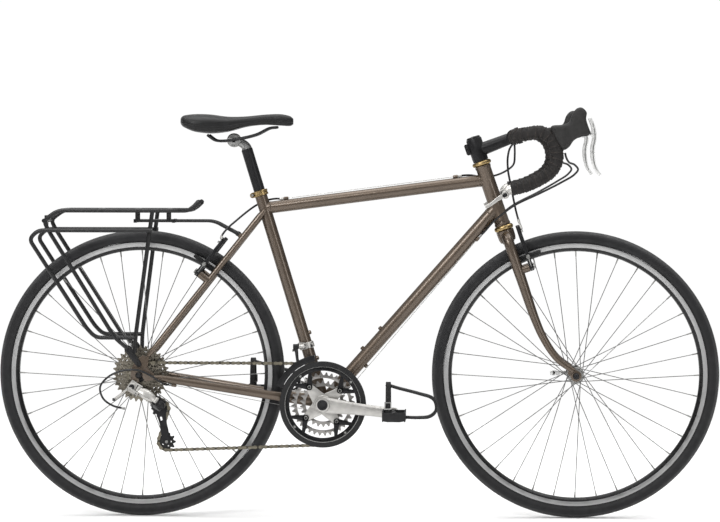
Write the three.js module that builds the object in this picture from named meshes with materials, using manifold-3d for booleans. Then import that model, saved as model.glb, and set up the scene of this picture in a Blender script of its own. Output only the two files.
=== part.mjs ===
// A touring bicycle with drop handlebar, triple chainset, rear rack and clip pedals.
// Millimetres. +X is forward, +Y is the rider's left, +Z is up.
// The origin lies on the ground, midway between the two axles.

import * as THREE from "three";
import { mergeVertices } from "three/addons/utils/BufferGeometryUtils.js";
import Module from "manifold-3d";

const wasm = await Module();
wasm.setup();

// General
const gap = 0.3; // left between pieces that touch
const overrun = 2; // how far a cut runs past what it cuts
const mergeDistance = 0.0005;
const quarterTurn = Math.PI / 2;
const fullTurn = Math.PI * 2;
const degree = Math.PI / 180;

// Wheels
const wheelbase = 1039;
const tyreRadius = 343;
const tyreWidth = 32;
const tyreWrap = 135 * degree; // how far round its section the tyre reaches from the tread
const tyreSteps = 4;
const wheelSides = 24;
const rimWidth = 24;
const rimInnerRadius = 295;
const rimTrackDepth = 14;
const rimBedWidth = 9;
const spokeCount = 36;
const spokeCrossings = 3;
const spokeRadius = 0.95;
const spokeSides = 3;
const spokeHeadOffset = 1.05; // from the middle of the flange, to its inner or its outer face
const spokeRimOffset = 3;
const flangeRadius = 20;
const flangeThickness = 4;
const flangeHoleInset = 3.5;
const hubRadius = 10;
const hubSides = 8;
const axleRadius = 5;
const skewerRadius = 2.5;
const skewerNutRadius = 8;
const skewerNutLength = 10;
const skewerCamLength = 5.7;
const quickBarrelRadius = 5.5;
const quickBarrelHeight = 16;
const quickLeverLength = 52;
const quickLeverThickness = 5;
const quickTipRadius = 7;
const frontHubWidth = 100;
const rearHubWidth = 135;
const frontFlangeSpread = 35;
const rearFlangeRight = -21;
const rearFlangeLeft = 36;
const locknutRadius = 8;
const locknutLength = 5;
const freehubRadius = 16.7;

// Frame
const tyreToSeatTube = 40.366; // the room between the rear tyre and the seat tube
const bottomBracketDrop = 69.3;
const seatAngle = 73 * degree;
const headAngle = 71 * degree;
const seatTubeLength = 531;
const seatTubeRadius = 14.8;
const seatTubeWall = 0.9;
const seatTubeBoreDepth = 190;
const topTubeRadius = 14.3;
const topTubeSeatDrop = 44;
const topTubeHeadDrop = 36;
const downTubeRadius = 15.9;
const downTubeHeadRise = 45;
const headTubeLength = 150.4;
const headTubeRadius = 18;
const headTubeBore = 16.5;
const shellLength = 68;
const shellRadius = 20;
const shellBore = 17;
const seatstayTopRadius = 8;
const seatstayEndRadius = 6.5;
const seatstayTopSpread = 13;
const seatstayRise = 40;
const chainstayRootRadius = 12;
const chainstayEndRadius = 8;
const chainstayFlatShare = 0.7;
const chainstaySpread = 24;
const stayBridgeRadius = 6;
const chainstayBridgeShare = 0.16;
const seatstayBridgeShare = 0.3;
const tubeSides = 8;
const staySides = 6;
const dropoutThickness = 6;
const dropoutSize = 24;
const chainstayEndAhead = 30;
const chainstayEndDrop = 5;
const seatstayEndAhead = 17.4;
const rightSlotLean = 28 * degree; // the right slot opens forward, clear of the hanger
const hangerDrop = 27;
const hangerSetback = 14.5;
const hangerRadius = 9;
const bossRadius = 5;
const bossHeight = 5;
const bossSpacing = 64;
const bossSides = 5;
const downTubeBossShare = 0.255;
const lowerBossShare = 0.11;
const seatTubeBossRise = 107;
const cableStopRadius = 4;
const cableStopLength = 12;
const cableStopSides = 5;
const topStopFrontShare = 0.86;
const topStopRearShare = 0.1;
const shiftStopShare = 0.86;
const shiftStopTurn = 35 * degree; // round the down tube from straight below
const chainstayStopShare = 0.87;
const rackBossShare = 0.81;

// Steering
const rake = 48.3;
const forkLength = 381;
const lowerCupHeight = 13.2;
const upperCupHeight = 11;
const cupRadius = 23;
const cupInsertLength = 10;
const cupFlatShare = 0.8;
const steererRadius = 14.3;
const crownRadius = 21;
const crownHeight = 28;
const capHeight = 5;
const capRadius = 17;
const capTaperShare = 0.85;
const bladeTopRadius = 12.5;
const bladeTipRadius = 7;
const bladeTopSpread = 36.5;
const bladeTipSpread = 53;
const bladeSteps = 7;
const forkTipThickness = 6;
const forkTipRadius = 13;
const stemClampHeight = 56;
const stemFlareHeight = 12;
const stemFootShare = 0.92;
const pinchEarDepth = 7;
const pinchEarWidth = 18;
const pinchEarHeight = 34;
const stemClampRadius = 19;
const stemLength = 93.2;
const stemBarRise = 584.6;
const stemRadius = 14.5;
const barClampRadius = 19;
const barClampWidth = 44;
const barClampBoltRadius = 3.5;
const barRadius = 12;
const barSides = 6;
const tapeSides = 8;
const barSteps = 10;
const barReach = 96;
const barDrop = 123;
const barWidth = 420;
const tapeThickness = 4;
const tapeInnerY = 46;
const hoodRootX = 58;
const hoodRootZ = -44;
const hoodLength = 115;
const hoodHeight = 110;
const hoodThickness = 30;
const hoodRounding = 6;

// Levers
const leverPivotX = 172;
const leverPivotZ = 6;
const leverHubRadius = 5.5;
const leverWidth = 12;
const leverThickness = 5;
const leverReach = 30;
const leverDrop = 98;
const leverSteps = 12;
const podPivotX = -24;
const podPivotZ = -136;
const podRootRadius = 12;
const podRadius = 9;
const podWidth = 19;
const shiftLeverLength = 53;
const shiftLeverTilt = 34 * degree;
const shiftLeverThickness = 4;
const shiftLeverRootRadius = 7.5;
const shiftLeverTipRadius = 3.5;

// Brakes
const brakeStudRadiusFromAxle = 279.5;
const brakeStandoff = 32;
const brakeStudRadius = 5;
const brakeArmLength = 99;
const brakeArmThickness = 9;
const brakeArmRootRadius = 9;
const brakeArmTipRadius = 6;
const brakeArmLean = 5;
const brakePadRise = 26;
const brakePadGap = 2;
const brakePadThickness = 10;
const brakePadHeight = 10;
const brakePadLength = 66;
const brakePadStemRadius = 4;

// Chainset
const chainPitch = 12.7;
const outerTeeth = 48;
const middleTeeth = 36;
const innerTeeth = 26;
const chainLineOuter = -54.5;
const ringSpacing = 7.5;
const ringThickness = 2;
const toothTip = 3;
const toothRoot = 4;
const ringBandDepth = 13;
const ringBoltRadius = 52;
const innerBoltRadius = 32;
const ringBoltHeadRadius = 5;
const ringTabRadius = 7.5;
const ringArmWidth = 7;
const ringArmSpread = 17 * degree;
const spiderHubRadius = 20;
const spiderArmRoot = 17;
const guardOuterRadius = 103;
const guardInnerRadius = 88;
const guardThickness = 3;
const crankLength = 170;
const crankDrop = 6.3 * degree;
const crankBossRadius = 17.5;
const crankEyeRadius = 13.5;
const crankThickness = 13;
const crankRounding = 3;
const crankBossInset = 4;
const leftBossFace = 48;
const crankOuterFace = 85;
const crankBossFace = 80;
const dustCapRadius = 12;
const dustCapDepth = 1.5;
const spindleRadius = 8.5;

// Pedals
const pedalAxleRadius = 5;
const pedalBarrelRadius = 9;
const pedalGap = 8;
const pedalWidth = 88;
const pedalFront = 30;
const pedalRear = 25;
const pedalHeight = 24;
const pedalPlate = 3;
const clipReach = 100;
const clipHeight = 76;
const clipWidth = 16;
const clipThickness = 3;
const clipSteps = 7;
const strapThickness = 2.5;
const strapWidth = 12;
const strapSetback = 11;

// Gears
const cassetteTeeth = [11, 12, 14, 16, 18, 21, 24, 28, 32];
const chainCog = 2; // the cog that the chain runs on, counted from the smallest
const cogSpacing = 4.34;
const cogThickness = 1.8;
const chainWidth = 6.2;
const chainPlateHeight = 4.2;
const chainWaistShare = 0.7;
const chainGrooveStep = 24; // the greatest length of a facet in the chain's grooves
const pulleyTeeth = 10;
const pulleyThickness = 2.4;
const guidePulleyX = 49.5;
const guidePulleyDrop = 81;
const tensionPulleyX = 64.5;
const tensionPulleyDrop = 160;
const cagePlateGap = 4.2;
const cagePlateThickness = 2;
const cageRadius = 13;
const cageTailRadius = 9;
const mechPivotRadius = 10.2;
const mechBodyHalf = 10;
const mechLinkHalfHeight = 8;
const mechBarrelRadius = 5;
const mechLugThickness = 3.5;
const mechPinRadius = 2.4;
const mechLinkLength = 49.6;
const mechLinkThickness = 3.5;
const mechLinkSpread = 13;
const mechLowerX = 53.5;
const mechLowerDrop = 71;
const mechSlant = 30 * degree;
const mechBracketDrop = 49;
const mechBracketBackShare = 0.4;
const frontMechRise = 143;
const frontMechBandHeight = 14;
const frontMechBandThickness = 3.5;
const frontMechPivotX = -58.2;
const frontMechPivotY = -36;
const frontMechPivotZ = 136.3;
const frontMechBarrelLength = 14;
const frontMechBarrelRadius = 6;
const frontCageInnerRadius = 105;
const frontCageDepth = 14;
const frontCagePlate = 1.5;
const frontCageWidth = 12;
const frontCageStart = 100 * degree;
const frontCageEnd = 158 * degree;
const frontCageBridge = 3 * degree;
const frontCageHook = 122 * degree;
const frontCagePinchReach = 10; // inboard and down to the wire's pinch bolt

// Seat
const seatpostRadius = 13.6;
const seatpostInsert = 110;
const seatpostRise = 113;
const seatpostHeadRise = 133;
const seatpostSetback = 22.6;
const seatpostNeckRadius = 12.5;
const collarHeight = 13;
const collarThickness = 4;
const collarSlit = 2;
const saddleLength = 268;
const saddleWidth = 150;
const saddleHeight = 48;
const saddleTailBehindClamp = 126.3;
const saddleAboveClamp = 15;
const saddleClampRadius = 17;
const railRadius = 3.5;
const railSpread = 22;

// Rack
const rackTube = 5;
const rackTubeSides = 5;
const deckWidth = 120;
const deckAboveTyre = 48;
const deckHeight = tyreRadius * 2 + deckAboveTyre;
const deckFrontAhead = 119.5;
const deckHook = 23;
const deckHookLength = 30;
const deckRearAhead = -195.5;
const deckTailLength = 33;
const deckTailDrop = 49;
const hoopWidth = 142;
const hoopRailHeight = 687;
const hoopRearAhead = -240.5;
const hoopCorner = 21;
const hoopLowAhead = -113.5;
const lowRailHeight = 432;
const frontLegAhead = 31.5;
const legKneeAhead = -8;
const rearKneeAhead = -57.5;
const rackEyeletRise = 26;
const rackPlateLean = 25;
const rackPlateRise = 36;
const rackPlateTopRadius = 9;
const rackPlateFootRadius = 6.5;
const rackPlateThickness = 4;
const rackBoltRadius = 4;
const strutRadius = 3.5;
const strutHeight = 709;
const strutSpread = 22;
const strutRearAhead = -14;
const strutHangAhead = 64.5;
const strutBendAhead = 174.5;
const reflectorWidth = 40;

// Cables
const housingRadius = 2.5;
const housingSides = 5;
const wireSides = 3;
const wireRadius = 0.9;
const housingStep = 26; // between the rings of a housing

// Finishes
const finish = (color, roughness, metalness) =>
  new THREE.MeshStandardMaterial({ color, roughness, metalness });
const bronzePaint = finish(0x5d5046, 0.35, 0.6);
const blackMetal = finish(0x222224, 0.45, 0.5);
const blackRubber = finish(0x1d1d1e, 0.85, 0);
const goldMetal = finish(0xa98a4e, 0.3, 0.9);
const silverMetal = finish(0xc9c9c6, 0.3, 0.9);
const steelMetal = finish(0x8d8c88, 0.35, 0.9);
const blackPlastic = finish(0x262627, 0.55, 0);

// Shapes

const at = (x, y, z) => new THREE.Vector3(x, y, z);

// A closed geometry as a solid, turned right side out.
function solid(geometry) {
  const bare = new THREE.BufferGeometry();
  bare.setAttribute("position", geometry.getAttribute("position"));
  if (geometry.index) bare.setIndex(geometry.index);
  const merged = mergeVertices(bare, mergeDistance);
  const corners = merged.index.array;
  const faces = [];
  for (let i = 0; i < corners.length; i += 3) {
    const [a, b, c] = corners.subarray(i, i + 3);
    if (a !== b && b !== c && c !== a) faces.push(a, b, c);
  }
  const vertProperties = Float32Array.from(merged.getAttribute("position").array);
  const triVerts = Uint32Array.from(faces);
  const made = new wasm.Manifold(new wasm.Mesh({ numProp: 3, vertProperties, triVerts }));
  if (made.volume() > 0) return made;
  return new wasm.Manifold(
    new wasm.Mesh({ numProp: 3, vertProperties, triVerts: Uint32Array.from(faces.reverse()) }),
  );
}

const join = (first, ...rest) => rest.reduce((whole, next) => whole.add(next), first);
const cut = (first, ...rest) => rest.reduce((whole, next) => whole.subtract(next), first);

// A named mesh from a solid, hung in a group.
function piece(name, body, material, group) {
  const surface = body.getMesh();
  const geometry = new THREE.BufferGeometry();
  geometry.setAttribute("position", new THREE.BufferAttribute(surface.vertProperties, 3));
  geometry.setIndex(new THREE.BufferAttribute(surface.triVerts, 1));
  geometry.computeVertexNormals();
  const mesh = new THREE.Mesh(geometry, material);
  mesh.name = name;
  group.add(mesh);
}

// A round bar from one point to another, tapered where the end has its own radius.
function rod(from, to, radius, sides, endRadius = radius) {
  const along = to.clone().sub(from);
  const geometry = new THREE.CylinderGeometry(endRadius, radius, along.length(), sides);
  const turn = new THREE.Quaternion().setFromUnitVectors(at(0, 1, 0), along.clone().normalize());
  geometry.applyQuaternion(turn);
  const middle = from.clone().add(to).divideScalar(2);
  return solid(geometry.translate(middle.x, middle.y, middle.z));
}

// A bar along Y between two Y values, at a place in the XZ plane.
const crossBar = (x, z, y1, y2, radius, sides) => rod(at(x, y1, z), at(x, y2, z), radius, sides);

// A box between two corners.
function block(low, high) {
  const size = high.clone().sub(low);
  const middle = low.clone().add(high).divideScalar(2);
  return solid(new THREE.BoxGeometry(size.x, size.y, size.z).translate(middle.x, middle.y, middle.z));
}

// A profile of [radius, height] pairs turned about the Y axis, as a wheel is.
function turned(profile, sides) {
  const points = profile.map(([radius, height]) => new THREE.Vector2(radius, height));
  return solid(new THREE.LatheGeometry(points, sides));
}

// The same about the Z axis, as a headset is.
const turnedUp = (profile, sides) => turned(profile, sides).rotate([90, 0, 0]);

// A flat plate in the XZ plane with its thickness along Y, centred at a Y value.
function plate(shape, thickness, y, curveSegments = 3) {
  const geometry = new THREE.ExtrudeGeometry(
    shape, { depth: thickness, bevelEnabled: false, curveSegments },
  );
  return solid(geometry.rotateX(quarterTurn).translate(0, y + thickness / 2, 0));
}

// The same with rounded edges, of the given whole thickness.
function softPlate(shape, thickness, rounding, y, bevelSegments = 1, curveSegments = 3) {
  const geometry = new THREE.ExtrudeGeometry(shape, {
    depth: thickness - rounding - rounding,
    bevelThickness: rounding,
    bevelSize: rounding,
    bevelOffset: -rounding,
    bevelSegments,
    curveSegments,
  });
  return solid(geometry.rotateX(quarterTurn).translate(0, y + thickness / 2 - rounding, 0));
}

const outline = (points) => new THREE.Shape(points.map(([x, z]) => new THREE.Vector2(x, z)));

// The radius of a bore whose flats clear a round bar.
const boreFor = (radius, sides) => (radius + gap) / Math.cos(Math.PI / sides);

// The same for a fixed bar with as many sides, turned the same way.
const socketFor = (radius, sides) => radius + gap / Math.cos(Math.PI / sides);

const scaled = (shares, width, height) => shares.map(([x, z]) => [x * width, z * height]);

// The outline of a link: a round end at each of two points, and the straight flanks that touch both.
function linkShape(from, fromRadius, to, toRadius) {
  const along = to.clone().sub(from);
  const heading = along.angle();
  const lean = Math.acos((fromRadius - toRadius) / along.length());
  const shape = new THREE.Shape();
  shape.absarc(from.x, from.y, fromRadius, heading + lean, heading - lean + fullTurn, false);
  shape.absarc(to.x, to.y, toRadius, heading - lean, heading + lean, false);
  return shape;
}

const flatPoint = (x, z) => new THREE.Vector2(x, z);

function disc(radius, centre = flatPoint(0, 0)) {
  const shape = new THREE.Shape();
  shape.absarc(centre.x, centre.y, radius, 0, fullTurn, false);
  return shape;
}

// The line beside another line, at a distance to its left; open lines end square.
function besideLine(line, distances, closed) {
  const last = line.length - 1;
  return line.map((point, i) => {
    const before = line[closed ? (i + last) % line.length : Math.max(i - 1, 0)];
    const after = line[closed ? (i + 1) % line.length : Math.min(i + 1, last)];
    const normal = after.clone().sub(before).normalize().rotateAround(flatPoint(0, 0), quarterTurn);
    return point.clone().addScaledVector(normal, distances[i % distances.length]);
  });
}

// The outline of a flat strip of even thickness along a line.
function ribbonShape(line, thickness) {
  const left = besideLine(line, [thickness / 2], false);
  const right = besideLine(line, [-thickness / 2], false);
  return new THREE.Shape([...left, ...right.reverse()]);
}

// A closed skin over rings of equally many points, with flat ends.
function loft(rings) {
  const count = rings[0].length;
  const points = rings.flat();
  const faces = [];
  for (let i = 0; i < points.length - count; i++) {
    const next = (i + 1) % count ? i + 1 : i + 1 - count;
    faces.push(i, next, i + count, next, next + count, i + count);
  }
  const lastRing = points.length - count;
  for (let i = 1; i < count - 1; i++) {
    faces.push(0, i + 1, i, lastRing, lastRing + i, lastRing + i + 1);
  }
  const geometry = new THREE.BufferGeometry().setFromPoints(points);
  geometry.setIndex(faces);
  return solid(geometry);
}

// A path with one station at each ring of the tube that follows it.
class StationPath extends THREE.Curve {
  constructor(stations) {
    super();
    this.stations = stations;
  }
  getPoint(t) {
    const last = this.stations.length - 1;
    const place = Math.min(Math.max(t, 0), 1) * last;
    const index = Math.min(Math.floor(place), last - 1);
    return this.stations[index].clone().lerp(this.stations[index + 1], place - index);
  }
  getPointAt(u) {
    return this.getPoint(u);
  }
  getTangentAt(u) {
    const last = this.stations.length - 1;
    const index = Math.round(u * last);
    const before = this.stations[Math.max(index - 1, 0)];
    const here = this.stations[index];
    const after = this.stations[Math.min(index + 1, last)];
    const arriving = here.clone().sub(before).normalize();
    const leaving = after.clone().sub(here).normalize();
    return arriving.add(leaving).normalize();
  }
}

// A tube along stations; its radius runs evenly from the first value to the second by station.
function sweep(stations, radius, sides, endRadius = radius) {
  const section = new THREE.Shape();
  for (let i = 0; i < sides; i++) {
    const angle = (i / sides) * fullTurn;
    if (i === 0) section.moveTo(1, 0);
    else section.lineTo(Math.cos(angle), Math.sin(angle));
  }
  const steps = stations.length - 1;
  const path = new StationPath(stations);
  const geometry = new THREE.ExtrudeGeometry(section, { steps, bevelEnabled: false, extrudePath: path });
  const position = geometry.getAttribute("position");
  const corner = new THREE.Vector3();
  for (let i = 0; i < position.count; i++) {
    corner.fromBufferAttribute(position, i);
    let nearest = 0;
    for (let s = 1; s <= steps; s++) {
      if (stations[s].distanceToSquared(corner) < stations[nearest].distanceToSquared(corner)) nearest = s;
    }
    const size = radius + ((endRadius - radius) * nearest) / steps;
    corner.sub(stations[nearest]).multiplyScalar(size).add(stations[nearest]);
    position.setXYZ(i, corner.x, corner.y, corner.z);
  }
  return solid(geometry);
}

// Stations along a smooth curve through points chosen by hand.
const smooth = (points, steps) => new THREE.CatmullRomCurve3(points).getPoints(steps);

// Places that several pieces share

const rearAxle = at(-wheelbase / 2, 0, tyreRadius);
const frontAxle = at(wheelbase / 2, 0, tyreRadius);
// How far the bracket lies ahead of the rear axle, so that the tyre clears the seat tube.
const rearTyreRoom = tyreRadius + tyreToSeatTube + seatTubeRadius;
const rearCentre = (rearTyreRoom + bottomBracketDrop * Math.cos(seatAngle)) / Math.sin(seatAngle);
const bottomBracket = at(
  rearAxle.x + rearCentre,
  0,
  tyreRadius - bottomBracketDrop,
);
const upSeatTube = at(-Math.cos(seatAngle), 0, Math.sin(seatAngle));
const upHeadTube = at(-Math.cos(headAngle), 0, Math.sin(headAngle));
const aheadOfHeadTube = at(Math.sin(headAngle), 0, Math.cos(headAngle));
const along = (start, direction, distance) => start.clone().addScaledVector(direction, distance);
const seatTop = along(bottomBracket, upSeatTube, seatTubeLength);
const steeringFoot = along(frontAxle, aheadOfHeadTube, -rake);
const headRise = forkLength + lowerCupHeight;
const headTopRise = headRise + headTubeLength;
const headBottom = along(steeringFoot, upHeadTube, headRise);
const headTop = along(steeringFoot, upHeadTube, headTopRise);
const topTubeSeatEnd = along(seatTop, upSeatTube, -topTubeSeatDrop);
const topTubeHeadEnd = along(headTop, upHeadTube, -topTubeHeadDrop);
const downTubeHeadEnd = along(headBottom, upHeadTube, downTubeHeadRise);
const dropoutY = (rearHubWidth + dropoutThickness) / 2;
const forkTipY = (frontHubWidth + forkTipThickness) / 2;
const ringY = (index) => chainLineOuter + index * ringSpacing;
const pitchRadius = (teeth) => chainPitch / 2 / Math.sin(Math.PI / teeth);

const bike = new THREE.Group();
const frameGroup = new THREE.Group();
bike.add(frameGroup);

// Seen along the steering axis: X ahead, Z up the head tube, from the foot of the rake.
const steeringGroup = new THREE.Group();
steeringGroup.position.copy(steeringFoot);
steeringGroup.rotation.y = headAngle - quarterTurn;
bike.add(steeringGroup);

function wheelGroup(centre) {
  const group = new THREE.Group();
  group.position.copy(centre);
  bike.add(group);
  return group;
}
const rearWheel = wheelGroup(rearAxle);
const frontWheel = wheelGroup(frontAxle);
const crankset = wheelGroup(bottomBracket);

// Frame

const seatstayTopCentre = along(topTubeSeatEnd, upSeatTube, -seatstayTopRadius / 2);
const seatstayTop = (side) => at(seatstayTopCentre.x, side * seatstayTopSpread, seatstayTopCentre.z);
const dropoutFace = dropoutY + dropoutThickness / 2;
const seatstayEndY = dropoutFace - seatstayEndRadius;
const chainstayEndY = dropoutFace - chainstayEndRadius * chainstayFlatShare;
const seatstayEnd = (side) => at(
  rearAxle.x + seatstayEndAhead, side * seatstayEndY, rearAxle.z + seatstayRise,
);
const chainstayEnd = (side) => at(
  rearAxle.x + chainstayEndAhead, side * chainstayEndY, rearAxle.z - chainstayEndDrop,
);
const chainstayY = (share) => chainstaySpread + (chainstayEndY - chainstaySpread) * share;

function chainstaySolid(side) {
  const root = at(bottomBracket.x, 0, bottomBracket.z);
  const end = at(chainstayEnd(side).x, 0, chainstayEnd(side).z);
  const tube = rod(root, end, chainstayRootRadius, staySides, chainstayEndRadius);
  const reach = root.x - end.x;
  const splay = (chainstayEndY - chainstaySpread) / reach;
  // Flattened sideways, then sheared out from the shell to the dropout.
  const columns = [1, -side * splay, 0, 0, chainstayFlatShare, 0, 0, 0, 1];
  const shift = side * (chainstaySpread + splay * root.x);
  return tube.transform([
    columns[0], columns[1], columns[2], 0,
    columns[3], columns[4], columns[5], 0,
    columns[6], columns[7], columns[8], 0,
    0, shift, 0, 1,
  ]);
}

const dropoutShares = [
  [-0.62, 0.9], [-0.25, 1.5], [0.35, 1.95], [1.05, 1.8], [0.85, 0.75], [1.5, 0.15], [1.5, -0.5],
  [0.5, -0.65],
  [-0.5, -0.65], [-0.8, 0],
];

function dropoutSolid(side) {
  const y = side * dropoutY;
  let body = plate(outline(scaled(dropoutShares, dropoutSize, dropoutSize)), dropoutThickness, y);
  if (side < 0) {
    const foot = flatPoint(-hangerSetback, -hangerDrop);
    const root = flatPoint(-dropoutSize / 4, 0);
    body = join(body, plate(linkShape(root, hangerRadius, foot, hangerRadius), dropoutThickness, y));
  }
  const slotWidth = axleRadius + gap;
  const slot = new THREE.Shape();
  slot.absarc(0, 0, slotWidth, 0, Math.PI, false);
  slot.lineTo(-slotWidth, -dropoutSize - hangerDrop);
  slot.lineTo(slotWidth, -dropoutSize - hangerDrop);
  const opening = plate(slot, dropoutThickness + overrun, y);
  const turnedOpening = side < 0 ? opening.rotate([0, -rightSlotLean / degree, 0]) : opening;
  return cut(body, turnedOpening).translate(rearAxle.toArray());
}

// A threaded bottle boss with its bolt, on the side of a tube that the direction points to.
function bottleBoss(tubePoint, direction, tubeRadius) {
  const top = along(tubePoint, direction, tubeRadius + bossHeight);
  return rod(tubePoint, top, bossRadius, bossSides);
}

// The middle of a cable stop, far enough out for a housing to clear the tube.
const stopPlace = (tubePoint, direction, tubeRadius) => along(
  tubePoint, direction, tubeRadius + housingRadius + gap + gap,
);

// A stop on a short foot, and the bore for its wire.
function cableStop({ tubePoint, direction, tubeRadius, tubeDirection }) {
  const centre = stopPlace(tubePoint, direction, tubeRadius);
  const start = along(centre, tubeDirection, -cableStopLength / 2);
  const end = along(centre, tubeDirection, cableStopLength / 2);
  return join(
    rod(start, end, cableStopRadius, cableStopSides), rod(tubePoint, centre, housingRadius, cableStopSides),
  );
}

function stopBore({ tubePoint, direction, tubeRadius, tubeDirection }) {
  const centre = stopPlace(tubePoint, direction, tubeRadius);
  const bore = boreFor(wireRadius, cableStopSides);
  return rod(
    along(centre, tubeDirection, -cableStopLength),
    along(centre, tubeDirection, cableStopLength),
    bore,
    cableStopSides,
  );
}

const onTube = (from, to, share) => from.clone().lerp(to, share);
const directionOf = (from, to) => to.clone().sub(from).normalize();
const topTubeDirection = directionOf(topTubeSeatEnd, topTubeHeadEnd);
const downTubeDirection = directionOf(bottomBracket, downTubeHeadEnd);
const aboveTube = (direction) => at(-direction.z, 0, direction.x);

// The plane of each pair of brake arms: the way up along the stay, and the way out from it.
const seatstayCentreline = directionOf(
  at(seatstayEnd(1).x, 0, seatstayEnd(1).z),
  at(seatstayTopCentre.x, 0, seatstayTopCentre.z),
);
const behindSeatstay = at(-seatstayCentreline.z, 0, seatstayCentreline.x);
const rearStudFoot = (() => {
  const start = at(seatstayEnd(1).x, 0, seatstayEnd(1).z);
  const toAxle = rearAxle.clone().sub(start);
  const axleAlong = toAxle.dot(seatstayCentreline);
  const offset = brakeStandoff - toAxle.dot(behindSeatstay);
  const rise = Math.sqrt(brakeStudRadiusFromAxle ** 2 - offset ** 2);
  return along(start, seatstayCentreline, axleAlong + rise);
})();
const rearStudY = (() => {
  const start = seatstayEnd(1);
  const total = seatstayTop(1).clone().sub(start).setY(0).length();
  const share = rearStudFoot.clone().setY(0).distanceTo(start.clone().setY(0)) / total;
  return start.y + (seatstayTopSpread - start.y) * share;
})();
const frontStudRise = Math.sqrt(brakeStudRadiusFromAxle ** 2 - (rake - brakeStandoff) ** 2);
const frontStudY = bladeTopSpread + 1;

const belowDownTube = aboveTube(downTubeDirection).negate();
const shiftStopDirection = (side) =>
  belowDownTube.clone().multiplyScalar(Math.cos(shiftStopTurn)).add(at(
    0, side * Math.sin(shiftStopTurn), 0,
  ));
const rackBossPoint = (side) => seatstayEnd(side).lerp(seatstayTop(side), rackBossShare);
const chainstayRoot = at(bottomBracket.x, -chainstaySpread, bottomBracket.z);
const chainstayStopPoint = onTube(chainstayRoot, chainstayEnd(-1), chainstayStopShare);
const chainstayDirection = directionOf(chainstayRoot, chainstayEnd(-1));

const topTubeStop = (share) => ({
  tubePoint: onTube(topTubeSeatEnd, topTubeHeadEnd, share),
  direction: aboveTube(topTubeDirection),
  tubeRadius: topTubeRadius,
  tubeDirection: topTubeDirection,
});
const shiftStop = (side) => ({
  tubePoint: onTube(bottomBracket, downTubeHeadEnd, shiftStopShare),
  direction: shiftStopDirection(side),
  tubeRadius: downTubeRadius,
  tubeDirection: downTubeDirection,
});
const chainstayStop = {
  tubePoint: chainstayStopPoint,
  direction: at(0, 0, -1),
  tubeRadius: chainstayRootRadius + (chainstayEndRadius - chainstayRootRadius) * chainstayStopShare,
  tubeDirection: chainstayDirection,
};
const cableStops = [
  topTubeStop(topStopRearShare), topTubeStop(topStopFrontShare), shiftStop(1), shiftStop(-1), chainstayStop,
];

// A bar up the steering axis, with its sides turned as the headset's are.
function headTubeBar(past, radius) {
  const bar = rod(at(0, 0, headRise - past), at(0, 0, headTopRise + past), radius, tubeSides);
  return bar.rotate([0, (headAngle - quarterTurn) / degree, 0]).translate(steeringFoot.toArray());
}

function frameSolid() {
  const parts = [
    rod(bottomBracket, seatTop, seatTubeRadius, tubeSides),
    rod(topTubeSeatEnd, topTubeHeadEnd, topTubeRadius, tubeSides),
    rod(bottomBracket, downTubeHeadEnd, downTubeRadius, tubeSides),
    headTubeBar(0, headTubeRadius),
    crossBar(bottomBracket.x, bottomBracket.z, -shellLength / 2, shellLength / 2, shellRadius, tubeSides),
  ];
  for (const side of [1, -1]) {
    parts.push(chainstaySolid(side));
    parts.push(rod(seatstayEnd(side), seatstayTop(side), seatstayEndRadius, staySides, seatstayTopRadius));
    parts.push(dropoutSolid(side));
    const studRoot = at(rearStudFoot.x, side * rearStudY, rearStudFoot.z);
    const studEnd = along(studRoot, behindSeatstay, brakeStandoff - brakeArmThickness / 2 - gap);
    parts.push(rod(studRoot, studEnd, brakeArmRootRadius, bossSides));
    const pinEnd = along(studRoot, behindSeatstay, brakeStandoff + brakeArmThickness / 2 + gap);
    parts.push(rod(studRoot, pinEnd, brakeStudRadius, bossSides));
    parts.push(bottleBoss(rackBossPoint(side), behindSeatstay, seatstayEndRadius));
  }
  const bridgeRoot = bottomBracket.clone().lerp(
    at(chainstayEnd(1).x, 0, chainstayEnd(1).z), chainstayBridgeShare,
  );
  const bridgeY = chainstayY(chainstayBridgeShare);
  parts.push(crossBar(bridgeRoot.x, bridgeRoot.z, -bridgeY, bridgeY, stayBridgeRadius, bossSides));
  const brace = seatstayTop(1).lerp(seatstayEnd(1), seatstayBridgeShare / 2);
  parts.push(crossBar(brace.x, brace.z, -brace.y, brace.y, stayBridgeRadius, bossSides));
  for (const step of [0, 1]) {
    const upper = along(
      onTube(bottomBracket, downTubeHeadEnd, downTubeBossShare), downTubeDirection, step * bossSpacing,
    );
    parts.push(bottleBoss(upper, aboveTube(downTubeDirection), downTubeRadius));
    const lower = along(
      onTube(bottomBracket, downTubeHeadEnd, lowerBossShare), downTubeDirection, step * bossSpacing,
    );
    parts.push(bottleBoss(lower, belowDownTube, downTubeRadius));
    const front = along(bottomBracket, upSeatTube, seatTubeBossRise + step * bossSpacing);
    parts.push(bottleBoss(front, at(upSeatTube.z, 0, -upSeatTube.x), seatTubeRadius));
  }
  parts.push(...cableStops.map(cableStop));
  const seatBoreFoot = along(seatTop, upSeatTube, -seatTubeBoreDepth);
  const seatBoreTop = along(seatTop, upSeatTube, overrun);
  return cut(
    join(...parts),
    rod(seatBoreFoot, seatBoreTop, seatTubeRadius - seatTubeWall, tubeSides),
    headTubeBar(overrun, headTubeBore),
    crossBar(
      bottomBracket.x, bottomBracket.z, -shellLength / 2 - overrun, shellLength / 2 + overrun,
      shellBore, tubeSides,
    ),
    ...cableStops.map(stopBore),
  );
}

piece("frame", frameSolid(), bronzePaint, frameGroup);

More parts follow.
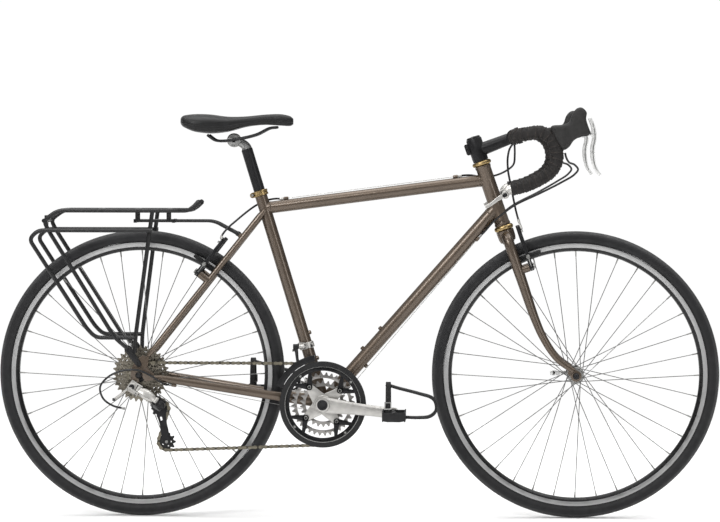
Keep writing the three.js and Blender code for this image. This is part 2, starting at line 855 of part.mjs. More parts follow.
// The cartridge that the spindle turns in.
const cartridgeHalf = shellLength / 2 - gap;
const cartridgeBore = boreFor(spindleRadius, tubeSides);
piece(
  "bottom_bracket",
  turned(
    [
      [cartridgeBore, -cartridgeHalf], [shellBore - gap, -cartridgeHalf],
      [shellBore - gap, cartridgeHalf], [cartridgeBore, cartridgeHalf], [cartridgeBore, -cartridgeHalf],
    ],
    tubeSides,
  ),
  blackMetal,
  crankset,
);

// Headset

function cupProfile(outside, inside) {
  const rim = outside + (inside - outside) * cupFlatShare;
  const bore = boreFor(steererRadius, tubeSides);
  return [
    [bore, outside], [cupRadius * cupFlatShare, outside], [cupRadius, (outside + rim) / 2],
    [cupRadius, rim],
    [headTubeRadius, inside], [headTubeBore - gap, inside],
    [headTubeBore - gap, inside + Math.sign(inside - outside) * cupInsertLength],
    [bore, inside + Math.sign(inside - outside) * cupInsertLength], [bore, outside],
  ];
}

const lowerCup = cupProfile(headRise - lowerCupHeight + gap, headRise - gap);
const upperCup = cupProfile(headTopRise + upperCupHeight, headTopRise + gap);
piece("headset_lower_cup", turnedUp(lowerCup, tubeSides), goldMetal, steeringGroup);
piece("headset_upper_cup", turnedUp(upperCup, tubeSides), goldMetal, steeringGroup);

// Seat collar, seatpost, rails and saddle

const collarFoot = along(seatTop, upSeatTube, -collarHeight);
const behindSeatTube = at(-upSeatTube.z, 0, upSeatTube.x);
const collarEar = along(
  along(seatTop, upSeatTube, -collarHeight / 2), behindSeatTube, seatTubeRadius + collarThickness,
);

function collarSolid() {
  const ring = rod(collarFoot, seatTop, seatTubeRadius + collarThickness, tubeSides);
  const ear = crossBar(
    collarEar.x, collarEar.z, -collarHeight / 2, collarHeight / 2, collarHeight / 2, staySides,
  );
  const slit = block(
    at(collarEar.x - collarHeight, -collarSlit / 2, collarEar.z - collarHeight),
    at(collarEar.x + collarThickness, collarSlit / 2, collarEar.z + collarHeight),
  );
  const bolt = crossBar(
    collarEar.x, collarEar.z, -collarHeight, collarHeight, collarThickness / 2, bossSides,
  );
  const low = along(collarFoot, upSeatTube, -overrun);
  const high = along(seatTop, upSeatTube, overrun);
  const bore = rod(low, high, socketFor(seatTubeRadius, tubeSides), tubeSides);
  return cut(cut(join(ring, ear), slit).add(bolt), bore);
}

piece("seat_collar", collarSolid(), goldMetal, frameGroup);

const postTop = along(seatTop, upSeatTube, seatpostRise);
const clampCentre = along(along(seatTop, upSeatTube, seatpostHeadRise), behindSeatTube, seatpostSetback);
const clampHalf = railSpread - railRadius - gap;

function seatpostSolid() {
  const post = rod(along(seatTop, upSeatTube, -seatpostInsert), postTop, seatpostRadius, tubeSides);
  const neckFoot = along(postTop, upSeatTube, -seatpostNeckRadius);
  const neck = rod(neckFoot, clampCentre, seatpostNeckRadius, staySides);
  const clamp = crossBar(clampCentre.x, clampCentre.z, -clampHalf, clampHalf, saddleClampRadius, tubeSides);
  return join(post, neck, clamp);
}

piece("seatpost", seatpostSolid(), blackMetal, frameGroup);

const saddleTail = at(clampCentre.x - saddleTailBehindClamp, 0, clampCentre.z + saddleAboveClamp);

// Across the saddle at each station: share of the length from the tail, half width, top and bottom.
const saddleStationShares = [
  [0, 0.5, 0.72, 0.6], [0.05, 0.86, 0.92, 0.4], [0.14, 1, 1, 0.06], [0.27, 0.92, 0.98, 0],
  [0.42, 0.62, 0.87, 0.1],
  [0.58, 0.4, 0.88, 0.36], [0.74, 0.31, 0.97, 0.44], [0.88, 0.28, 1, 0.4], [0.96, 0.22, 0.84, 0.44],
  [1, 0.12, 0.66, 0.5],
];
// Round the section: half width and height, from the bottom middle up the right side to the crown.
const saddleSectionShares = [[0.55, 0], [0.92, 0.18], [1, 0.45], [0.88, 0.75], [0.55, 0.95], [0, 1]];

function saddleRing([alongShare, widthShare, topShare, bottomShare]) {
  const x = saddleTail.x + alongShare * saddleLength;
  const bottom = saddleTail.z + bottomShare * saddleHeight;
  const rise = (topShare - bottomShare) * saddleHeight;
  const half = (widthShare * saddleWidth) / 2;
  const right = saddleSectionShares.map(([wide, high]) => at(x, -wide * half, bottom + high * rise));
  const left = saddleSectionShares.slice(0, -1).reverse();
  return right.concat(left.map(([wide, high]) => at(x, wide * half, bottom + high * rise)));
}

piece("saddle", loft(saddleStationShares.map(saddleRing)), blackRubber, frameGroup);

// One rail wire from the tail along the clamp to the nose: [length share, rise share, spread share].
const railSideShares = [
  [0.24, 0.022, 1.4], [0.31, -0.24, 1.05], [0.41, -0.26, 1], [0.56, -0.12, 1], [0.68, 0.06, 0.85],
  [0.79, 0.36, 0.6],
  [0.85, 0.402, 0.35],
];

function railSolid() {
  const point = (side, [alongShare, riseShare, spreadShare]) =>
    at(
      saddleTail.x + alongShare * saddleLength,
      side * spreadShare * railSpread,
      saddleTail.z + riseShare * saddleHeight - railRadius - gap,
    );
  const right = railSideShares.map((shares) => point(-1, shares));
  const left = railSideShares.map((shares) => point(1, shares)).reverse();
  return sweep([...right, ...left], railRadius, bossSides);
}

piece("saddle_rails", railSolid(), blackMetal, frameGroup);

// Fork

const stemFoot = headTopRise + upperCupHeight + gap;
const stemTop = stemFoot + stemClampHeight;

// Down the blade: [rake share, spread share from top to tip, fork length share].
const bladeShares = [
  [0, -1.35, 0.965], [0, -0.35, 0.93], [0, 0, 0.865], [0, 0.1, 0.65], [0, 0.3, 0.42], [0.1, 0.5, 0.28],
  [0.4, 0.75, 0.14], [0.96, 1, 0.035],
];

function brakeStud(side) {
  const root = at(0, side * frontStudY, frontStudRise);
  const shoulder = at(brakeStandoff - brakeArmThickness / 2 - gap, root.y, root.z);
  const end = at(brakeStandoff + brakeArmThickness / 2 + gap, root.y, root.z);
  return join(
    rod(root, shoulder, brakeArmRootRadius, bossSides), rod(root, end, brakeStudRadius, bossSides),
  );
}

function tipPlate(y) {
  const slotWidth = axleRadius + gap;
  const slot = new THREE.Shape();
  slot.absarc(0, 0, slotWidth, 0, Math.PI, false);
  slot.lineTo(-slotWidth, -forkTipRadius - overrun);
  slot.lineTo(slotWidth, -forkTipRadius - overrun);
  return cut(
    plate(disc(forkTipRadius), forkTipThickness, y, 6), plate(slot, forkTipThickness + overrun, y),
  );
}

// The room beside a fork tip for the locknut on one face and the skewer's nut on the other.
function tipRoom(side) {
  const room = (from, to) => crossBar(rake, 0, side * from, side * to, forkTipRadius, tubeSides);
  const half = frontHubWidth / 2;
  const outside = half + forkTipThickness;
  return join(room(half - forkTipRadius, half), room(outside, outside + forkTipRadius));
}

function forkSolid() {
  const steererTop = stemTop + gap;
  const parts = [
    rod(at(0, 0, forkLength - crownHeight), at(0, 0, steererTop), steererRadius, tubeSides),
    rod(
      at(0, 0, steererTop),
      at(0, 0, steererTop + capHeight),
      capRadius,
      tubeSides,
      capRadius * capTaperShare,
    ),
    rod(
      at(0, 0, forkLength - crownHeight),
      at(0, 0, forkLength),
      crownRadius * capTaperShare,
      tubeSides,
      crownRadius,
    ),
  ];
  for (const side of [1, -1]) {
    const spread = bladeTipSpread - bladeTopSpread;
    const points = bladeShares.map(([ahead, out, rise]) =>
      at(ahead * rake, side * (bladeTopSpread + out * spread), rise * forkLength),
    );
    parts.push(sweep(smooth(points, bladeSteps), bladeTopRadius, staySides, bladeTipRadius));
    parts.push(brakeStud(side));
  }
  const tips = [1, -1].map((side) => tipPlate(side * forkTipY).translate([rake, 0, 0]));
  return join(cut(join(...parts), tipRoom(1), tipRoom(-1)), ...tips);
}

piece("fork", forkSolid(), bronzePaint, steeringGroup);

// Stem and faceplate

function clampRing() {
  return crossBar(
    stemLength, stemBarRise, -barClampWidth / 2, barClampWidth / 2, barClampRadius, tubeSides,
  );
}

function stemSolid() {
  const column = turnedUp(
    [
      [0, stemFoot], [stemClampRadius * stemFootShare, stemFoot],
      [stemClampRadius, stemFoot + stemFlareHeight], [stemClampRadius, stemTop], [0, stemTop],
    ],
    tubeSides,
  );
  const arm = rod(
    at(0, 0, stemBarRise - stemRadius / 4),
    at(stemLength - barRadius, 0, stemBarRise),
    stemRadius,
    tubeSides,
  );
  const ear = block(
    at(-stemClampRadius - pinchEarDepth, -pinchEarWidth / 2, stemTop - pinchEarHeight),
    at(-steererRadius, pinchEarWidth / 2, stemTop - pinchEarDepth),
  );
  const bolts = [1, 2].map((step) => {
    const z = stemTop - pinchEarDepth - (step * (pinchEarHeight - pinchEarDepth)) / 3;
    const x = -stemClampRadius - pinchEarDepth / 3;
    return crossBar(
      x, z, -pinchEarWidth / 2 - pinchEarDepth / 3, pinchEarWidth / 2, barClampBoltRadius, bossSides,
    );
  });
  const front = block(
    at(stemLength - gap, -barClampWidth, stemBarRise - barClampRadius - overrun),
    at(stemLength + barClampRadius + overrun, barClampWidth, stemBarRise + barClampRadius + overrun),
  );
  return cut(
    join(column, arm, clampRing(), ear, ...bolts),
    rod(
      at(0, 0, stemFoot - overrun),
      at(0, 0, stemTop + overrun),
      boreFor(steererRadius, tubeSides),
      tubeSides,
    ),
    crossBar(
      stemLength, stemBarRise, -barClampWidth, barClampWidth, boreFor(barRadius, tubeSides), tubeSides,
    ),
    front,
  );
}

function faceplateSolid() {
  const rear = block(
    at(-stemLength, -barClampWidth, stemBarRise - barClampRadius - overrun),
    at(stemLength + gap, barClampWidth, stemBarRise + barClampRadius + overrun),
  );
  const shell = cut(
    clampRing(),
    crossBar(
      stemLength, stemBarRise, -barClampWidth, barClampWidth, boreFor(barRadius, tubeSides), tubeSides,
    ),
    rear,
  );
  const bolts = [];
  const boltZ = barClampRadius - barClampBoltRadius;
  for (const up of [1, -1]) {
    for (const side of [1, -1]) {
      const y = side * (barClampWidth / 2 - barClampBoltRadius * 2);
      const start = at(stemLength + barClampBoltRadius * 2, y, stemBarRise + up * boltZ);
      const end = at(stemLength + barClampRadius, y, stemBarRise + up * boltZ);
      bolts.push(rod(start, end, barClampBoltRadius, bossSides));
    }
  }
  return join(shell, ...bolts);
}

piece("stem", stemSolid(), blackMetal, steeringGroup);
piece("stem_faceplate", faceplateSolid(), blackMetal, steeringGroup);

// Handlebar, seen from its own centre with level axes.

const barGroup = new THREE.Group();
barGroup.position.set(stemLength, 0, stemBarRise);
barGroup.rotation.y = quarterTurn - headAngle;
steeringGroup.add(barGroup);

// From the middle to the end of the drop: [reach share, half width share, drop share].
const barShares = [
  [0, 0.35, 0], [0, 0.68, 0], [0.05, 0.88, 0.02], [0.28, 0.98, 0.05], [0.6, 1, 0.075], [0.86, 1, -0.05],
  [0.99, 1, -0.3], [0.97, 1, -0.5], [0.84, 1, -0.67], [0.58, 1, -0.81], [0.28, 1, -0.92], [-0.1, 1, -1],
];
const barPoint = (side, [reach, wide, drop]) => at(
  reach * barReach, (side * wide * barWidth) / 2, drop * barDrop,
);
const barHalf = (side) => barShares.map((shares) => barPoint(side, shares));
const halfStations = (side) => smooth(barHalf(side), barSteps);

const barStations = [...halfStations(-1).reverse(), ...halfStations(1)];
piece("handlebar", sweep(barStations, barRadius, barSides), blackMetal, barGroup);

const tapeRadius = barRadius + tapeThickness;
const sideName = (side) => (side > 0 ? "left" : "right");

function tapeSolid(side) {
  const stations = halfStations(side).reverse();
  const start = stations[stations.length - 1];
  stations[stations.length - 1] = at(start.x, side * tapeInnerY, start.z);
  const longer = stations.map((station) => station.clone());
  const first = longer[0];
  longer[0] = first.clone().add(first.clone().sub(longer[1]).setLength(overrun));
  longer[longer.length - 1].y = side * (tapeInnerY - overrun);
  return cut(
    sweep(stations, tapeRadius, tapeSides), sweep(longer, socketFor(barRadius, barSides), barSides),
  );
}

// The side outline of a hood, clockwise from behind its root: [length share, height share].
const hoodShares = [
  [0.2, 0.6], [0.44, 0.645], [0.57, 0.71], [0.64, 0.89], [0.73, 0.99], [0.82, 1], [0.915, 0.9],
  [0.905, 0.764],
  [0.957, 0.582], [0.99, 0.47], [0.94, 0.41], [0.79, 0.382], [0.66, 0.31], [0.557, 0.164],
  [0.45, 0.11], [0.33, 0.25],
];

function hoodSolid(side) {
  const points = hoodShares.map(([x, z]) => [hoodRootX + x * hoodLength, hoodRootZ + z * hoodHeight]);
  const y = (side * barWidth) / 2;
  const body = softPlate(outline(points), hoodThickness, hoodRounding, y);
  const slot = leverWidth + gap + gap;
  const notch = crossBar(
    leverPivotX, leverPivotZ, y - slot / 2, y + slot / 2, boreFor(leverHubRadius, staySides), staySides,
  );
  const tapeRoom = sweep(halfStations(side), socketFor(tapeRadius, tapeSides), tapeSides);
  return cut(body, tapeRoom, notch);
}

// The blade's middle line below the hub: [reach share, drop share].
const bladeLineShares = [
  [-0.06, 0.37], [0.21, 0.16], [0.31, -0.1], [0.17, -0.35], [0.2, -0.6], [0.4, -0.82], [0.77, -0.98],
];

function leverSolid() {
  const line = bladeLineShares.map(([x, z]) => flatPoint(x * leverReach, z * leverDrop));
  const curve = new THREE.SplineCurve(line).getPoints(leverSteps);
  const blade = plate(ribbonShape(curve, leverThickness), leverWidth, 0);
  const hub = plate(
    linkShape(
      flatPoint(0, 0), leverHubRadius, flatPoint(leverReach * 0.28, -leverThickness / 2), leverThickness,
    ),
    leverWidth,
    0,
  );
  return join(blade, hub);
}

function podSolid(side) {
  const [end, before] = halfStations(side).reverse();
  const ahead = directionOf(before, end);
  const pivot = at(podPivotX, end.y, podPivotZ);
  const root = along(end, ahead, gap);
  const body = sweep([root, along(end, ahead, podRadius / 2), pivot], podRootRadius, staySides, podRadius);
  const boss = crossBar(
    pivot.x, pivot.z, pivot.y - podWidth / 2, pivot.y + podWidth / 2, podRadius, staySides,
  );
  const pinEnd = pivot.y + side * (podWidth / 2 + shiftLeverThickness);
  return join(body, boss, crossBar(pivot.x, pivot.z, pivot.y, pinEnd, mechPinRadius, bossSides));
}

function shiftLeverSolid(side) {
  const tip = flatPoint(
    -Math.cos(shiftLeverTilt) * shiftLeverLength, -Math.sin(shiftLeverTilt) * shiftLeverLength,
  );
  const arm = linkShape(flatPoint(0, 0), shiftLeverRootRadius, tip, shiftLeverTipRadius);
  const y = side * (podWidth / 2 + gap + gap + shiftLeverThickness / 2);
  const hole = crossBar(0, 0, -podWidth, podWidth, boreFor(mechPinRadius, bossSides), bossSides);
  return cut(plate(arm, shiftLeverThickness, y), hole);
}

function placed(parent, x, y, z) {
  const group = new THREE.Group();
  group.position.set(x, y, z);
  parent.add(group);
  return group;
}

for (const side of [1, -1]) {
  const name = sideName(side);
  const y = (side * barWidth) / 2;
  piece("bar_tape_" + name, tapeSolid(side), blackRubber, barGroup);
  piece("brake_hood_" + name, hoodSolid(side), blackRubber, barGroup);
  piece("shifter_pod_" + name, podSolid(side), silverMetal, barGroup);
  piece("brake_lever_" + name, leverSolid(), silverMetal, placed(barGroup, leverPivotX, y, leverPivotZ));
  piece(
    "shift_lever_" + name, shiftLeverSolid(side), silverMetal, placed(barGroup, podPivotX, y, podPivotZ),
  );
}

// Brake arms, seen from the stud: X out from the stay, Z up along it.

function armPlate(shape, thickness) {
  const geometry = new THREE.ExtrudeGeometry(
    shape, { depth: thickness, bevelEnabled: false, curveSegments: 3 },
  );
  const turn = new THREE.Matrix4().makeBasis(at(0, 1, 0), at(0, 0, 1), at(1, 0, 0));
  return solid(geometry.translate(0, 0, -thickness / 2).applyMatrix4(turn));
}

function brakeArmSolid(side, studY) {
  const tip = flatPoint(-side * brakeArmLean, brakeArmLength);
  const arm = armPlate(
    linkShape(flatPoint(0, 0), brakeArmRootRadius, tip, brakeArmTipRadius), brakeArmThickness,
  );
  const padInner = rimWidth / 2 + brakePadGap - studY;
  const padOuter = padInner + brakePadThickness;
  const pad = block(
    at(-brakePadLength / 2, Math.min(side * padInner, side * padOuter), brakePadRise - brakePadHeight / 2),
    at(brakePadLength / 2, Math.max(side * padInner, side * padOuter), brakePadRise + brakePadHeight / 2),
  );
  const stemEnd = side * (brakeArmRootRadius + brakePadStemRadius);
  const stem = crossBar(0, brakePadRise, side * padOuter, stemEnd, brakePadStemRadius, bossSides);
  const bore = rod(
    at(-brakeArmThickness, 0, 0), at(brakeArmThickness, 0, 0), boreFor(brakeStudRadius, bossSides),
    bossSides,
  );
  return cut(join(arm, pad, stem), bore);
}

const rearArmTurn = new THREE.Matrix4().makeBasis(
  behindSeatstay,
  seatstayCentreline.clone().cross(behindSeatstay),
  seatstayCentreline,
);

for (const side of [1, -1]) {
  const front = placed(steeringGroup, brakeStandoff, side * frontStudY, frontStudRise);
  piece("front_brake_arm_" + sideName(side), brakeArmSolid(side, frontStudY), blackMetal, front);
  const centre = along(rearStudFoot, behindSeatstay, brakeStandoff);
  const rear = placed(frameGroup, centre.x, side * rearStudY, centre.z);
  rear.quaternion.setFromRotationMatrix(rearArmTurn);
  // The rear group's own Y points to the rider's right.
  piece("rear_brake_arm_" + sideName(side), brakeArmSolid(-side, rearStudY), blackMetal, rear);
}

// Wheels, each seen from its axle.

const tyreCentre = tyreRadius - tyreWidth / 2;
const rimOuterRadius = tyreCentre - (tyreWidth / 2) * Math.cos(Math.PI - tyreWrap) - gap;

function tyreSolid() {
  const profile = [];
  for (let i = 0; i <= tyreSteps; i++) {
    const angle = -tyreWrap + (i / tyreSteps) * tyreWrap * 2;
    profile.push([tyreCentre + (Math.cos(angle) * tyreWidth) / 2, (Math.sin(angle) * tyreWidth) / 2]);
  }
  return turned([...profile, profile[0]], wheelSides);
}

function rimSolid() {
  const trackFoot = rimOuterRadius - rimTrackDepth;
  const half = rimWidth / 2;
  const bed = rimBedWidth / 2;
  return turned(
    [
      [rimOuterRadius, -half], [rimOuterRadius, half], [trackFoot, half], [rimInnerRadius, bed],
      [rimInnerRadius, -bed], [trackFoot, -half], [rimOuterRadius, -half],
    ],
    wheelSides,
  );
}

// A spoke from its hole in the flange to the rim, three holes over.
function spoke(index, flangeY) {
  const perFlange = spokeCount / 2;
  const step = fullTurn / perFlange;
  const sense = index % 2 ? 1 : -1;
  const hole = index * step + (flangeY > 0 ? step / 2 : 0);
  const target = hole + sense * spokeCrossings * step;
  const inner = flangeRadius - flangeHoleInset;
  const outer = rimInnerRadius * Math.cos(Math.PI / wheelSides) - gap;
  const y = flangeY + sense * spokeHeadOffset;
  const side = Math.sign(flangeY);
  return rod(
    at(Math.cos(hole) * inner, y, Math.sin(hole) * inner),
    at(Math.cos(target) * outer, side * spokeRimOffset, Math.sin(target) * outer),
    spokeRadius,
    spokeSides,
  );
}

function hubSolid(width, leftFlange, rightFlange, freehub) {
  const half = width / 2 - gap;
  const flange = (y) => crossBar(
    0, 0, y - flangeThickness / 2, y + flangeThickness / 2, flangeRadius, hubSides,
  );
  const parts = [
    crossBar(0, 0, rightFlange, leftFlange, hubRadius, hubSides),
    crossBar(0, 0, -half, half, locknutRadius, hubSides),
    crossBar(0, 0, -half - locknutLength, half + locknutLength, axleRadius, hubSides),
    flange(leftFlange),
    flange(rightFlange),
  ];
  if (freehub) parts.push(crossBar(0, 0, -half + locknutLength, rightFlange, freehubRadius, hubSides));
  for (let i = 0; i < spokeCount / 2; i++) {
    parts.push(spoke(i, leftFlange), spoke(i, rightFlange));
  }
  return cut(join(...parts), crossBar(0, 0, -width, width, boreFor(skewerRadius, bossSides), bossSides));
}

piece("front_tyre", tyreSolid(), blackRubber, frontWheel);
piece("front_rim", rimSolid(), silverMetal, frontWheel);
piece(
  "front_hub",
  hubSolid(frontHubWidth, frontFlangeSpread, -frontFlangeSpread, false),
  silverMetal,
  frontWheel,
);
piece("rear_tyre", tyreSolid(), blackRubber, rearWheel);
piece("rear_rim", rimSolid(), silverMetal, rearWheel);
piece("rear_hub", hubSolid(rearHubWidth, rearFlangeLeft, rearFlangeRight, true), silverMetal, rearWheel);

// Skewers and their levers

function skewerSolid(outerFace) {
  const reach = outerFace + gap;
  return join(
    crossBar(0, 0, -reach, reach, skewerRadius, bossSides),
    crossBar(0, 0, -reach - skewerNutLength, -reach, skewerNutRadius, staySides),
    crossBar(0, 0, reach, reach + skewerCamLength, skewerNutRadius, staySides),
  );
}

// The lever's flat root turns within its round barrel, clear of the skewer's face.
const quickRootRadius = Math.sqrt(quickBarrelRadius ** 2 - (quickLeverThickness / 2) ** 2);

function quickLeverSolid() {
  const barrel = rod(
    at(0, 0, -quickBarrelHeight / 2), at(0, 0, quickBarrelHeight / 2), quickBarrelRadius, staySides,
  );
  const arm = plate(
    linkShape(flatPoint(0, 0), quickRootRadius, flatPoint(-quickLeverLength, 0), quickTipRadius),
    quickLeverThickness,
    0,
  );
  return join(barrel, arm);
}

const frontGrip = frontHubWidth / 2 + forkTipThickness;
const rearGrip = rearHubWidth / 2 + dropoutThickness;
const quickLeverY = (grip) => grip + gap + skewerCamLength + gap + quickBarrelRadius;
piece("front_skewer", skewerSolid(frontGrip), steelMetal, frontWheel);
piece("rear_skewer", skewerSolid(rearGrip), steelMetal, rearWheel);
piece("front_quick_lever", quickLeverSolid(), steelMetal, placed(frontWheel, 0, quickLeverY(frontGrip), 0));
piece("rear_quick_lever", quickLeverSolid(), steelMetal, placed(rearWheel, 0, quickLeverY(rearGrip), 0));

// Toothed wheels

function toothedShape(teeth, tip, root) {
  const pitch = pitchRadius(teeth);
  const points = [];
  for (let i = 0; i < teeth * 2; i++) {
    const angle = (i / teeth) * Math.PI;
    const radius = i % 2 ? pitch - root : pitch + tip;
    points.push([Math.cos(angle) * radius, Math.sin(angle) * radius]);
  }
  return outline(points);
}

function addRoundHole(shape, radius) {
  const hole = new THREE.Path();
  hole.absarc(0, 0, radius, 0, fullTurn, true);
  shape.holes.push(hole);
  return shape;
}

// Cassette

const freehubBore = boreFor(freehubRadius, hubSides);
const cogY = (index) => chainLineOuter + (index - chainCog) * cogSpacing;

function cassetteSolid() {
  const last = cassetteTeeth.length - 1;
  const core = crossBar(
    0, 0, cogY(0) - cogThickness / 2, cogY(last) + cogThickness / 2,
    pitchRadius(cassetteTeeth[0]) - toothRoot, hubSides,
  );
  const parts = [core];
  cassetteTeeth.forEach((teeth, index) => {
    parts.push(plate(toothedShape(teeth, toothTip, toothRoot), cogThickness, cogY(index)));
  });
  return cut(join(...parts), crossBar(0, 0, -rearHubWidth, 0, freehubBore, hubSides));
}

piece("cassette", cassetteSolid(), steelMetal, rearWheel);

// Chainset, seen with the right crank along X

const crankTurn = new THREE.Group();
crankTurn.rotation.y = crankDrop;
crankset.add(crankTurn);

const spot = (radius, angle) => flatPoint(Math.cos(angle) * radius, Math.sin(angle) * radius);
const boltAngles = [1, 3, 5, 7].map((eighth) => (eighth * Math.PI) / 4);

// A toothed band with a tab or a pair of arms at each bolt.
function ringSolid(teeth, index, boltRadius, armSpread) {
  const y = ringY(index);
  const bandRadius = pitchRadius(teeth) - toothRoot - (armSpread ? ringBandDepth : ringBandDepth / 2);
  const band = toothedShape(teeth, toothTip, toothRoot);
  const parts = [plate(addRoundHole(band, bandRadius), ringThickness, y, hubSides)];
  for (const angle of boltAngles) {
    const bolt = spot(boltRadius, angle);
    const spread = armSpread ? [-armSpread, armSpread] : [0];
    for (const lean of spread) {
      const width = armSpread ? ringArmWidth / 2 : ringTabRadius;
      const foot = spot(armSpread ? bandRadius + width : bandRadius - width / 2, angle + lean);
      parts.push(plate(linkShape(bolt, ringTabRadius, foot, width), ringThickness, y, 1));
    }
  }
  return join(...parts);
}

const spiderOuter = ringY(0) + ringThickness / 2 + gap;
const spiderInner = ringY(1) - ringThickness / 2 - gap;

function spiderSolid() {
  const parts = [crossBar(0, 0, spiderInner, spiderOuter, spiderHubRadius, tubeSides)];
  for (const angle of boltAngles) {
    const arm = linkShape(spot(0, 0), spiderArmRoot, spot(ringBoltRadius, angle), ringTabRadius);
    parts.push(plate(arm, spiderInner - spiderOuter, (spiderInner + spiderOuter) / 2, 3));
    const post = spot(innerBoltRadius, angle);
    parts.push(crossBar(
      post.x, post.y, ringY(2) - ringThickness / 2 - gap, spiderInner, ringBoltHeadRadius, bossSides,
    ));
  }
  return join(...parts);
}

function crankArmSolid(side) {
  const eye = flatPoint(side < 0 ? crankLength : -crankLength, 0);
  const bossMiddle = crankBossFace - crankBossInset - crankThickness / 2;
  const eyeMiddle = crankOuterFace - crankThickness / 2;
  const arm = softPlate(
    linkShape(flatPoint(0, 0), crankBossRadius, eye, crankEyeRadius), crankThickness, crankRounding, 0,
  );
  const splay = (side * (eyeMiddle - bossMiddle)) / eye.x;
  return arm.transform([1, splay, 0, 0, 0, 1, 0, 0, 0, 0, 1, 0, 0, side * bossMiddle, 0, 1]);
}

function rightCrankSolid() {
  const boss = crossBar(0, 0, spiderOuter, -crankBossFace, crankBossRadius, tubeSides);
  const socket = crossBar(
    0, 0, 0, -crankBossFace + crankThickness / 2, boreFor(spindleRadius, tubeSides), tubeSides,
  );
  const cap = crossBar(
    0, 0, -crankBossFace - overrun, -crankBossFace + dustCapDepth, dustCapRadius, tubeSides,
  );
  return cut(join(spiderSolid(), boss, crankArmSolid(-1)), socket, cap);
}

function leftCrankSolid() {
  const spindleEnd = -crankBossFace + crankThickness / 2 + gap;
  const cap = crossBar(
    0, 0, crankBossFace - dustCapDepth, crankBossFace + overrun, dustCapRadius, tubeSides,
  );
  const boss = crossBar(0, 0, leftBossFace, crankBossFace, crankBossRadius, tubeSides);
  const spindle = crossBar(0, 0, spindleEnd, shellLength, spindleRadius, tubeSides);
  return join(cut(join(crankArmSolid(1), boss), cap), spindle);
}

function guardSolid() {
  const face = ringY(0) - chainWidth / 2 - gap - gap;
  const middle = face - guardThickness / 2;
  const parts = [plate(addRoundHole(disc(guardOuterRadius), guardInnerRadius), guardThickness, middle, 12)];
  for (const angle of boltAngles) {
    const tab = spot(guardInnerRadius - ringBoltHeadRadius / 2, angle);
    parts.push(plate(disc(ringBoltHeadRadius, tab), guardThickness, middle, 3));
    parts.push(crossBar(
      tab.x,
      tab.y,
      face - overrun / 2,
      ringY(0) - ringThickness / 2 - gap,
      ringBoltHeadRadius / 2,
      bossSides,
    ));
  }
  return join(...parts);
}

piece("crank_right", rightCrankSolid(), silverMetal, crankTurn);
piece("crank_left", leftCrankSolid(), silverMetal, crankTurn);
piece("outer_chainring", ringSolid(outerTeeth, 0, ringBoltRadius, ringArmSpread), blackMetal, crankTurn);
piece("middle_chainring", ringSolid(middleTeeth, 1, ringBoltRadius, 0), silverMetal, crankTurn);
piece("inner_chainring", ringSolid(innerTeeth, 2, innerBoltRadius, 0), silverMetal, crankTurn);
piece("chain_guard", guardSolid(), blackPlastic, crankTurn);

// Pedals, seen from the crank eye with level axes; Y out is the pedal's own length.

// The clip from the front plate round the toe and back over the foot: [reach share, height share].
const clipShares = [
  [0.27, -0.05], [0.6, -0.06], [0.86, -0.02], [1, 0.16], [1, 0.38], [0.91, 0.56], [0.6, 0.76],
  [0.1, 0.92], [-0.17, 1],
];
const strapShares = [[-1, -0.14], [-0.94, 0.3], [-0.4, 1.02], [0.4, 1.02], [0.94, 0.3], [1, -0.14]];

function pedalSolid(side) {
  const inner = pedalGap;
  const outer = pedalGap + pedalWidth;
  const cage = cut(
    block(at(-pedalRear, inner, -pedalHeight / 2), at(pedalFront, outer, pedalHeight / 2)),
    block(
      at(-pedalRear + pedalPlate, inner + pedalPlate, -pedalHeight),
      at(pedalFront - pedalPlate, outer - pedalPlate, pedalHeight),
    ),
  );
  const barrel = crossBar(0, 0, inner, outer, pedalBarrelRadius, staySides);
  const axle = crossBar(0, 0, gap + gap, inner + overrun, pedalAxleRadius, staySides);
  const middle = inner + pedalWidth / 2;
  const clipPoints = clipShares.map(([x, z]) => flatPoint(x * clipReach, z * clipHeight));
const clipLine = new THREE.SplineCurve(clipPoints);
  const clip = plate(ribbonShape(clipLine.getPoints(clipSteps), clipThickness), clipWidth, middle);
  const half = pedalWidth / 2 - pedalPlate * 2;
  const loopOut = strapShares.map(([y, z]) => flatPoint(middle + y * half, z * clipHeight));
  const strap = strapLoop(loopOut, middle);
  const body = join(cage, barrel, axle, clip, strap);
  return side > 0 ? body : body.mirror([0, 1, 0]);
}

// A flat strap round the foot: the outline in the YZ plane, less the same drawn in.
function strapLoop(points, middle) {
  const centre = flatPoint(middle, clipHeight / 2);
  const wide = armPlate(new THREE.Shape(points), strapWidth);
  const drawnIn = points.map((point) => {
    const inward = centre.clone().sub(point);
    return point.clone().add(inward.setLength(strapThickness));
  });
  const room = armPlate(new THREE.Shape(drawnIn), strapWidth + overrun);
  return cut(wide, room).translate([-strapSetback, 0, 0]);
}

const eyeRight = at(
  bottomBracket.x + crankLength * Math.cos(crankDrop),
  -crankOuterFace,
  bottomBracket.z - crankLength * Math.sin(crankDrop),
);
const eyeLeft = at(2 * bottomBracket.x - eyeRight.x, crankOuterFace, 2 * bottomBracket.z - eyeRight.z);
piece("pedal_right", pedalSolid(-1), blackPlastic, placed(bike, eyeRight.x, eyeRight.y, eyeRight.z));
piece("pedal_left", pedalSolid(1), blackPlastic, placed(bike, eyeLeft.x, eyeLeft.y, eyeLeft.z));

// Front derailleur, in the frame's own axes from the bottom bracket

const frontMechPivot = at(frontMechPivotX, frontMechPivotY, frontMechPivotZ);

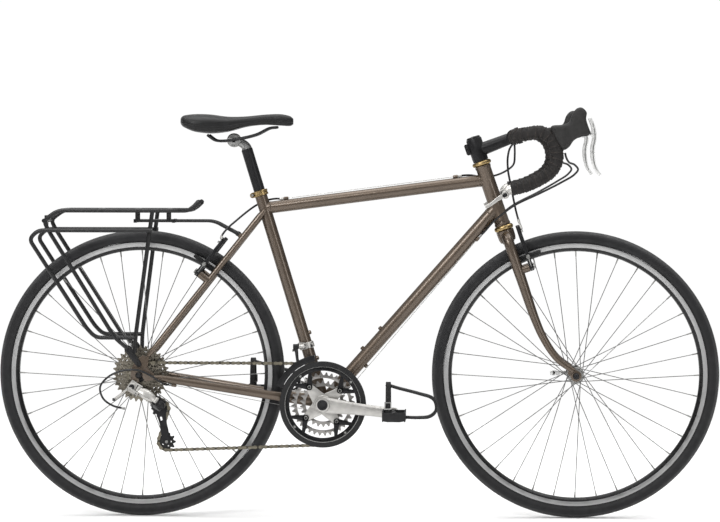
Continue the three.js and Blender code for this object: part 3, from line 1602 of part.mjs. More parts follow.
function frontMechSolid() {
  const low = along(at(0, 0, 0), upSeatTube, frontMechRise - frontMechBandHeight / 2);
  const high = along(at(0, 0, 0), upSeatTube, frontMechRise + frontMechBandHeight / 2);
  const middle = low.clone().add(high).divideScalar(2);
  const band = rod(low, high, seatTubeRadius + frontMechBandThickness, tubeSides);
  const arm = rod(
    at(middle.x - frontMechBandHeight / 2, -seatTubeRadius, middle.z),
    at(frontMechPivot.x + frontMechBarrelLength / 2, frontMechPivot.y, frontMechPivot.z),
    frontMechBandHeight / 2,
    staySides,
  );
  const start = at(frontMechPivot.x + gap, frontMechPivot.y, frontMechPivot.z);
  const end = at(frontMechPivot.x + frontMechBarrelLength, frontMechPivot.y, frontMechPivot.z);
  const barrel = rod(start, end, frontMechBarrelRadius, staySides);
  const room = block(
    at(
      frontMechPivot.x - frontMechBarrelLength,
      frontMechPivot.y - frontMechBandHeight,
      frontMechPivot.z - frontMechBandHeight,
    ),
    at(
      frontMechPivot.x + gap,
      frontMechPivot.y + frontMechBandHeight,
      frontMechPivot.z + frontMechBandHeight,
    ),
  );
  const bore = rod(
    along(low, upSeatTube, -overrun), along(high, upSeatTube, overrun),
    socketFor(seatTubeRadius, tubeSides), tubeSides,
  );
  return cut(join(band, arm, barrel), room, bore);
}

function arcBand(inner, outer, fromAngle, toAngle) {
  const shape = new THREE.Shape();
  shape.absarc(0, 0, outer, fromAngle, toAngle, false);
  shape.absarc(0, 0, inner, toAngle, fromAngle, true);
  return shape;
}

function frontCageSolid() {
  const outer = frontCageInnerRadius + frontCageDepth;
  const bandShape = arcBand(frontCageInnerRadius, outer, frontCageStart, frontCageEnd);
  const outerY = chainLineOuter - frontCageWidth / 2;
  const innerY = chainLineOuter + frontCageWidth / 2;
  const bridge = (fromAngle, toAngle) =>
    plate(
      arcBand(outer - frontCageDepth / 3, outer, fromAngle, toAngle), frontCageWidth, chainLineOuter, 1,
    );
  const start = at(frontMechPivot.x - frontMechBarrelLength, frontMechPivot.y, frontMechPivot.z);
  const end = at(frontMechPivot.x - gap, frontMechPivot.y, frontMechPivot.z);
  const hook = spot(outer - frontCageDepth / 3, frontCageHook);
  const pinch = at(start.x, start.y + frontCagePinchReach, start.z - frontCagePinchReach);
  return join(
    plate(bandShape, frontCagePlate, outerY, 5),
    plate(bandShape, frontCagePlate, innerY, 5),
    bridge(frontCageStart, frontCageStart + frontCageBridge),
    bridge(frontCageEnd - frontCageBridge, frontCageEnd),
    rod(start, end, frontMechBarrelRadius, staySides),
    rod(start.clone().lerp(end, 1 / 2), at(hook.x, innerY, hook.y), frontMechBarrelRadius / 2, bossSides),
    rod(start.clone().lerp(end, 1 / 2), pinch, housingRadius, bossSides),
  );
}

const bracketGroup = placed(bike, bottomBracket.x, bottomBracket.y, bottomBracket.z);
piece("front_derailleur", frontMechSolid(), silverMetal, bracketGroup);
piece("front_derailleur_cage", frontCageSolid(), blackMetal, bracketGroup);

// Rear derailleur: X from the hanger bolt to the cage pivot. The links lean, so the cage drops as it moves in.

const hangerPoint = at(rearAxle.x - hangerSetback, 0, rearAxle.z - hangerDrop);
const cagePivot = at(rearAxle.x + mechLowerX, 0, rearAxle.z - mechLowerDrop);
const mechReach = hangerPoint.distanceTo(cagePivot);
const mechLinkStart = (mechReach - mechLinkLength) / 2;
const mechLinkEnd = mechLinkStart + mechLinkLength;
const mechY = dropoutFace + gap + mechBodyHalf;
const mechGroup = placed(bike, hangerPoint.x, -mechY, hangerPoint.z);
mechGroup.rotation.y = Math.atan2(hangerPoint.z - cagePivot.z, cagePivot.x - hangerPoint.x);
const leaned = (body) => body.rotate([-mechSlant / degree, 0, 0]);

// A knuckle's core, the two lugs that hold the link barrels, and their pins.
function knuckle(from, to, pivot) {
  const lug = mechLinkHalfHeight + gap;
  const top = lug + mechLugThickness;
  const reach = pivot + Math.sign(pivot - from) * (mechBarrelRadius + gap);
  const body = block(at(from, -mechPivotRadius, -top), at(to, mechPivotRadius, top));
  const wide = mechLinkSpread / 2 + mechBarrelRadius;
  const room = block(
    at(Math.min(to, reach, from) - overrun, -wide - mechPivotRadius, -lug),
    at(Math.max(to, reach, from) + overrun, wide + mechPivotRadius, lug),
  );
  const lugs = block(at(Math.min(from, reach), -wide, -top), at(Math.max(to, reach), wide, top));
  const pins = [1, -1].map((side) => {
    const y = (side * mechLinkSpread) / 2;
    return rod(
      at(pivot, y, -lug - mechLugThickness / 2),
      at(pivot, y, lug + mechLugThickness / 2),
      mechPinRadius,
      bossSides,
    );
  });
  return join(body, cut(lugs, room), ...pins);
}

function upperKnuckleSolid() {
  const core = leaned(knuckle(-mechPivotRadius, mechLinkStart - mechBarrelRadius - overrun, mechLinkStart));
  const pivot = crossBar(0, 0, -mechBodyHalf - gap, mechBodyHalf, mechPivotRadius, tubeSides);
  const bracketFoot = at(-mechBracketDrop * mechBracketBackShare, 0, -mechBracketDrop);
  const bracket = rod(
    at(-mechPivotRadius / 2, 0, -mechPivotRadius / 2), bracketFoot, housingRadius + gap, bossSides,
  );
  const inboard = block(
    at(-mechReach, mechBodyHalf, -mechReach),
    at(mechReach, mechReach, mechReach),
  );
  return cut(join(core, pivot, bracket), inboard);
}

function linkSolid(side) {
  const y = (side * mechLinkSpread) / 2;
  const half = mechLinkHalfHeight;
  const web = block(
    at(mechLinkStart, y - mechLinkThickness / 2, -half), at(mechLinkEnd, y + mechLinkThickness / 2, half),
  );
  const barrel = (x) => rod(at(x, y, -half), at(x, y, half), mechBarrelRadius, staySides);
  const bore = (x) =>
    rod(at(x, y, -half - overrun), at(x, y, half + overrun), boreFor(mechPinRadius, bossSides), bossSides);
  const solidLink = cut(
    join(web, barrel(mechLinkStart), barrel(mechLinkEnd)), bore(mechLinkStart), bore(mechLinkEnd),
  );
  return leaned(solidLink);
}

function lowerKnuckleSolid() {
  const core = leaned(knuckle(
    mechLinkEnd + mechBarrelRadius + overrun, mechReach + mechPivotRadius / 2, mechLinkEnd,
  ));
  const inner = mechY + chainLineOuter - cagePlateGap - cagePlateThickness - gap;
  return join(core, crossBar(mechReach, 0, -mechBodyHalf, inner, mechPivotRadius, tubeSides));
}

piece("mech_upper_knuckle", upperKnuckleSolid(), silverMetal, mechGroup);
piece("mech_outer_link", linkSolid(-1), silverMetal, mechGroup);
piece("mech_inner_link", linkSolid(1), silverMetal, mechGroup);
piece("mech_lower_knuckle", lowerKnuckleSolid(), silverMetal, mechGroup);

// The cage and its two pulleys, seen from the cage pivot on the chain line

const cageGroup = placed(bike, cagePivot.x, chainLineOuter, cagePivot.z);
const guidePulley = at(rearAxle.x + guidePulleyX, chainLineOuter, rearAxle.z - guidePulleyDrop);
const tensionPulley = at(rearAxle.x + tensionPulleyX, chainLineOuter, rearAxle.z - tensionPulleyDrop);

function mechCageSolid() {
  const guide = flatPoint(guidePulley.x - cagePivot.x, guidePulley.z - cagePivot.z);
  const tension = flatPoint(tensionPulley.x - cagePivot.x, tensionPulley.z - cagePivot.z);
  const shape = linkShape(guide, cageRadius, tension, cageTailRadius);
  const offset = cagePlateGap + cagePlateThickness / 2;
  const spindle = (point) => crossBar(point.x, point.y, -offset, offset, mechPinRadius, bossSides);
  return join(
    plate(shape, cagePlateThickness, offset, 3),
    plate(shape, cagePlateThickness, -offset, 3),
    spindle(guide),
    spindle(tension),
  );
}

function pulleySolid() {
  const wheel = plate(toothedShape(pulleyTeeth, toothTip / 2, toothRoot), pulleyThickness, 0);
  return cut(
    wheel, crossBar(0, 0, -pulleyThickness, pulleyThickness, boreFor(mechPinRadius, bossSides), bossSides),
  );
}

piece("mech_cage", mechCageSolid(), blackMetal, cageGroup);
piece(
  "guide_pulley", pulleySolid(), blackPlastic, placed(bike, guidePulley.x, guidePulley.y, guidePulley.z),
);
piece(
  "tension_pulley",
  pulleySolid(),
  blackPlastic,
  placed(bike, tensionPulley.x, tensionPulley.y, tensionPulley.z),
);

// Chain: round the outer ring, the third cog and the two pulleys

// Each wheel in the chain's order; sense is 1 where the chain turns clockwise seen from the right.
const chainWheels = [
  { centre: flatPoint(bottomBracket.x, bottomBracket.z), radius: pitchRadius(outerTeeth), sense: 1 },
  { centre: flatPoint(tensionPulley.x, tensionPulley.z), radius: pitchRadius(pulleyTeeth), sense: 1 },
  { centre: flatPoint(guidePulley.x, guidePulley.z), radius: pitchRadius(pulleyTeeth), sense: -1 },
  { centre: flatPoint(rearAxle.x, rearAxle.z), radius: pitchRadius(cassetteTeeth[chainCog]), sense: 1 },
];

// The angle of the normal to the left of the chain's run between two wheels.
function runNormal(from, to) {
  const between = to.centre.clone().sub(from.centre);
  return between.angle() + Math.acos((from.radius * from.sense - to.radius * to.sense) / between.length());
}

// The closed middle line of the chain, one pin at a time, with an even number of links.
function chainLine() {
  const path = new THREE.CurvePath();
  const count = chainWheels.length;
  chainWheels.forEach((wheel, i) => {
    const before = chainWheels[(i + count - 1) % count];
    const after = chainWheels[(i + 1) % count];
    const flip = wheel.sense > 0 ? 0 : Math.PI;
    const arrive = runNormal(before, wheel) + flip;
    const leave = runNormal(wheel, after) + flip;
    const { x, y } = wheel.centre;
    path.add(new THREE.EllipseCurve(x, y, wheel.radius, wheel.radius, arrive, leave, wheel.sense > 0));
    const start = spot(wheel.radius, leave).add(wheel.centre);
    const arriveNext = runNormal(wheel, after) + (after.sense > 0 ? 0 : Math.PI);
    const end = spot(after.radius, arriveNext).add(after.centre);
    path.add(new THREE.LineCurve(start, end));
  });
  const links = 2 * Math.round(path.getLength() / chainPitch / 2);
  return path.getSpacedPoints(links).slice(0, -1);
}

function chainSolid() {
  const line = chainLine();
  const waist = chainPlateHeight * chainWaistShare;
  const shape = new THREE.Shape(besideLine(line, [chainPlateHeight, waist], true));
  shape.holes.push(new THREE.Path(besideLine(line, [-chainPlateHeight, -waist], true).reverse()));
  const band = plate(shape, chainWidth, chainLineOuter);
  const grooves = chainWheels.map(({ centre, radius }) => {
    const sides = Math.max(Math.ceil((fullTurn * radius) / chainGrooveStep), hubSides + hubSides);
    const from = chainLineOuter - ringThickness;
    return crossBar(
      centre.x, centre.y, from, chainLineOuter + ringThickness, boreFor(radius + toothTip, sides), sides,
    );
  });
  return cut(band, ...grooves);
}

piece("chain", chainSolid(), steelMetal, frameGroup);

// Rack: places are ahead of the rear axle, out from the middle, and above the ground.

const rackRod = (points, radius = rackTube) => sweep(points, radius, rackTubeSides);
const rackFootY = dropoutFace + gap + rackPlateThickness / 2;
const rackFootZ = rearAxle.z + rackEyeletRise;
const rackPlateTopZ = rackFootZ + rackPlateRise;

function rackSideSolid(side) {
  const spot3 = (ahead, y, z) => at(rearAxle.x + ahead, side * y, z);
  const deckY = deckWidth / 2;
  const hoopY = hoopWidth / 2;
  const strutEnd = along(
    rackBossPoint(side), behindSeatstay, seatstayEndRadius + bossHeight + gap + strutRadius,
  );
  const rail = [
    spot3(deckFrontAhead + deckHook, deckY - deckHook, deckHeight + deckHook),
    spot3(deckFrontAhead, deckY - deckHook / 2, deckHeight),
    spot3(deckFrontAhead - deckHookLength, deckY, deckHeight),
    spot3(deckRearAhead, deckY, deckHeight),
    spot3(deckRearAhead - deckTailLength, deckY, deckHeight - deckTailDrop / 2),
    spot3(deckRearAhead - deckTailLength + deckTailDrop / 4, deckY, deckHeight - deckTailDrop),
    spot3(rearKneeAhead, rackFootY - rackTube / 2, lowRailHeight),
    spot3(-rackPlateLean, rackFootY, rackPlateTopZ),
  ];
  const frontLeg = [
    spot3(frontLegAhead, deckY, deckHeight), spot3(legKneeAhead, rackFootY - rackTube / 2, lowRailHeight),
  ];
  const hoop = [
    spot3(frontLegAhead, hoopY, hoopRailHeight),
    spot3(hoopRearAhead, hoopY, hoopRailHeight),
    spot3(hoopRearAhead - hoopCorner, hoopY, hoopRailHeight - hoopCorner),
    spot3(hoopLowAhead - hoopCorner / 2, hoopY, lowRailHeight + hoopCorner),
    spot3(hoopLowAhead + hoopCorner / 2, hoopY, lowRailHeight),
    spot3(legKneeAhead, rackFootY - rackTube / 2, lowRailHeight),
  ];
  const strut = [
    spot3(strutRearAhead, strutSpread, strutHeight),
    spot3(strutBendAhead, strutSpread, strutHeight), strutEnd,
  ];
  const footTop = spot3(-rackPlateTopRadius, rackFootY, rackPlateTopZ - rackPlateTopRadius);
  const footShape = linkShape(
    flatPoint(rearAxle.x - rackPlateLean, rackPlateTopZ), rackPlateTopRadius,
    flatPoint(rearAxle.x, rackFootZ), rackPlateFootRadius,
  );
  const boltEnd = side * (rackFootY + rackPlateThickness);
  const hang = (ahead) => rod(
    spot3(ahead, strutSpread, deckHeight), spot3(ahead, strutSpread, strutHeight), strutRadius, bossSides,
  );
  return join(
    rackRod(rail),
    rackRod([...frontLeg, footTop]),
    rackRod(hoop),
    rackRod(strut, strutRadius),
    hang(strutRearAhead + strutRadius),
    hang(strutHangAhead),
    plate(footShape, rackPlateThickness, side * rackFootY, 3),
    crossBar(rearAxle.x, rackFootZ, side * rackFootY, boltEnd, rackBoltRadius, bossSides),
  );
}

// The deck's cross bars, as shares of the way back from the front of the deck.
const crossBarShares = [0.69, 0.97];

function rackSolid() {
  const cross = (ahead, z, width) => {
    const x = rearAxle.x + ahead;
    return crossBar(x, z, -width / 2, width / 2, rackTube, rackTubeSides);
  };
  const tailX = rearAxle.x + deckRearAhead - deckTailLength;
  const backShare = (share) => deckFrontAhead + share * (deckRearAhead - deckFrontAhead);
  return join(
    rackSideSolid(1),
    rackSideSolid(-1),
    ...crossBarShares.map((share) => cross(backShare(share), deckHeight, deckWidth)),
    cross(strutHangAhead, deckHeight, deckWidth),
    cross(strutRearAhead + strutRadius, deckHeight, deckWidth),
    cross(deckRearAhead - deckTailLength, deckHeight - deckTailDrop / 2, deckWidth),
    block(
      at(tailX - rackPlateThickness, -reflectorWidth / 2, deckHeight - deckTailDrop),
      at(tailX, reflectorWidth / 2, deckHeight - deckTailDrop / 4),
    ),
  );
}

piece("rack", rackSolid(), blackMetal, frameGroup);

// Cables, along routes chosen by hand in the bicycle's own axes

const route = (points) => points.map(([x, y, z]) => at(x, y, z));
const mirrored = (points) => points.map(([x, y, z]) => [x, -y, z]);

// Housings follow a smooth curve through their points; bare wires run straight from point to point.
function cable(housings, wires) {
  const outer = housings.map((points) => {
    const curve = new THREE.CatmullRomCurve3(points);
    const steps = Math.ceil(curve.getLength() / housingStep);
    return sweep(curve.getPoints(steps), housingRadius, housingSides);
  });
  const inner = wires.map((points) => sweep(points, wireRadius, wireSides));
  return join(...outer, ...inner);
}

// Where a housing sits against a stop, ahead of it or behind it, and how far its wire runs on inside.
const seatReach = cableStopLength / 2 + gap * 3;
const stopSeat = ({ tubePoint, direction, tubeRadius, tubeDirection }, sense, reach = seatReach) =>
  along(stopPlace(tubePoint, direction, tubeRadius), tubeDirection, sense * reach);
const wireReach = seatReach + overrun;
// A housing leaves its stop straight before it bends.
const stopLead = (stop, sense) => [stopSeat(stop, sense), stopSeat(stop, sense, cableStopLength)];

const frontBrakeRoute = [
  [371.6, -44.7, 895.4], [369, -38, 894], [361, -31, 883], [356, -28, 860], [357, -30, 830],
  [364, -34, 793],
  [371, -38, 757], [377, -43, 730], [384, -49, 706], [388.5, -47, 694.5], [389, -41.5, 692.3],
];
const frontBrakeWire = [[389, -44, 692.8], [389, 42, 692.3]];
const rearBrakeFrontRoute = [
  [371.6, 44.7, 895.4], [373, 38, 893], [374, 42, 868], [371, 41, 845], [352, 37, 829],
  [325, 31, 818], [296, 26, 815],
  [270, 14, 819], [252, 4, 818.8],
];
const rearBrakeRearRoute = [
  [-200, 14, 762], [-225, 24, 757], [-250, 21, 744], [-275, 9, 725], [-293, -10, 709], [-305, -28, 698],
  [-315, -42, 687], [-322.5, -49, 676], [-325, -48, 668.5], [-325.3, -41.5, 667.3],
];
const rearBrakeWire = [[-325.3, -44, 667.6], [-325.3, 43, 667.3]];
const shiftRoute = [
  [485.6, -209, 872], [488, -208.5, 862], [495, -206, 850], [507, -202, 845], [516, -199, 834],
  [508, -193, 822],
  [480, -165, 804], [430, -105, 777], [372, -54, 748], [345, -38, 728], [320, -22, 706], [302, -13, 685],
];
const rearShiftRoute = [
  [-455, -70, 320], [-470, -79, 329], [-490, -86, 343], [-520, -92, 356], [-555, -92, 355],
  [-590, -90, 340],
  [-610, -88, 315], [-603, -87, 288], [-580, -86, 271], [-551, -84, 263.5],
];
const underBracketRoute = [[-70, -8, 251]];
const frontWireUp = [[-90, -2, 250], [-105, -10, 262], [-128, -20, 330], [-146, -27, 395]];
const rearWireBack = [[-95, -11, 252]];

const rearTopStop = topTubeStop(topStopRearShare);
const frontTopStop = topTubeStop(topStopFrontShare);
const shiftWire = (side) => [stopSeat(shiftStop(side), 1, wireReach), stopSeat(shiftStop(side), -1)];
const shiftHousing = (side) => {
  const points = side < 0 ? shiftRoute : mirrored(shiftRoute);
  return [...route(points), ...stopLead(shiftStop(side), 1).reverse()];
};

piece("front_brake_cable", cable([route(frontBrakeRoute)], [route(frontBrakeWire)]), blackRubber, bike);
piece(
  "rear_brake_cable",
  cable(
    [
      [...route(rearBrakeFrontRoute), ...stopLead(frontTopStop, 1).reverse()],
      [...stopLead(rearTopStop, -1), ...route(rearBrakeRearRoute)],
    ],
    [[stopSeat(frontTopStop, 1, wireReach), stopSeat(rearTopStop, -1, wireReach)], route(rearBrakeWire)],
  ),
  blackRubber,
  bike,
);
piece(
  "front_shift_cable",
  cable(
    [shiftHousing(1)],
    [[...shiftWire(1), ...route(mirrored(underBracketRoute)), ...route(frontWireUp)]],
  ),
  blackRubber,
  bike,
);
piece(
  "rear_shift_cable",
  cable(
    [shiftHousing(-1), [...stopLead(chainstayStop, 1), ...route(rearShiftRoute)]],
    [[
      ...shiftWire(-1),
      ...route(underBracketRoute),
      ...route(rearWireBack),
      stopSeat(chainstayStop, -1),
      stopSeat(chainstayStop, 1, wireReach),
    ]],
  ),
  blackRubber,
  bike,
);

export default bike;
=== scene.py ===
# A touring bicycle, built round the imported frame. Shapes are given in millimetres and made in metres.

import bpy
import bmesh
from math import acos, atan2, cos, pi, radians, sin, sqrt
from mathutils import Matrix, Vector


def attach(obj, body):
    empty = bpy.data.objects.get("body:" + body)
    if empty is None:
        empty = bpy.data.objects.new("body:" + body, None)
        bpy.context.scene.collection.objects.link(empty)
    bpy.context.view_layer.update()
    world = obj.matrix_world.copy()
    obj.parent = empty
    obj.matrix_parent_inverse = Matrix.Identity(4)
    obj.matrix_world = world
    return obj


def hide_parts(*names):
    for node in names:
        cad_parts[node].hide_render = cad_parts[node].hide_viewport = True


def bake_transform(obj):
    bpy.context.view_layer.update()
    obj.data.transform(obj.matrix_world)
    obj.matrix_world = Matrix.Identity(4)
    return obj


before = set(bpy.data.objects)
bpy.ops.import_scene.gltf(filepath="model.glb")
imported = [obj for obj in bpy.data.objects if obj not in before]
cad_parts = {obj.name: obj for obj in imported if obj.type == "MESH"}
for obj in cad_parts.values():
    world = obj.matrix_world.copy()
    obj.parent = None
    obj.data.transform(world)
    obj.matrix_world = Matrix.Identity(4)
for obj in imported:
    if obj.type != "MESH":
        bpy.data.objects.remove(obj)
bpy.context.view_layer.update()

MM = 0.001
Y = Vector((0, 1, 0))
Z = Vector((0, 0, 1))


def at(x, y, z):
    return Vector((x, y, z))


def along(start, direction, distance):
    return start + direction * distance


# Places shared with the frame

wheelbase = 1039
tyre_radius = 343
rear_axle = at(-wheelbase / 2, 0, tyre_radius)
front_axle = at(wheelbase / 2, 0, tyre_radius)
bb = at(rear_axle.x + 437.546, 0, tyre_radius - 69.3)
seat_angle = radians(73)
head_angle = radians(71)
up_seat = at(-cos(seat_angle), 0, sin(seat_angle))
behind_seat = at(-up_seat.z, 0, up_seat.x)
up_head = at(-cos(head_angle), 0, sin(head_angle))
ahead_head = at(sin(head_angle), 0, cos(head_angle))
seat_top = along(bb, up_seat, 531)
rake = 48.3
steering_foot = along(front_axle, ahead_head, -rake)
fork_length = 381
head_rise = fork_length + 13.2
head_top_rise = head_rise + 150.4
head_bottom = along(steering_foot, up_head, head_rise)
head_top = along(steering_foot, up_head, head_top_rise)
top_tube_rear = along(seat_top, up_seat, -44)
top_tube_front = along(head_top, up_head, -36)
down_tube_front = along(head_bottom, up_head, 45)
chain_line = -54.5
chain_pitch = 12.7
cog_step = 4.34
crank_length = 170
stud_radius = 279.5
stud_reach = 32
seat_tube_radius = 14.8
top_tube_radius = 14.3
down_tube_radius = 15.9
stop_rise = 2.5 + 0.6
axle_face = 73.5
gap = 0.3
bar_half_width, bar_reach, bar_drop = 210, 96, 123
tape_pitch = 15
saddle_length, saddle_height, saddle_half_width = 268, 48, 75


def steer(x, y, z):
    """A point given ahead of the steering axis, out to the left and up it."""
    return steering_foot + ahead_head * x + Y * y + up_head * z


bar_centre = steer(93.2, 0, 584.6)


def bar(x, y, z):
    return bar_centre + at(x, y, z)


# Shapes: each is a bmesh in millimetres


class Shapes:
    """Closed shapes gathered into one piece, each with its own material."""

    def __init__(self):
        self.work = bmesh.new()

    def add(self, shape, slot=0):
        for face in shape.faces:
            face.material_index = slot
        part = bpy.data.meshes.new("part")
        shape.to_mesh(part)
        shape.free()
        self.work.from_mesh(part, face_normals=False, vertex_normals=False)
        bpy.data.meshes.remove(part)
        return self

    def make(self, name, body, materials, replaces=(), angle=32, levels=0, slot=None):
        """The finished piece, in metres; without a body it is left unattached."""
        bmesh.ops.scale(self.work, vec=(MM, MM, MM), verts=self.work.verts)
        bmesh.ops.recalc_face_normals(self.work, faces=self.work.faces)
        mesh = bpy.data.meshes.new(name)
        for material in materials:
            mesh.materials.append(material)
        self.work.to_mesh(mesh)
        self.work.free()
        mesh.polygons.foreach_set("use_smooth", [True] * len(mesh.polygons))
        mesh.set_sharp_from_angle(angle=radians(angle))
        made = bpy.data.objects.new(name, mesh)
        bpy.context.collection.objects.link(made)
        if levels:
            sub = made.modifiers.new("Smooth", "SUBSURF")
            sub.levels = levels
            sub.render_levels = levels
        if body:
            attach(made, body)
        if replaces:
            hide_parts(*replaces)
        return made


def spline(points, steps):
    """A smooth curve through the points, as many even steps long as asked."""
    pts = [Vector(p) for p in points]
    count = len(pts) - 1
    out = []
    for k in range(steps + 1):
        place = k / steps * count
        i = min(int(place), count - 1)
        w = place - i
        p1, p2 = pts[i], pts[i + 1]
        p0 = pts[i - 1] if i > 0 else p1 * 2 - p2
        p3 = pts[i + 2] if i + 2 <= count else p2 * 2 - p1
        d0 = max((p1 - p0).length ** 0.5, 1e-4)
        d1 = max((p2 - p1).length ** 0.5, 1e-4)
        d2 = max((p3 - p2).length ** 0.5, 1e-4)
        t1 = ((p1 - p0) / d0 - (p2 - p0) / (d0 + d1) + (p2 - p1) / d1) * d1
        t2 = ((p2 - p1) / d1 - (p3 - p1) / (d1 + d2) + (p3 - p2) / d2) * d1
        a = p1 * 2 - p2 * 2 + t1 + t2
        b = p2 * 3 - p1 * 3 - t1 * 2 - t2
        out.append(p1 + t1 * w + b * w**2 + a * w**3)
    return out


def curve_through(points, step=3.0):
    pts = [Vector(p) for p in points]
    length = sum((b - a).length for a, b in zip(pts, pts[1:]))
    return spline(pts, max(int(length / step), len(pts)))


def bent(points, radius, steps=6):
    """Straight runs with rounded corners."""
    pts = [Vector(p) for p in points]
    out = [pts[0]]
    for before, corner, after in zip(pts, pts[1:], pts[2:]):
        back, on = before - corner, after - corner
        reach = min(radius, back.length * 0.45, on.length * 0.45)
        start, end = corner + back.normalized() * reach, corner + on.normalized() * reach
        for k in range(steps + 1):
            w = k / steps
            out.append(start * (1 - w) ** 2 + corner * (2 * w * (1 - w)) + end * w**2)
    out.append(pts[-1])
    return out


def ordered(work):
    """Sorts a shape's points, edges and faces by their places, because operators leave them in any order."""
    for index, v in enumerate(sorted(work.verts, key=lambda v: v.co.to_tuple(3))):
        v.index = index
    work.verts.sort()
    count = len(work.verts)

    def rank(part):
        corners = sorted(v.index for v in part.verts)[:3]
        return sum(corner * count ** (2 - k) for k, corner in enumerate(corners))

    work.edges.sort(key=rank)
    work.faces.sort(key=rank)
    return work


def sealed(work):
    """Closes the open ends of a shape."""
    ordered(work)
    bmesh.ops.holes_fill(work, edges=[edge for edge in work.edges if edge.is_boundary], sides=0)
    return work


def loft(rings):
    """A body through rings of points: the first ring is extruded and moved to each of the others."""
    work = bmesh.new()
    ring = [work.verts.new(p) for p in rings[0]]
    edges = [work.edges.new(pair) for pair in zip(ring, ring[1:] + ring[:1])]
    for points in rings[1:]:
        made = bmesh.ops.extrude_edge_only(work, edges=edges)["geom"]
        places = {v: k for k, v in enumerate(ring)}
        ring = [None] * len(points)
        for v in made:
            if isinstance(v, bmesh.types.BMVert):
                k = next(places[other] for other in (edge.other_vert(v) for edge in v.link_edges) if other in places)
                v.co = points[k]
                ring[k] = v
        edges = [edge for edge in made if isinstance(edge, bmesh.types.BMEdge) and edge.is_boundary]
    return sealed(work)


def tube(points, radius, sides=20, squash=None, ripple=None, ends=0.0):
    """A round tube; radius is a number or a function of the share of the way along."""
    pts = [Vector(p) for p in points]
    last = len(pts) - 1
    lengths = [0.0]
    for a, b in zip(pts, pts[1:]):
        lengths.append(lengths[-1] + (b - a).length)
    total = lengths[-1]
    stations = []
    normal = None
    for i, p in enumerate(pts):
        tangent = pts[min(i + 1, last)] - pts[max(i - 1, 0)]
        if 0 < i < last:
            tangent = (pts[i + 1] - p).normalized() + (p - pts[i - 1]).normalized()
        tangent.normalize()
        if normal is None:
            normal = tangent.orthogonal().normalized()
        normal = (normal - tangent * normal.dot(tangent)).normalized()
        size = radius(lengths[i] / total) if callable(radius) else radius
        stations.append((p, tangent.copy(), normal.copy(), size, lengths[i]))
    if ends:
        p, t, n, r, s = stations[0]
        stations[0] = (p + t * ends, t, n, r, s)
        stations.insert(0, (p, t, n, r - ends, s))
        p, t, n, r, s = stations[-1]
        stations[-1] = (p - t * ends, t, n, r, s)
        stations.append((p, t, n, r - ends, s))
    rings = []
    for p, t, n, r, s in stations:
        side = t.cross(n)
        ring = []
        for k in range(sides):
            angle = 2 * pi * k / sides
            size = r + (ripple(s, k / sides) if ripple else 0)
            off = (n * cos(angle) + side * sin(angle)) * size
            if squash:
                off -= squash[0] * off.dot(squash[0]) * (1 - squash[1])
            ring.append(p + off)
        rings.append(ring)
    return loft(rings)


def lathe(profile, centre, axis, sides=48, closed=False):
    """A profile of (radius, height) pairs spun about an axis."""
    axis = axis.normalized()
    across = axis.orthogonal().normalized()
    work = bmesh.new()
    line = [work.verts.new(centre + axis * height + across * radius) for radius, height in profile]
    pairs = list(zip(line, line[1:]))
    if closed:
        pairs.append((line[-1], line[0]))
    edges = [work.edges.new(pair) for pair in pairs]
    bmesh.ops.spin(work, geom=line + edges, cent=centre, axis=axis, angle=2 * pi, steps=sides, use_merge=True)
    return sealed(work)


def rod(start, end, radius, sides=24, chamfer=0.4):
    """A round bar with chamfered ends."""
    length = (end - start).length
    c = min(chamfer, radius * 0.4, length * 0.4)
    profile = [(radius - c, 0), (radius, c), (radius, length - c), (radius - c, length)]
    return lathe(profile, start, end - start, sides)


def cross(x, z, y1, y2, radius, sides=24, chamfer=0.4):
    return rod(at(x, y1, z), at(x, y2, z), radius, sides, chamfer)


def ball(centre, radius, sides=16):
    work = bmesh.new()
    bmesh.ops.create_uvsphere(work, u_segments=sides, v_segments=8, radius=radius)
    bmesh.ops.translate(work, vec=centre, verts=work.verts)
    return sealed(work)


def box(low, high):
    low, high = Vector(low), Vector(high)
    work = bmesh.new()
    bmesh.ops.create_cube(work, size=1)
    bmesh.ops.scale(work, vec=high - low, verts=work.verts)
    bmesh.ops.translate(work, vec=(low + high) / 2, verts=work.verts)
    bmesh.ops.bevel(work, geom=work.edges[:], offset=0.6, affect="EDGES", segments=2, profile=0.5, material=-1)
    return sealed(work)


def in_plane(y):
    """Places a flat outline in the plane of the wheels, with its thickness about y."""
    return lambda p: at(p[0], y + p[2], p[1])


def about(centre, y=0.0):
    return lambda p: at(centre.x + p[0], centre.y + y + p[2], centre.z + p[1])


def plate(loops, thickness, place, bevel=0.4, fine=2):
    """A flat plate from an outline and its holes, with rounded edges."""
    data = bpy.data.curves.new("outline", "CURVE")
    data.dimensions = "2D"
    data.fill_mode = "BOTH"
    data.extrude = thickness / 2 - bevel
    data.bevel_depth = bevel
    data.bevel_resolution = fine
    data.offset = -bevel
    for loop in loops:
        line = data.splines.new("POLY")
        line.points.add(len(loop) - 1)
        for point, (x, y) in zip(line.points, loop):
            point.co = (x, y, 0, 1)
        line.use_cyclic_u = True
    holder = bpy.data.objects.new("outline", data)
    bpy.context.collection.objects.link(holder)
    bpy.context.view_layer.update()
    mesh = bpy.data.meshes.new_from_object(holder.evaluated_get(bpy.context.evaluated_depsgraph_get()))
    work = bmesh.new()
    work.from_mesh(mesh)
    bmesh.ops.remove_doubles(work, verts=work.verts, dist=1e-4)
    for v in work.verts:
        v.co = place(v.co)
    bpy.data.objects.remove(holder)
    bpy.data.curves.remove(data)
    bpy.data.meshes.remove(mesh)
    return ordered(work)


def circle(radius, count=32, x=0.0, y=0.0):
    return [(x + radius * cos(2 * pi * k / count), y + radius * sin(2 * pi * k / count)) for k in range(count)]


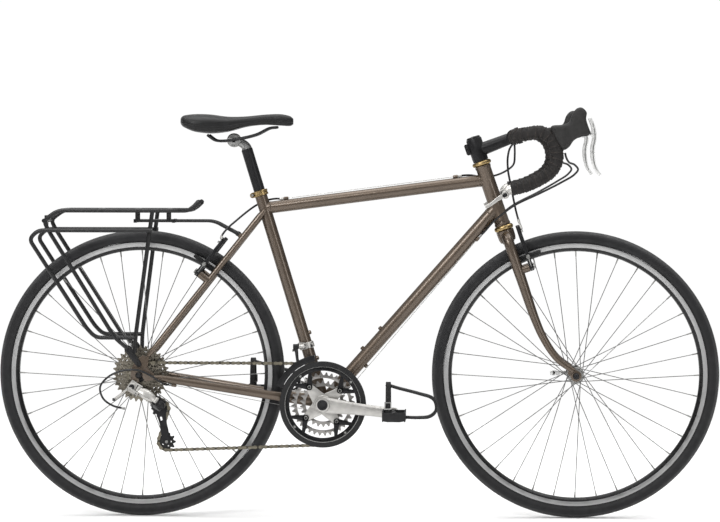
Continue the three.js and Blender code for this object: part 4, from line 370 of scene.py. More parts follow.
def arc(x, y, radius, start, end, count):
    return [
        (x + radius * cos(start + (end - start) * k / count), y + radius * sin(start + (end - start) * k / count))
        for k in range(count + 1)
    ]


def link(x0, y0, r0, x1, y1, r1, count=10):
    """Two round ends and the flanks that touch both."""
    dx, dy = x1 - x0, y1 - y0
    heading = atan2(dy, dx)
    lean = acos((r0 - r1) / sqrt(dx * dx + dy * dy))
    return arc(x0, y0, r0, heading + lean, heading - lean + 2 * pi, count * 2) + arc(
        x1, y1, r1, heading - lean, heading + lean, count
    )


def polar(radius, angle):
    return radius * cos(angle), radius * sin(angle)


def pitch_radius(teeth):
    return chain_pitch / 2 / sin(pi / teeth)


def toothed(teeth, tip=3.0, root=4.0, turn=0.0):
    """A chain wheel's outline, with a round seat between its teeth."""
    pitch = pitch_radius(teeth)
    step = 2 * pi / teeth
    shares = [
        (-0.5, -root), (-0.33, -root * 0.72), (-0.2, 0.2), (-0.09, tip), (0.09, tip), (0.2, 0.2), (0.33, -root * 0.72)
    ]
    out = []
    for i in range(teeth):
        for share, rise in shares:
            out.append(polar(pitch + rise, (i + share) * step + turn))
    return out


def ribbon(line, thickness):
    pts = [Vector((x, y, 0)) for x, y in line]
    last = len(pts) - 1
    left, right = [], []
    for i, p in enumerate(pts):
        t = (pts[min(i + 1, last)] - pts[max(i - 1, 0)]).normalized()
        wide = thickness(i / last) if callable(thickness) else thickness
        n = Vector((-t.y, t.x, 0)) * (wide / 2)
        left.append((p.x + n.x, p.y + n.y))
        right.append((p.x - n.x, p.y - n.y))
    return left + right[::-1]


# Materials


def shader(name, color, rough, metallic=0.0, coat=0.0):
    material = bpy.data.materials.new(name)
    material.use_nodes = True
    tree = material.node_tree
    surface = tree.nodes["Principled BSDF"]
    surface.inputs["Base Color"].default_value = (*color, 1)
    surface.inputs["Roughness"].default_value = rough
    surface.inputs["Metallic"].default_value = metallic
    surface.inputs["Coat Weight"].default_value = coat
    surface.inputs["Coat Roughness"].default_value = 0.14
    surface.inputs["Specular IOR Level"].default_value = 0.28
    if metallic > 0.6:
        surface.inputs["Specular Tint"].default_value = (0.45, 0.43, 0.4, 1)
    place = tree.nodes.new("ShaderNodeTexCoord")
    return material, tree, surface, place.outputs["Object"]


def noise(tree, vector, scale, detail=3.0):
    node = tree.nodes.new("ShaderNodeTexNoise")
    node.inputs["Scale"].default_value = scale
    node.inputs["Detail"].default_value = detail
    tree.links.new(vector, node.inputs["Vector"])
    return node.outputs["Fac"]


def ramp(tree, factor, stops):
    node = tree.nodes.new("ShaderNodeValToRGB")
    while len(node.color_ramp.elements) < len(stops):
        node.color_ramp.elements.new(0.5)
    for element, (place, color) in zip(node.color_ramp.elements, stops):
        element.position = place
        element.color = (*color, 1) if len(color) == 3 else color
    tree.links.new(factor, node.inputs["Fac"])
    return node.outputs["Color"]


def spread(tree, factor, low, high, start=0.3, end=0.7):
    node = tree.nodes.new("ShaderNodeMapRange")
    for key, value in (("From Min", start), ("From Max", end), ("To Min", low), ("To Max", high)):
        node.inputs[key].default_value = value
    tree.links.new(factor, node.inputs["Value"])
    return node.outputs["Result"]


def math(tree, kind, a, b=None):
    node = tree.nodes.new("ShaderNodeMath")
    node.operation = kind
    for socket, value in zip(node.inputs, (a, b)):
        if value is None:
            continue
        if isinstance(value, (int, float)):
            socket.default_value = value
        else:
            tree.links.new(value, socket)
    return node.outputs[0]


def bump(tree, surface, height, strength, distance):
    node = tree.nodes.new("ShaderNodeBump")
    node.inputs["Strength"].default_value = strength
    node.inputs["Distance"].default_value = distance
    tree.links.new(height, node.inputs["Height"])
    tree.links.new(node.outputs["Normal"], surface.inputs["Normal"])


def shade(color, amount):
    return tuple(min(c * amount, 1) for c in color)


def finish(name, color, rough, metallic=0.0, coat=0.0, scale=60.0, vary=0.12, grain=900.0, bump_strength=0.15):
    """A plain finish with uneven colour, uneven shine and a fine grain."""
    material, tree, surface, where = shader(name, color, rough, metallic, coat)
    patches = noise(tree, where, scale)
    tint = ramp(tree, patches, [(0.3, shade(color, 1 - vary)), (0.7, shade(color, 1 + vary))])
    tree.links.new(tint, surface.inputs["Base Color"])
    shine = noise(tree, where, scale * 2.3, 4.0)
    tree.links.new(spread(tree, shine, max(rough - 0.06, 0.03), rough + 0.09), surface.inputs["Roughness"])
    bump(tree, surface, noise(tree, where, grain, 2.0), bump_strength, 0.0001)
    return material


def flake_paint(name, color, light):
    """Metallic paint: bright flakes under a clear coat."""
    material, tree, surface, where = shader(name, color, 0.36, 0.8, 0.5)
    cells = tree.nodes.new("ShaderNodeTexVoronoi")
    cells.inputs["Scale"].default_value = 2400
    tree.links.new(where, cells.inputs["Vector"])
    flake = ramp(tree, cells.outputs["Distance"], [(0.2, light), (0.8, color)])
    broad = ramp(tree, noise(tree, where, 9.0), [(0.3, shade(color, 0.88)), (0.7, shade(color, 1.12))])
    mix = tree.nodes.new("ShaderNodeMix")
    mix.data_type = "RGBA"
    mix.inputs["Factor"].default_value = 0.22
    tree.links.new(broad, mix.inputs["A"])
    tree.links.new(flake, mix.inputs["B"])
    tree.links.new(mix.outputs["Result"], surface.inputs["Base Color"])
    tree.links.new(spread(tree, noise(tree, where, 40.0), 0.33, 0.42), surface.inputs["Roughness"])
    bump(tree, surface, noise(tree, where, 160.0, 1.0), 0.05, 0.0001)
    return material


def wheel_place(tree, where, axle):
    """The radius from the axle in millimetres, and the angle round it in radians."""
    parts = tree.nodes.new("ShaderNodeSeparateXYZ")
    tree.links.new(where, parts.inputs[0])
    x = math(tree, "SUBTRACT", parts.outputs["X"], axle.x * MM)
    z = math(tree, "SUBTRACT", parts.outputs["Z"], axle.z * MM)
    squares = math(tree, "ADD", math(tree, "POWER", x, 2.0), math(tree, "POWER", z, 2.0))
    radius = math(tree, "MULTIPLY", math(tree, "SQRT", squares), 1000.0)
    return radius, math(tree, "ARCTAN2", z, x), parts.outputs["Y"]


def tyre_rubber(name, axle):
    """Black side walls, and a greyer tread with short slanting grooves."""
    material, tree, surface, where = shader(name, (0.012, 0.012, 0.013), 0.62)
    radius, angle, y = wheel_place(tree, where, axle)
    share = spread(tree, radius, 0.0, 1.0, 311.0, 343.0)
    tint = ramp(
        tree,
        share,
        [
            (0.0, (0.008, 0.008, 0.009)), (0.3, (0.014, 0.014, 0.015)), (0.5, (0.009, 0.009, 0.01)),
            (0.7, (0.012, 0.012, 0.013)), (0.8, (0.03, 0.03, 0.031)), (1.0, (0.045, 0.045, 0.046)),
        ],
    )
    patches = ramp(tree, noise(tree, where, 28.0, 5.0), [(0.3, (0.8, 0.8, 0.8)), (0.7, (1.15, 1.15, 1.15))])
    mix = tree.nodes.new("ShaderNodeMix")
    mix.data_type = "RGBA"
    mix.blend_type = "MULTIPLY"
    mix.inputs["Factor"].default_value = 1.0
    tree.links.new(tint, mix.inputs["A"])
    tree.links.new(patches, mix.inputs["B"])
    tree.links.new(mix.outputs["Result"], surface.inputs["Base Color"])
    slant = math(
        tree, "ADD", math(tree, "MULTIPLY", angle, 210.0), math(tree, "MULTIPLY", math(tree, "ABSOLUTE", y), 700.0)
    )
    groove = spread(tree, math(tree, "SINE", slant), 0.0, 1.0, -0.9, -0.5)
    on_tread = spread(tree, radius, 0.0, 1.0, 335.0, 337.0)
    height = math(tree, "MULTIPLY", groove, on_tread)
    ribs = math(tree, "MULTIPLY", math(tree, "SINE", math(tree, "MULTIPLY", radius, 3.6)), 0.12)
    bump(tree, surface, math(tree, "ADD", height, ribs), 0.7, 0.0006)
    tree.links.new(spread(tree, noise(tree, where, 90.0), 0.5, 0.72), surface.inputs["Roughness"])
    return material


def machined(name, color, axle, fine=14.0, rough=0.28):
    """Metal turned on a lathe: fine rings about an axle."""
    material, tree, surface, where = shader(name, color, rough, 1.0)
    radius = wheel_place(tree, where, axle)[0]
    rings = tree.nodes.new("ShaderNodeTexNoise")
    rings.noise_dimensions = "1D"
    rings.inputs["Scale"].default_value = fine
    rings.inputs["Detail"].default_value = 4.0
    tree.links.new(radius, rings.inputs["W"])
    tint = ramp(tree, rings.outputs["Fac"], [(0.3, shade(color, 0.86)), (0.7, shade(color, 1.1))])
    tree.links.new(tint, surface.inputs["Base Color"])
    tree.links.new(spread(tree, noise(tree, where, 50.0), rough - 0.06, rough + 0.12), surface.inputs["Roughness"])
    bump(tree, surface, rings.outputs["Fac"], 0.25, 0.0001)
    return material


def cellular(name, color, rough, scale, depth, vary=0.2):
    """A surface of small cells, as leather, rubber grips and cork tape have."""
    material, tree, surface, where = shader(name, color, rough)
    cells = tree.nodes.new("ShaderNodeTexVoronoi")
    cells.feature = "DISTANCE_TO_EDGE"
    cells.inputs["Scale"].default_value = scale
    tree.links.new(where, cells.inputs["Vector"])
    edge = spread(tree, cells.outputs["Distance"], 0.0, 1.0, 0.0, 0.18)
    tint = ramp(tree, noise(tree, where, scale / 12), [(0.3, shade(color, 1 - vary)), (0.7, shade(color, 1 + vary))])
    tree.links.new(tint, surface.inputs["Base Color"])
    tree.links.new(
        spread(tree, noise(tree, where, scale / 4), rough - 0.08, rough + 0.1), surface.inputs["Roughness"]
    )
    bump(tree, surface, edge, depth, 0.0003)
    return material


bronze = flake_paint("bronze_paint", (0.104, 0.08, 0.061), (0.16, 0.126, 0.097))
gold = finish("gold_anodised", (0.33, 0.24, 0.115), 0.26, 0.95, vary=0.12)
black_metal = finish("black_anodised", (0.012, 0.012, 0.013), 0.36, 0.3, vary=0.25, grain=1200)
black_paint = finish(
    "black_powder_coat", (0.009, 0.009, 0.0095), 0.42, 0.0, 0.15, vary=0.25, grain=1500, bump_strength=0.3
)
silver = finish("polished_alloy", (0.46, 0.45, 0.43), 0.34, 0.7, vary=0.1, grain=160, bump_strength=0.05)
satin = finish("satin_alloy", (0.34, 0.34, 0.33), 0.38, 0.85, vary=0.12)
grey_alloy = finish("grey_alloy", (0.26, 0.26, 0.255), 0.3, 0.85, vary=0.2)
dark_metal = finish("dark_steel", (0.026, 0.026, 0.027), 0.34, 0.6, vary=0.25)
bolt_steel = finish("bolt_steel", (0.3, 0.3, 0.29), 0.28, 0.9, vary=0.15)
chrome = finish("chrome", (0.7, 0.7, 0.69), 0.3, 0.6, vary=0.06, grain=160, bump_strength=0.05)
spoke_steel = finish("spoke_steel", (0.16, 0.16, 0.158), 0.3, 0.7, vary=0.12)
cog_steel = machined("cog_steel", (0.2, 0.182, 0.15), rear_axle, 6.0, 0.34)
ring_silver = machined("ring_silver", (0.27, 0.26, 0.25), bb, 5.0, 0.3)
ring_black = finish("ring_black", (0.012, 0.012, 0.013), 0.3, 0.4, vary=0.25)
chain_outer = finish("chain_outer", (0.17, 0.155, 0.12), 0.34, 0.8, scale=140, vary=0.3)
chain_inner = finish("chain_inner", (0.06, 0.055, 0.044), 0.36, 0.7, scale=140, vary=0.3)
black_plastic = finish("black_plastic", (0.011, 0.011, 0.0115), 0.5, 0.0, vary=0.25, grain=2200, bump_strength=0.35)
housing_black = finish("housing_black", (0.008, 0.008, 0.009), 0.3, 0.0, 0.2, vary=0.25)
hood_rubber = cellular("hood_rubber", (0.019, 0.0185, 0.018), 0.6, 900, 0.35)
cork_tape = cellular("cork_tape", (0.0125, 0.011, 0.0105), 0.66, 700, 0.5, 0.35)
# Lighter than the cork tape: a painted highlight standing in for the light caught by the ridges of the wrap.
tape_edge_painted_highlight = cellular("tape_edge_painted_highlight", (0.036, 0.029, 0.025), 0.7, 700, 0.4, 0.3)
saddle_skin = cellular("saddle_skin", (0.007, 0.007, 0.0072), 0.4, 1100, 0.25, 0.25)
pad_rubber = finish("pad_rubber", (0.012, 0.012, 0.0125), 0.7, 0.0, vary=0.25, grain=600, bump_strength=0.4)
strap_web = cellular("strap_web", (0.01, 0.01, 0.01), 0.75, 1400, 0.6, 0.25)
rim_track = {name: machined(name + "_rim_track", (0.4, 0.4, 0.4), axle, 9.0, 0.34) for name, axle in
             (("front", front_axle), ("rear", rear_axle))}
rim_body = finish("rim_body", (0.01, 0.01, 0.0105), 0.3, 0.3, 0.2, vary=0.25)

# Frame

seatstay_top_middle = along(top_tube_rear, up_seat, -4)


def seatstay_top(side):
    return at(seatstay_top_middle.x, side * 13, seatstay_top_middle.z)


def seatstay_end(side):
    return at(rear_axle.x + 17.4, side * 67, rear_axle.z + 40)


def chainstay_end(side):
    return at(rear_axle.x + 30, side * 67.9, rear_axle.z - 5)


def flat(p):
    return at(p.x, 0, p.z)


up_stay = (flat(seatstay_top(1)) - flat(seatstay_end(1))).normalized()
behind_stay = at(-up_stay.z, 0, up_stay.x)
stay_start = flat(seatstay_end(1))
to_axle = rear_axle - stay_start
stud_off = stud_reach - to_axle.dot(behind_stay)
rear_stud = along(stay_start, up_stay, to_axle.dot(up_stay) + sqrt(stud_radius**2 - stud_off**2))
stud_share = (rear_stud - stay_start).length / (flat(seatstay_top(1)) - stay_start).length
rear_stud_y = 67 + (13 - 67) * stud_share
front_stud_rise = sqrt(stud_radius**2 - (rake - stud_reach) ** 2)
front_stud_y = 37.5
down_dir = (down_tube_front - bb).normalized()
above_down = at(-down_dir.z, 0, down_dir.x)
top_dir = (top_tube_front - top_tube_rear).normalized()
above_top = at(-top_dir.z, 0, top_dir.x)
stay_root = at(bb.x, -24, bb.z)
stay_dir = (chainstay_end(-1) - stay_root).normalized()


def shift_out(side):
    turn = radians(35)
    return -above_down * cos(turn) + Y * (side * sin(turn))


stops = {
    "top_rear": (top_tube_rear.lerp(top_tube_front, 0.1), above_top, top_tube_radius, top_dir),
    "top_front": (top_tube_rear.lerp(top_tube_front, 0.86), above_top, top_tube_radius, top_dir),
    "shift_left": (bb.lerp(down_tube_front, 0.86), shift_out(1), down_tube_radius, down_dir),
    "shift_right": (bb.lerp(down_tube_front, 0.86), shift_out(-1), down_tube_radius, down_dir),
    "chainstay": (stay_root.lerp(chainstay_end(-1), 0.87), at(0, 0, -1), 12 - 4 * 0.87, stay_dir),
}


def stop_place(name, sense=0.0, reach=0.0):
    point, out, radius, direction = stops[name]
    return point + out * (radius + stop_rise) + direction * (sense * reach)


def bead(centre, axis, radius, thick=1.6):
    """A weld bead round a joint."""
    ring = [(radius + thick * cos(2 * pi * k / 8), thick * 1.3 * sin(2 * pi * k / 8)) for k in range(8)]
    return lathe(ring, centre, axis, 40, closed=True)


def build_frame():
    tubes = Shapes()
    tubes.add(tube([bb, seat_top], seat_tube_radius, 40))
    tubes.add(tube([top_tube_rear, top_tube_front], top_tube_radius, 40))
    tubes.add(tube([bb, down_tube_front], down_tube_radius, 40))
    tubes.add(
        lathe(
            [(17, 0), (19.2, 0.6), (19.2, 5), (18, 7), (18, 143.4), (19.2, 145.4), (19.2, 149.8), (17, 150.4)],
            head_bottom,
            up_head,
            48,
        )
    )
    tubes.add(lathe([(17, 0), (21, 0.6), (21, 4), (20, 5.5), (20, 62.5), (21, 64), (21, 67.4), (17, 68)],
                at(bb.x, -34, bb.z), Y, 48))
    for side in (1, -1):
        root = at(bb.x, side * 24, bb.z)
        end = chainstay_end(side)
        line = [root.lerp(end, k / 20) for k in range(21)]
        tubes.add(tube(line, lambda w: 12 - 4 * w - 3.5 * max(0, (w - 0.95) / 0.05) ** 2, 28, (Y, 0.7)))
        line = [seatstay_end(side).lerp(seatstay_top(side), k / 24) for k in range(25)]
        tubes.add(
            tube(
                line,
                lambda w: 6.5 + 1.5 * w - 3 * max(0, (w - 0.975) / 0.025) ** 2 - 3 * max(0, 1 - w / 0.03) ** 2,
                24,
            )
        )
        tubes.add(dropout(side))
        stud = at(rear_stud.x, side * rear_stud_y, rear_stud.z)
        tubes.add(rod(stud, along(stud, behind_stay, 27.2), 9, 28, 0.8))
        tubes.add(rod(stud, along(stud, behind_stay, 36.8), 5, 20))
        boss = seatstay_end(side).lerp(seatstay_top(side), 0.81)
        tubes.add(rod(boss, along(boss, behind_stay, 11.5), 5, 20, 0.8))
        tubes.add(cross(rear_axle.x, rear_axle.z + 26, side * 64.5, side * 73.5, 6.2, 24, 0.8))
    hanger = plate([link(-6, 0, 9, -14.5, -27, 9)], 5.8, about(rear_axle, -70.5), 0.6)
    tubes.add(hanger)
    bridge = bb.lerp(flat(chainstay_end(1)), 0.16)
    tubes.add(cross(bridge.x, bridge.z, -30, 30, 6, 20))
    brace = seatstay_top(1).lerp(seatstay_end(1), 0.15)
    tubes.add(cross(brace.x, brace.z, -brace.y, brace.y, 6, 20))
    bolts = Shapes()
    for step in (0, 64):
        for point, out, radius in (
            (along(bb.lerp(down_tube_front, 0.255), down_dir, step), above_down, down_tube_radius),
            (along(bb.lerp(down_tube_front, 0.11), down_dir, step), -above_down, down_tube_radius),
            (along(bb, up_seat, 107 + step), at(up_seat.z, 0, -up_seat.x), seat_tube_radius),
        ):
            tubes.add(rod(point, along(point, out, radius + 4.6), 5, 20, 0.6))
            bolts.add(
                lathe(
                    [(3, 0), (3.6, 0.3), (3.6, 2.2), (2.6, 3), (1.6, 3), (1.5, 1.4)],
                    along(point, out, radius + 2.4),
                    out,
                    20,
                )
            )
    for name, (point, out, radius, direction) in stops.items():
        centre = stop_place(name)
        tubes.add(lathe([(2.4, 0), (3.8, 0.5), (3.8, 8.5), (3.0, 11.4), (1.6, 12)] if name == "top_rear" else
                    [(1.6, 0), (3.0, 0.6), (3.8, 3.5), (3.8, 11.5), (2.4, 12)],
                    along(centre, direction, -6), direction, 24))
        tubes.add(rod(point, centre, 2.6, 16))
    tubes.make("frame_tubes", "frame", [bronze], ["frame"], slot="frame_paint")
    bolts.make("bottle_bolts", "frame", [bolt_steel], slot="steel")
    welds = Shapes()
    for centre, axis, radius in (
        (along(top_tube_front, top_dir, -17.2), top_dir, top_tube_radius),
        (along(top_tube_rear, top_dir, 14.2), top_dir, top_tube_radius),
        (along(down_tube_front, down_dir, -22.6), down_dir, down_tube_radius),
        (along(bb, down_dir, 20.4), down_dir, down_tube_radius),
        (along(bb, up_seat, 20.0), up_seat, seat_tube_radius),
    ):
        welds.add(bead(centre, axis, radius, 1.0))
    welds.make("frame_welds", "frame", [bronze], slot="frame_paint")


def dropout(side):
    shares = [(-0.62, 0.9), (-0.25, 1.5), (0.35, 1.95), (1.05, 1.8), (0.85, 0.75), (1.5, 0.15), (1.5, -0.5)]
    edge = [(x * 24, z * 24) for x, z in shares]
    lean = radians(28) if side < 0 else 0
    c, d = cos(lean), sin(lean)

    def slot(x, z):
        return x * c - z * d, x * d + z * c

    round_top = [slot(5.3 * cos(a), 5.3 * sin(a)) for a in [pi * k / 8 for k in range(9)]]
    if side < 0:
        edge += [(14.2, -15.3)] + round_top + [(2.3, -15.6), (-12, -15.6), (-19.2, 0)]
    else:
        edge += [(12, -15.6), (5.3, -15.6)] + round_top + [(-5.3, -15.6), (-12, -15.6), (-19.2, 0)]
    return plate([edge], 6, about(rear_axle, side * 70.5), 0.5)


build_frame()

# Headset and seat collar


def cup(outside, inside, name):
    sign = 1 if outside > inside else -1
    tall = abs(outside - inside)
    shares = [
        (15.2, 1), (17, 1), (19.4, 0.97), (21.6, 0.86), (22.8, 0.7), (23.2, 0.5), (22.9, 0.32), (21.8, 0.16),
        (20, 0.06), (18.2, 0.01), (16.2, 0),
    ]
    profile = [(r, inside + sign * tall * h) for r, h in shares]
    profile += [(16.2, inside - sign * 10), (15.2, inside - sign * 10)]
    shell = Shapes().add(lathe(profile, steering_foot, up_head, 56, closed=True))
    shell.make(name, "frame", [gold], [name.replace("_shell", "")], slot="gold_alloy")


cup(head_rise - 12.9, head_rise - 0.3, "headset_lower_cup_shell")
cup(head_top_rise + 11, head_top_rise + 0.3, "headset_upper_cup_shell")


def build_collar():
    collar = Shapes()
    foot = along(seat_top, up_seat, -13)
    collar.add(
        lathe(
            [
                (15.2, 0), (18, 0), (18.9, 0.8), (18.9, 3.6), (18, 4.6), (18, 8.4), (18.9, 9.4), (18.9, 12.2),
                (18, 13), (15.2, 13),
            ],
            foot,
            up_seat,
            48,
            closed=True,
        )
    )
    ear = along(along(seat_top, up_seat, -6.5), behind_seat, 18.8)
    for side in (1, -1):
        collar.add(rod(at(ear.x, side * 1.2, ear.z), at(ear.x, side * 6.8, ear.z), 6.4, 28, 0.8))
    collar.add(cross(ear.x, ear.z, -12, 10.5, 2.2, 16), 1)
    collar.add(cross(ear.x, ear.z, -12.4, -8.2, 3.6, 6), 1)
    collar.make("seat_collar_clamp", "frame", [gold, bolt_steel], ["seat_collar"], slot="gold_alloy")


build_collar()

# Seatpost, rails and saddle

post_top = along(seat_top, up_seat, 113)
clamp = along(along(seat_top, up_seat, 133), behind_seat, 22.6)
saddle_tail = at(clamp.x - 126.3, 0, clamp.z + 15)


def build_seatpost():
    post = Shapes()
    post.add(tube([along(seat_top, up_seat, -110), along(seat_top, up_seat, 104)], 13.6, 36, ends=0.5))
    neck = spline(
        [
            along(seat_top, up_seat, 98),
            along(post_top, up_seat, -3),
            along(post_top, up_seat, 3).lerp(clamp, 0.35),
            clamp,
        ],
        16,
    )
    post.add(tube(neck, lambda w: 13.2 - 1.6 * sin(pi * w) - 2.0 * w, 32), 2)
    post.add(
        lathe(
            [
                (9, -17.9), (13.5, -17.9), (15.6, -16.4), (16.6, -12), (14.2, -8), (13.8, 8), (16.6, 12),
                (15.6, 16.4), (13.5, 17.9), (9, 17.9),
            ],
            clamp,
            Y,
            44,
        ),
        2,
    )
    for k in range(14):
        angle = pi * (0.15 + 0.7 * k / 13)
        p = at(clamp.x + 15.4 * cos(angle), 0, clamp.z + 15.4 * sin(angle))
        post.add(rod(at(p.x, -16, p.z), at(p.x, 16, p.z), 0.7, 8), 1)
    post.add(cross(clamp.x, clamp.z, -21, 21, 4.2, 20, 0.6), 1)
    post.add(cross(clamp.x, clamp.z, -22.5, -19, 6.2, 6, 0.5), 1)
    for side in (1, -1):
        jaw = [(-17, -3), (-15, 5.5), (15, 5.5), (17, -3), (9, -11), (-9, -11)]
        post.add(plate([jaw], 4.6, about(clamp, side * 20.2), 1.0), 2)
    post.make("seatpost_shaft", "seat", [black_metal, bolt_steel, grey_alloy], ["seatpost"], slot="black_alloy")


build_seatpost()

rail_shares = [
    (0.24, 0.022, 1.4), (0.31, -0.24, 1.05), (0.41, -0.26, 1), (0.56, -0.12, 1), (0.68, 0.06, 0.85),
    (0.79, 0.36, 0.6), (0.85, 0.402, 0.35),
]


def build_rails():
    def point(side, a, rise, wide):
        return at(saddle_tail.x + a * saddle_length, side * wide * 22, saddle_tail.z + rise * saddle_height - 3.8)

    right = [point(-1, *s) for s in rail_shares]
    left = [point(1, *s) for s in rail_shares][::-1]
    rails = Shapes().add(tube(spline(right + left, 90), 3.4, 16))
    rails.make("saddle_rail_wires", "seat", [dark_metal], ["saddle_rails"], slot="black_steel")


build_rails()

saddle_stations = [
    (0, 0.44, 0.8, 0.5), (0.02, 0.68, 0.9, 0.36), (0.05, 0.86, 0.95, 0.26), (0.14, 1, 1, 0.06), (0.27, 0.92, 0.98, 0),
    (0.42, 0.62, 0.87, 0.1), (0.58, 0.4, 0.88, 0.34), (0.74, 0.31, 0.97, 0.44), (0.88, 0.28, 1, 0.4),
    (0.96, 0.24, 0.92, 0.38), (0.985, 0.19, 0.84, 0.42), (1, 0.13, 0.76, 0.48),
]


def smooth_table(rows, steps):
    """The rows' numbers, eased between the rows."""
    out = []
    for k in range(steps + 1):
        place = k / steps * (len(rows) - 1)
        i = min(int(place), len(rows) - 2)
        w = place - i
        r0, r1, r2, r3 = (rows[max(i - 1, 0)], rows[i], rows[i + 1], rows[min(i + 2, len(rows) - 1)])
        row = []
        for a, b, c, d in zip(r0, r1, r2, r3):
            t1, t2 = (c - a) / 2, (d - b) / 2
            row.append(b + t1 * w + (3 * (c - b) - 2 * t1 - t2) * w**2 + (2 * (b - c) + t1 + t2) * w**3)
        out.append(row)
    return out


def build_saddle():
    # Round the section from the bottom middle up the right side: a thin shell's skirt, then the padded top.
    section = [
        (0.0, 0.1), (0.5, 0.02), (0.86, 0.03), (0.97, 0.16), (1.0, 0.36), (0.985, 0.55), (0.92, 0.74), (0.78, 0.88),
        (0.6, 0.955), (0.38, 0.985), (0.18, 0.985), (0.0, 0.972),
    ]
    rings = []
    for a, wide, top, bottom in smooth_table(saddle_stations, 44):
        a = min(max(a, 0), 1)
        wide = max(wide, 0.1)
        low = saddle_tail.z + bottom * saddle_height
        rise = (top - bottom) * saddle_height
        half = wide * saddle_half_width
        right = [at(saddle_tail.x + a * saddle_length, -x * half, low + z * rise) for x, z in section]
        left = [at(p.x, -p.y, p.z) for p in right[-2:0:-1]]
        rings.append(right + left)
    pad = Shapes().add(loft(rings))
    made = pad.make("saddle_pad", "seat", [saddle_skin], ["saddle"], angle=80, levels=1, slot="saddle_cover")
    seam = Shapes()
    for side in (1, -1):
        line = []
        for a, wide, top, bottom in smooth_table(saddle_stations, 60)[3:-2]:
            low = saddle_tail.z + bottom * saddle_height
            line.append(
                at(
                    saddle_tail.x + a * saddle_length,
                    side * wide * saddle_half_width,
                    low + 0.36 * (top - bottom) * saddle_height,
                )
            )
        seam.add(tube(line, 0.7, 8))
    seam.make("saddle_seams", "seat", [black_plastic], slot="saddle_cover")


build_saddle()

# Fork

blade_shares = [
    (0, -1.35, 0.965), (0, -0.35, 0.93), (0, 0, 0.865), (0, 0.1, 0.65), (0, 0.3, 0.42), (0.1, 0.5, 0.28),
    (0.4, 0.75, 0.14), (0.96, 1, 0.035),
]
stem_foot = head_top_rise + 11.3
stem_top = stem_foot + 56


def steering_plane(y):
    return lambda p: steer(p[0], y + p[2], p[1])


def build_fork():
    blades = Shapes()
    blades.add(lathe([(14.3, 350), (14.3, stem_top + 0.3)], steering_foot, up_head, 36))
    blades.add(
        lathe(
            [(15, 352), (18.5, 354), (20.6, 362), (21.2, 374), (21.2, 380.4), (20.4, 381)], steering_foot, up_head, 44
        )
    )
    for side in (1, -1):
        points = [steer(a * rake, side * (36.5 + o * 16.5), r * fork_length) for a, o, r in blade_shares]
        blades.add(tube(spline(points, 60), lambda w: 12.5 + (7 - 12.5) * max(0, (w - 0.25) / 0.75) ** 1.1, 28))
        root = steer(0, side * front_stud_y, front_stud_rise)
        blades.add(rod(root, along(root, ahead_head, 27.2), 9, 28, 0.8))
        blades.add(rod(root, along(root, ahead_head, 36.8), 5, 20))
        tip = link(rake, 0, 13, rake - 7, 14, 8)
        blades.add(plate([tip], 6, steering_plane(side * 53), 0.6))
        eye = steer(rake - 12, side * 53, 12)
        blades.add(rod(eye - Y * 4, eye + Y * 4, 5.2, 20, 0.6))
    blades.make("fork_blades", "steering", [bronze], ["fork"], slot="frame_paint")
    cap = Shapes()
    cap.add(
        lathe(
            [(17, 0), (17, 1.6), (15.6, 4.2), (12, 5), (4.2, 5), (4, 2.2)], steer(0, 0, stem_top + 0.3), up_head, 40
        )
    )
    cap.add(lathe([(3.8, 0), (3.8, 4.4), (2.4, 4.6), (2.2, 2)], steer(0, 0, stem_top + 1.4), up_head, 20), 1)
    cap.make("steerer_cap", "steering", [black_metal, bolt_steel], slot="black_alloy")


build_fork()

# Stem and faceplate


def build_stem():
    stem = Shapes()
    stem.add(
        lathe(
            [
                (15.2, stem_foot), (17.4, stem_foot), (18.6, stem_foot + 1), (19, stem_foot + 10), (19, stem_top - 2),
                (18, stem_top), (15.2, stem_top),
            ],
            steering_foot,
            up_head,
            44,
            closed=True,
        )
    )
    arm = [steer(x, 0, 584.6 - 3.2 * (1 - x / 80)) for x in (0, 20, 40, 60, 79)]
    stem.add(tube(arm, lambda w: 16 - 2.2 * w, 36))
    centre = steer(93.2, 0, 584.6)
    profile = arc(0, 0, 19, radians(91.5), radians(268.5), 22) + arc(0, 0, 12.3, radians(268), radians(92), 18)
    stem.add(plate([profile], 44, lambda p: centre + ahead_head * p[0] + up_head * p[1] + Y * p[2], 0.8))
    ear = [
        (-27, stem_top - 31), (-27, stem_top - 9), (-24, stem_top - 7), (-13, stem_top - 7), (-13, stem_top - 34),
        (-24, stem_top - 34),
    ]
    for side in (1, -1):
        stem.add(plate([ear], 7.6, steering_plane(side * 4.9), 0.8))
    for z in (stem_top - 14, stem_top - 26):
        stem.add(rod(steer(-22, -11.2, z), steer(-22, 9.4, z), 2.4, 16), 1)
        stem.add(rod(steer(-22, -11.5, z), steer(-22, -7.6, z), 4.0, 20), 1)
    stem.make("stem_body", "steering", [black_metal, dark_metal], ["stem"], slot="black_alloy")
    front = Shapes()
    profile = arc(0, 0, 19, radians(-87.5), radians(87.5), 22) + arc(0, 0, 12.3, radians(87), radians(-87), 18)
    front.add(plate([profile], 43, lambda p: centre + ahead_head * p[0] + up_head * p[1] + Y * p[2], 0.8))
    for up in (1, -1):
        for side in (1, -1):
            start = centre + ahead_head * 6 + up_head * (up * 15.6) + Y * (side * 15)
            front.add(rod(start, along(start, ahead_head, 9.5), 4.4, 20, 0.6))
            front.add(
                lathe(
                    [(3.6, 0), (3.6, 3.6), (2.9, 4.2), (1.9, 4.2), (1.8, 1.8)],
                    along(start, ahead_head, 8.6),
                    ahead_head,
                    18,
                ),
                1,
            )
    front.make("stem_front", "steering", [black_metal, chrome], ["stem_faceplate"], slot="black_alloy")


build_stem()

# Handlebar, tape, hoods and levers

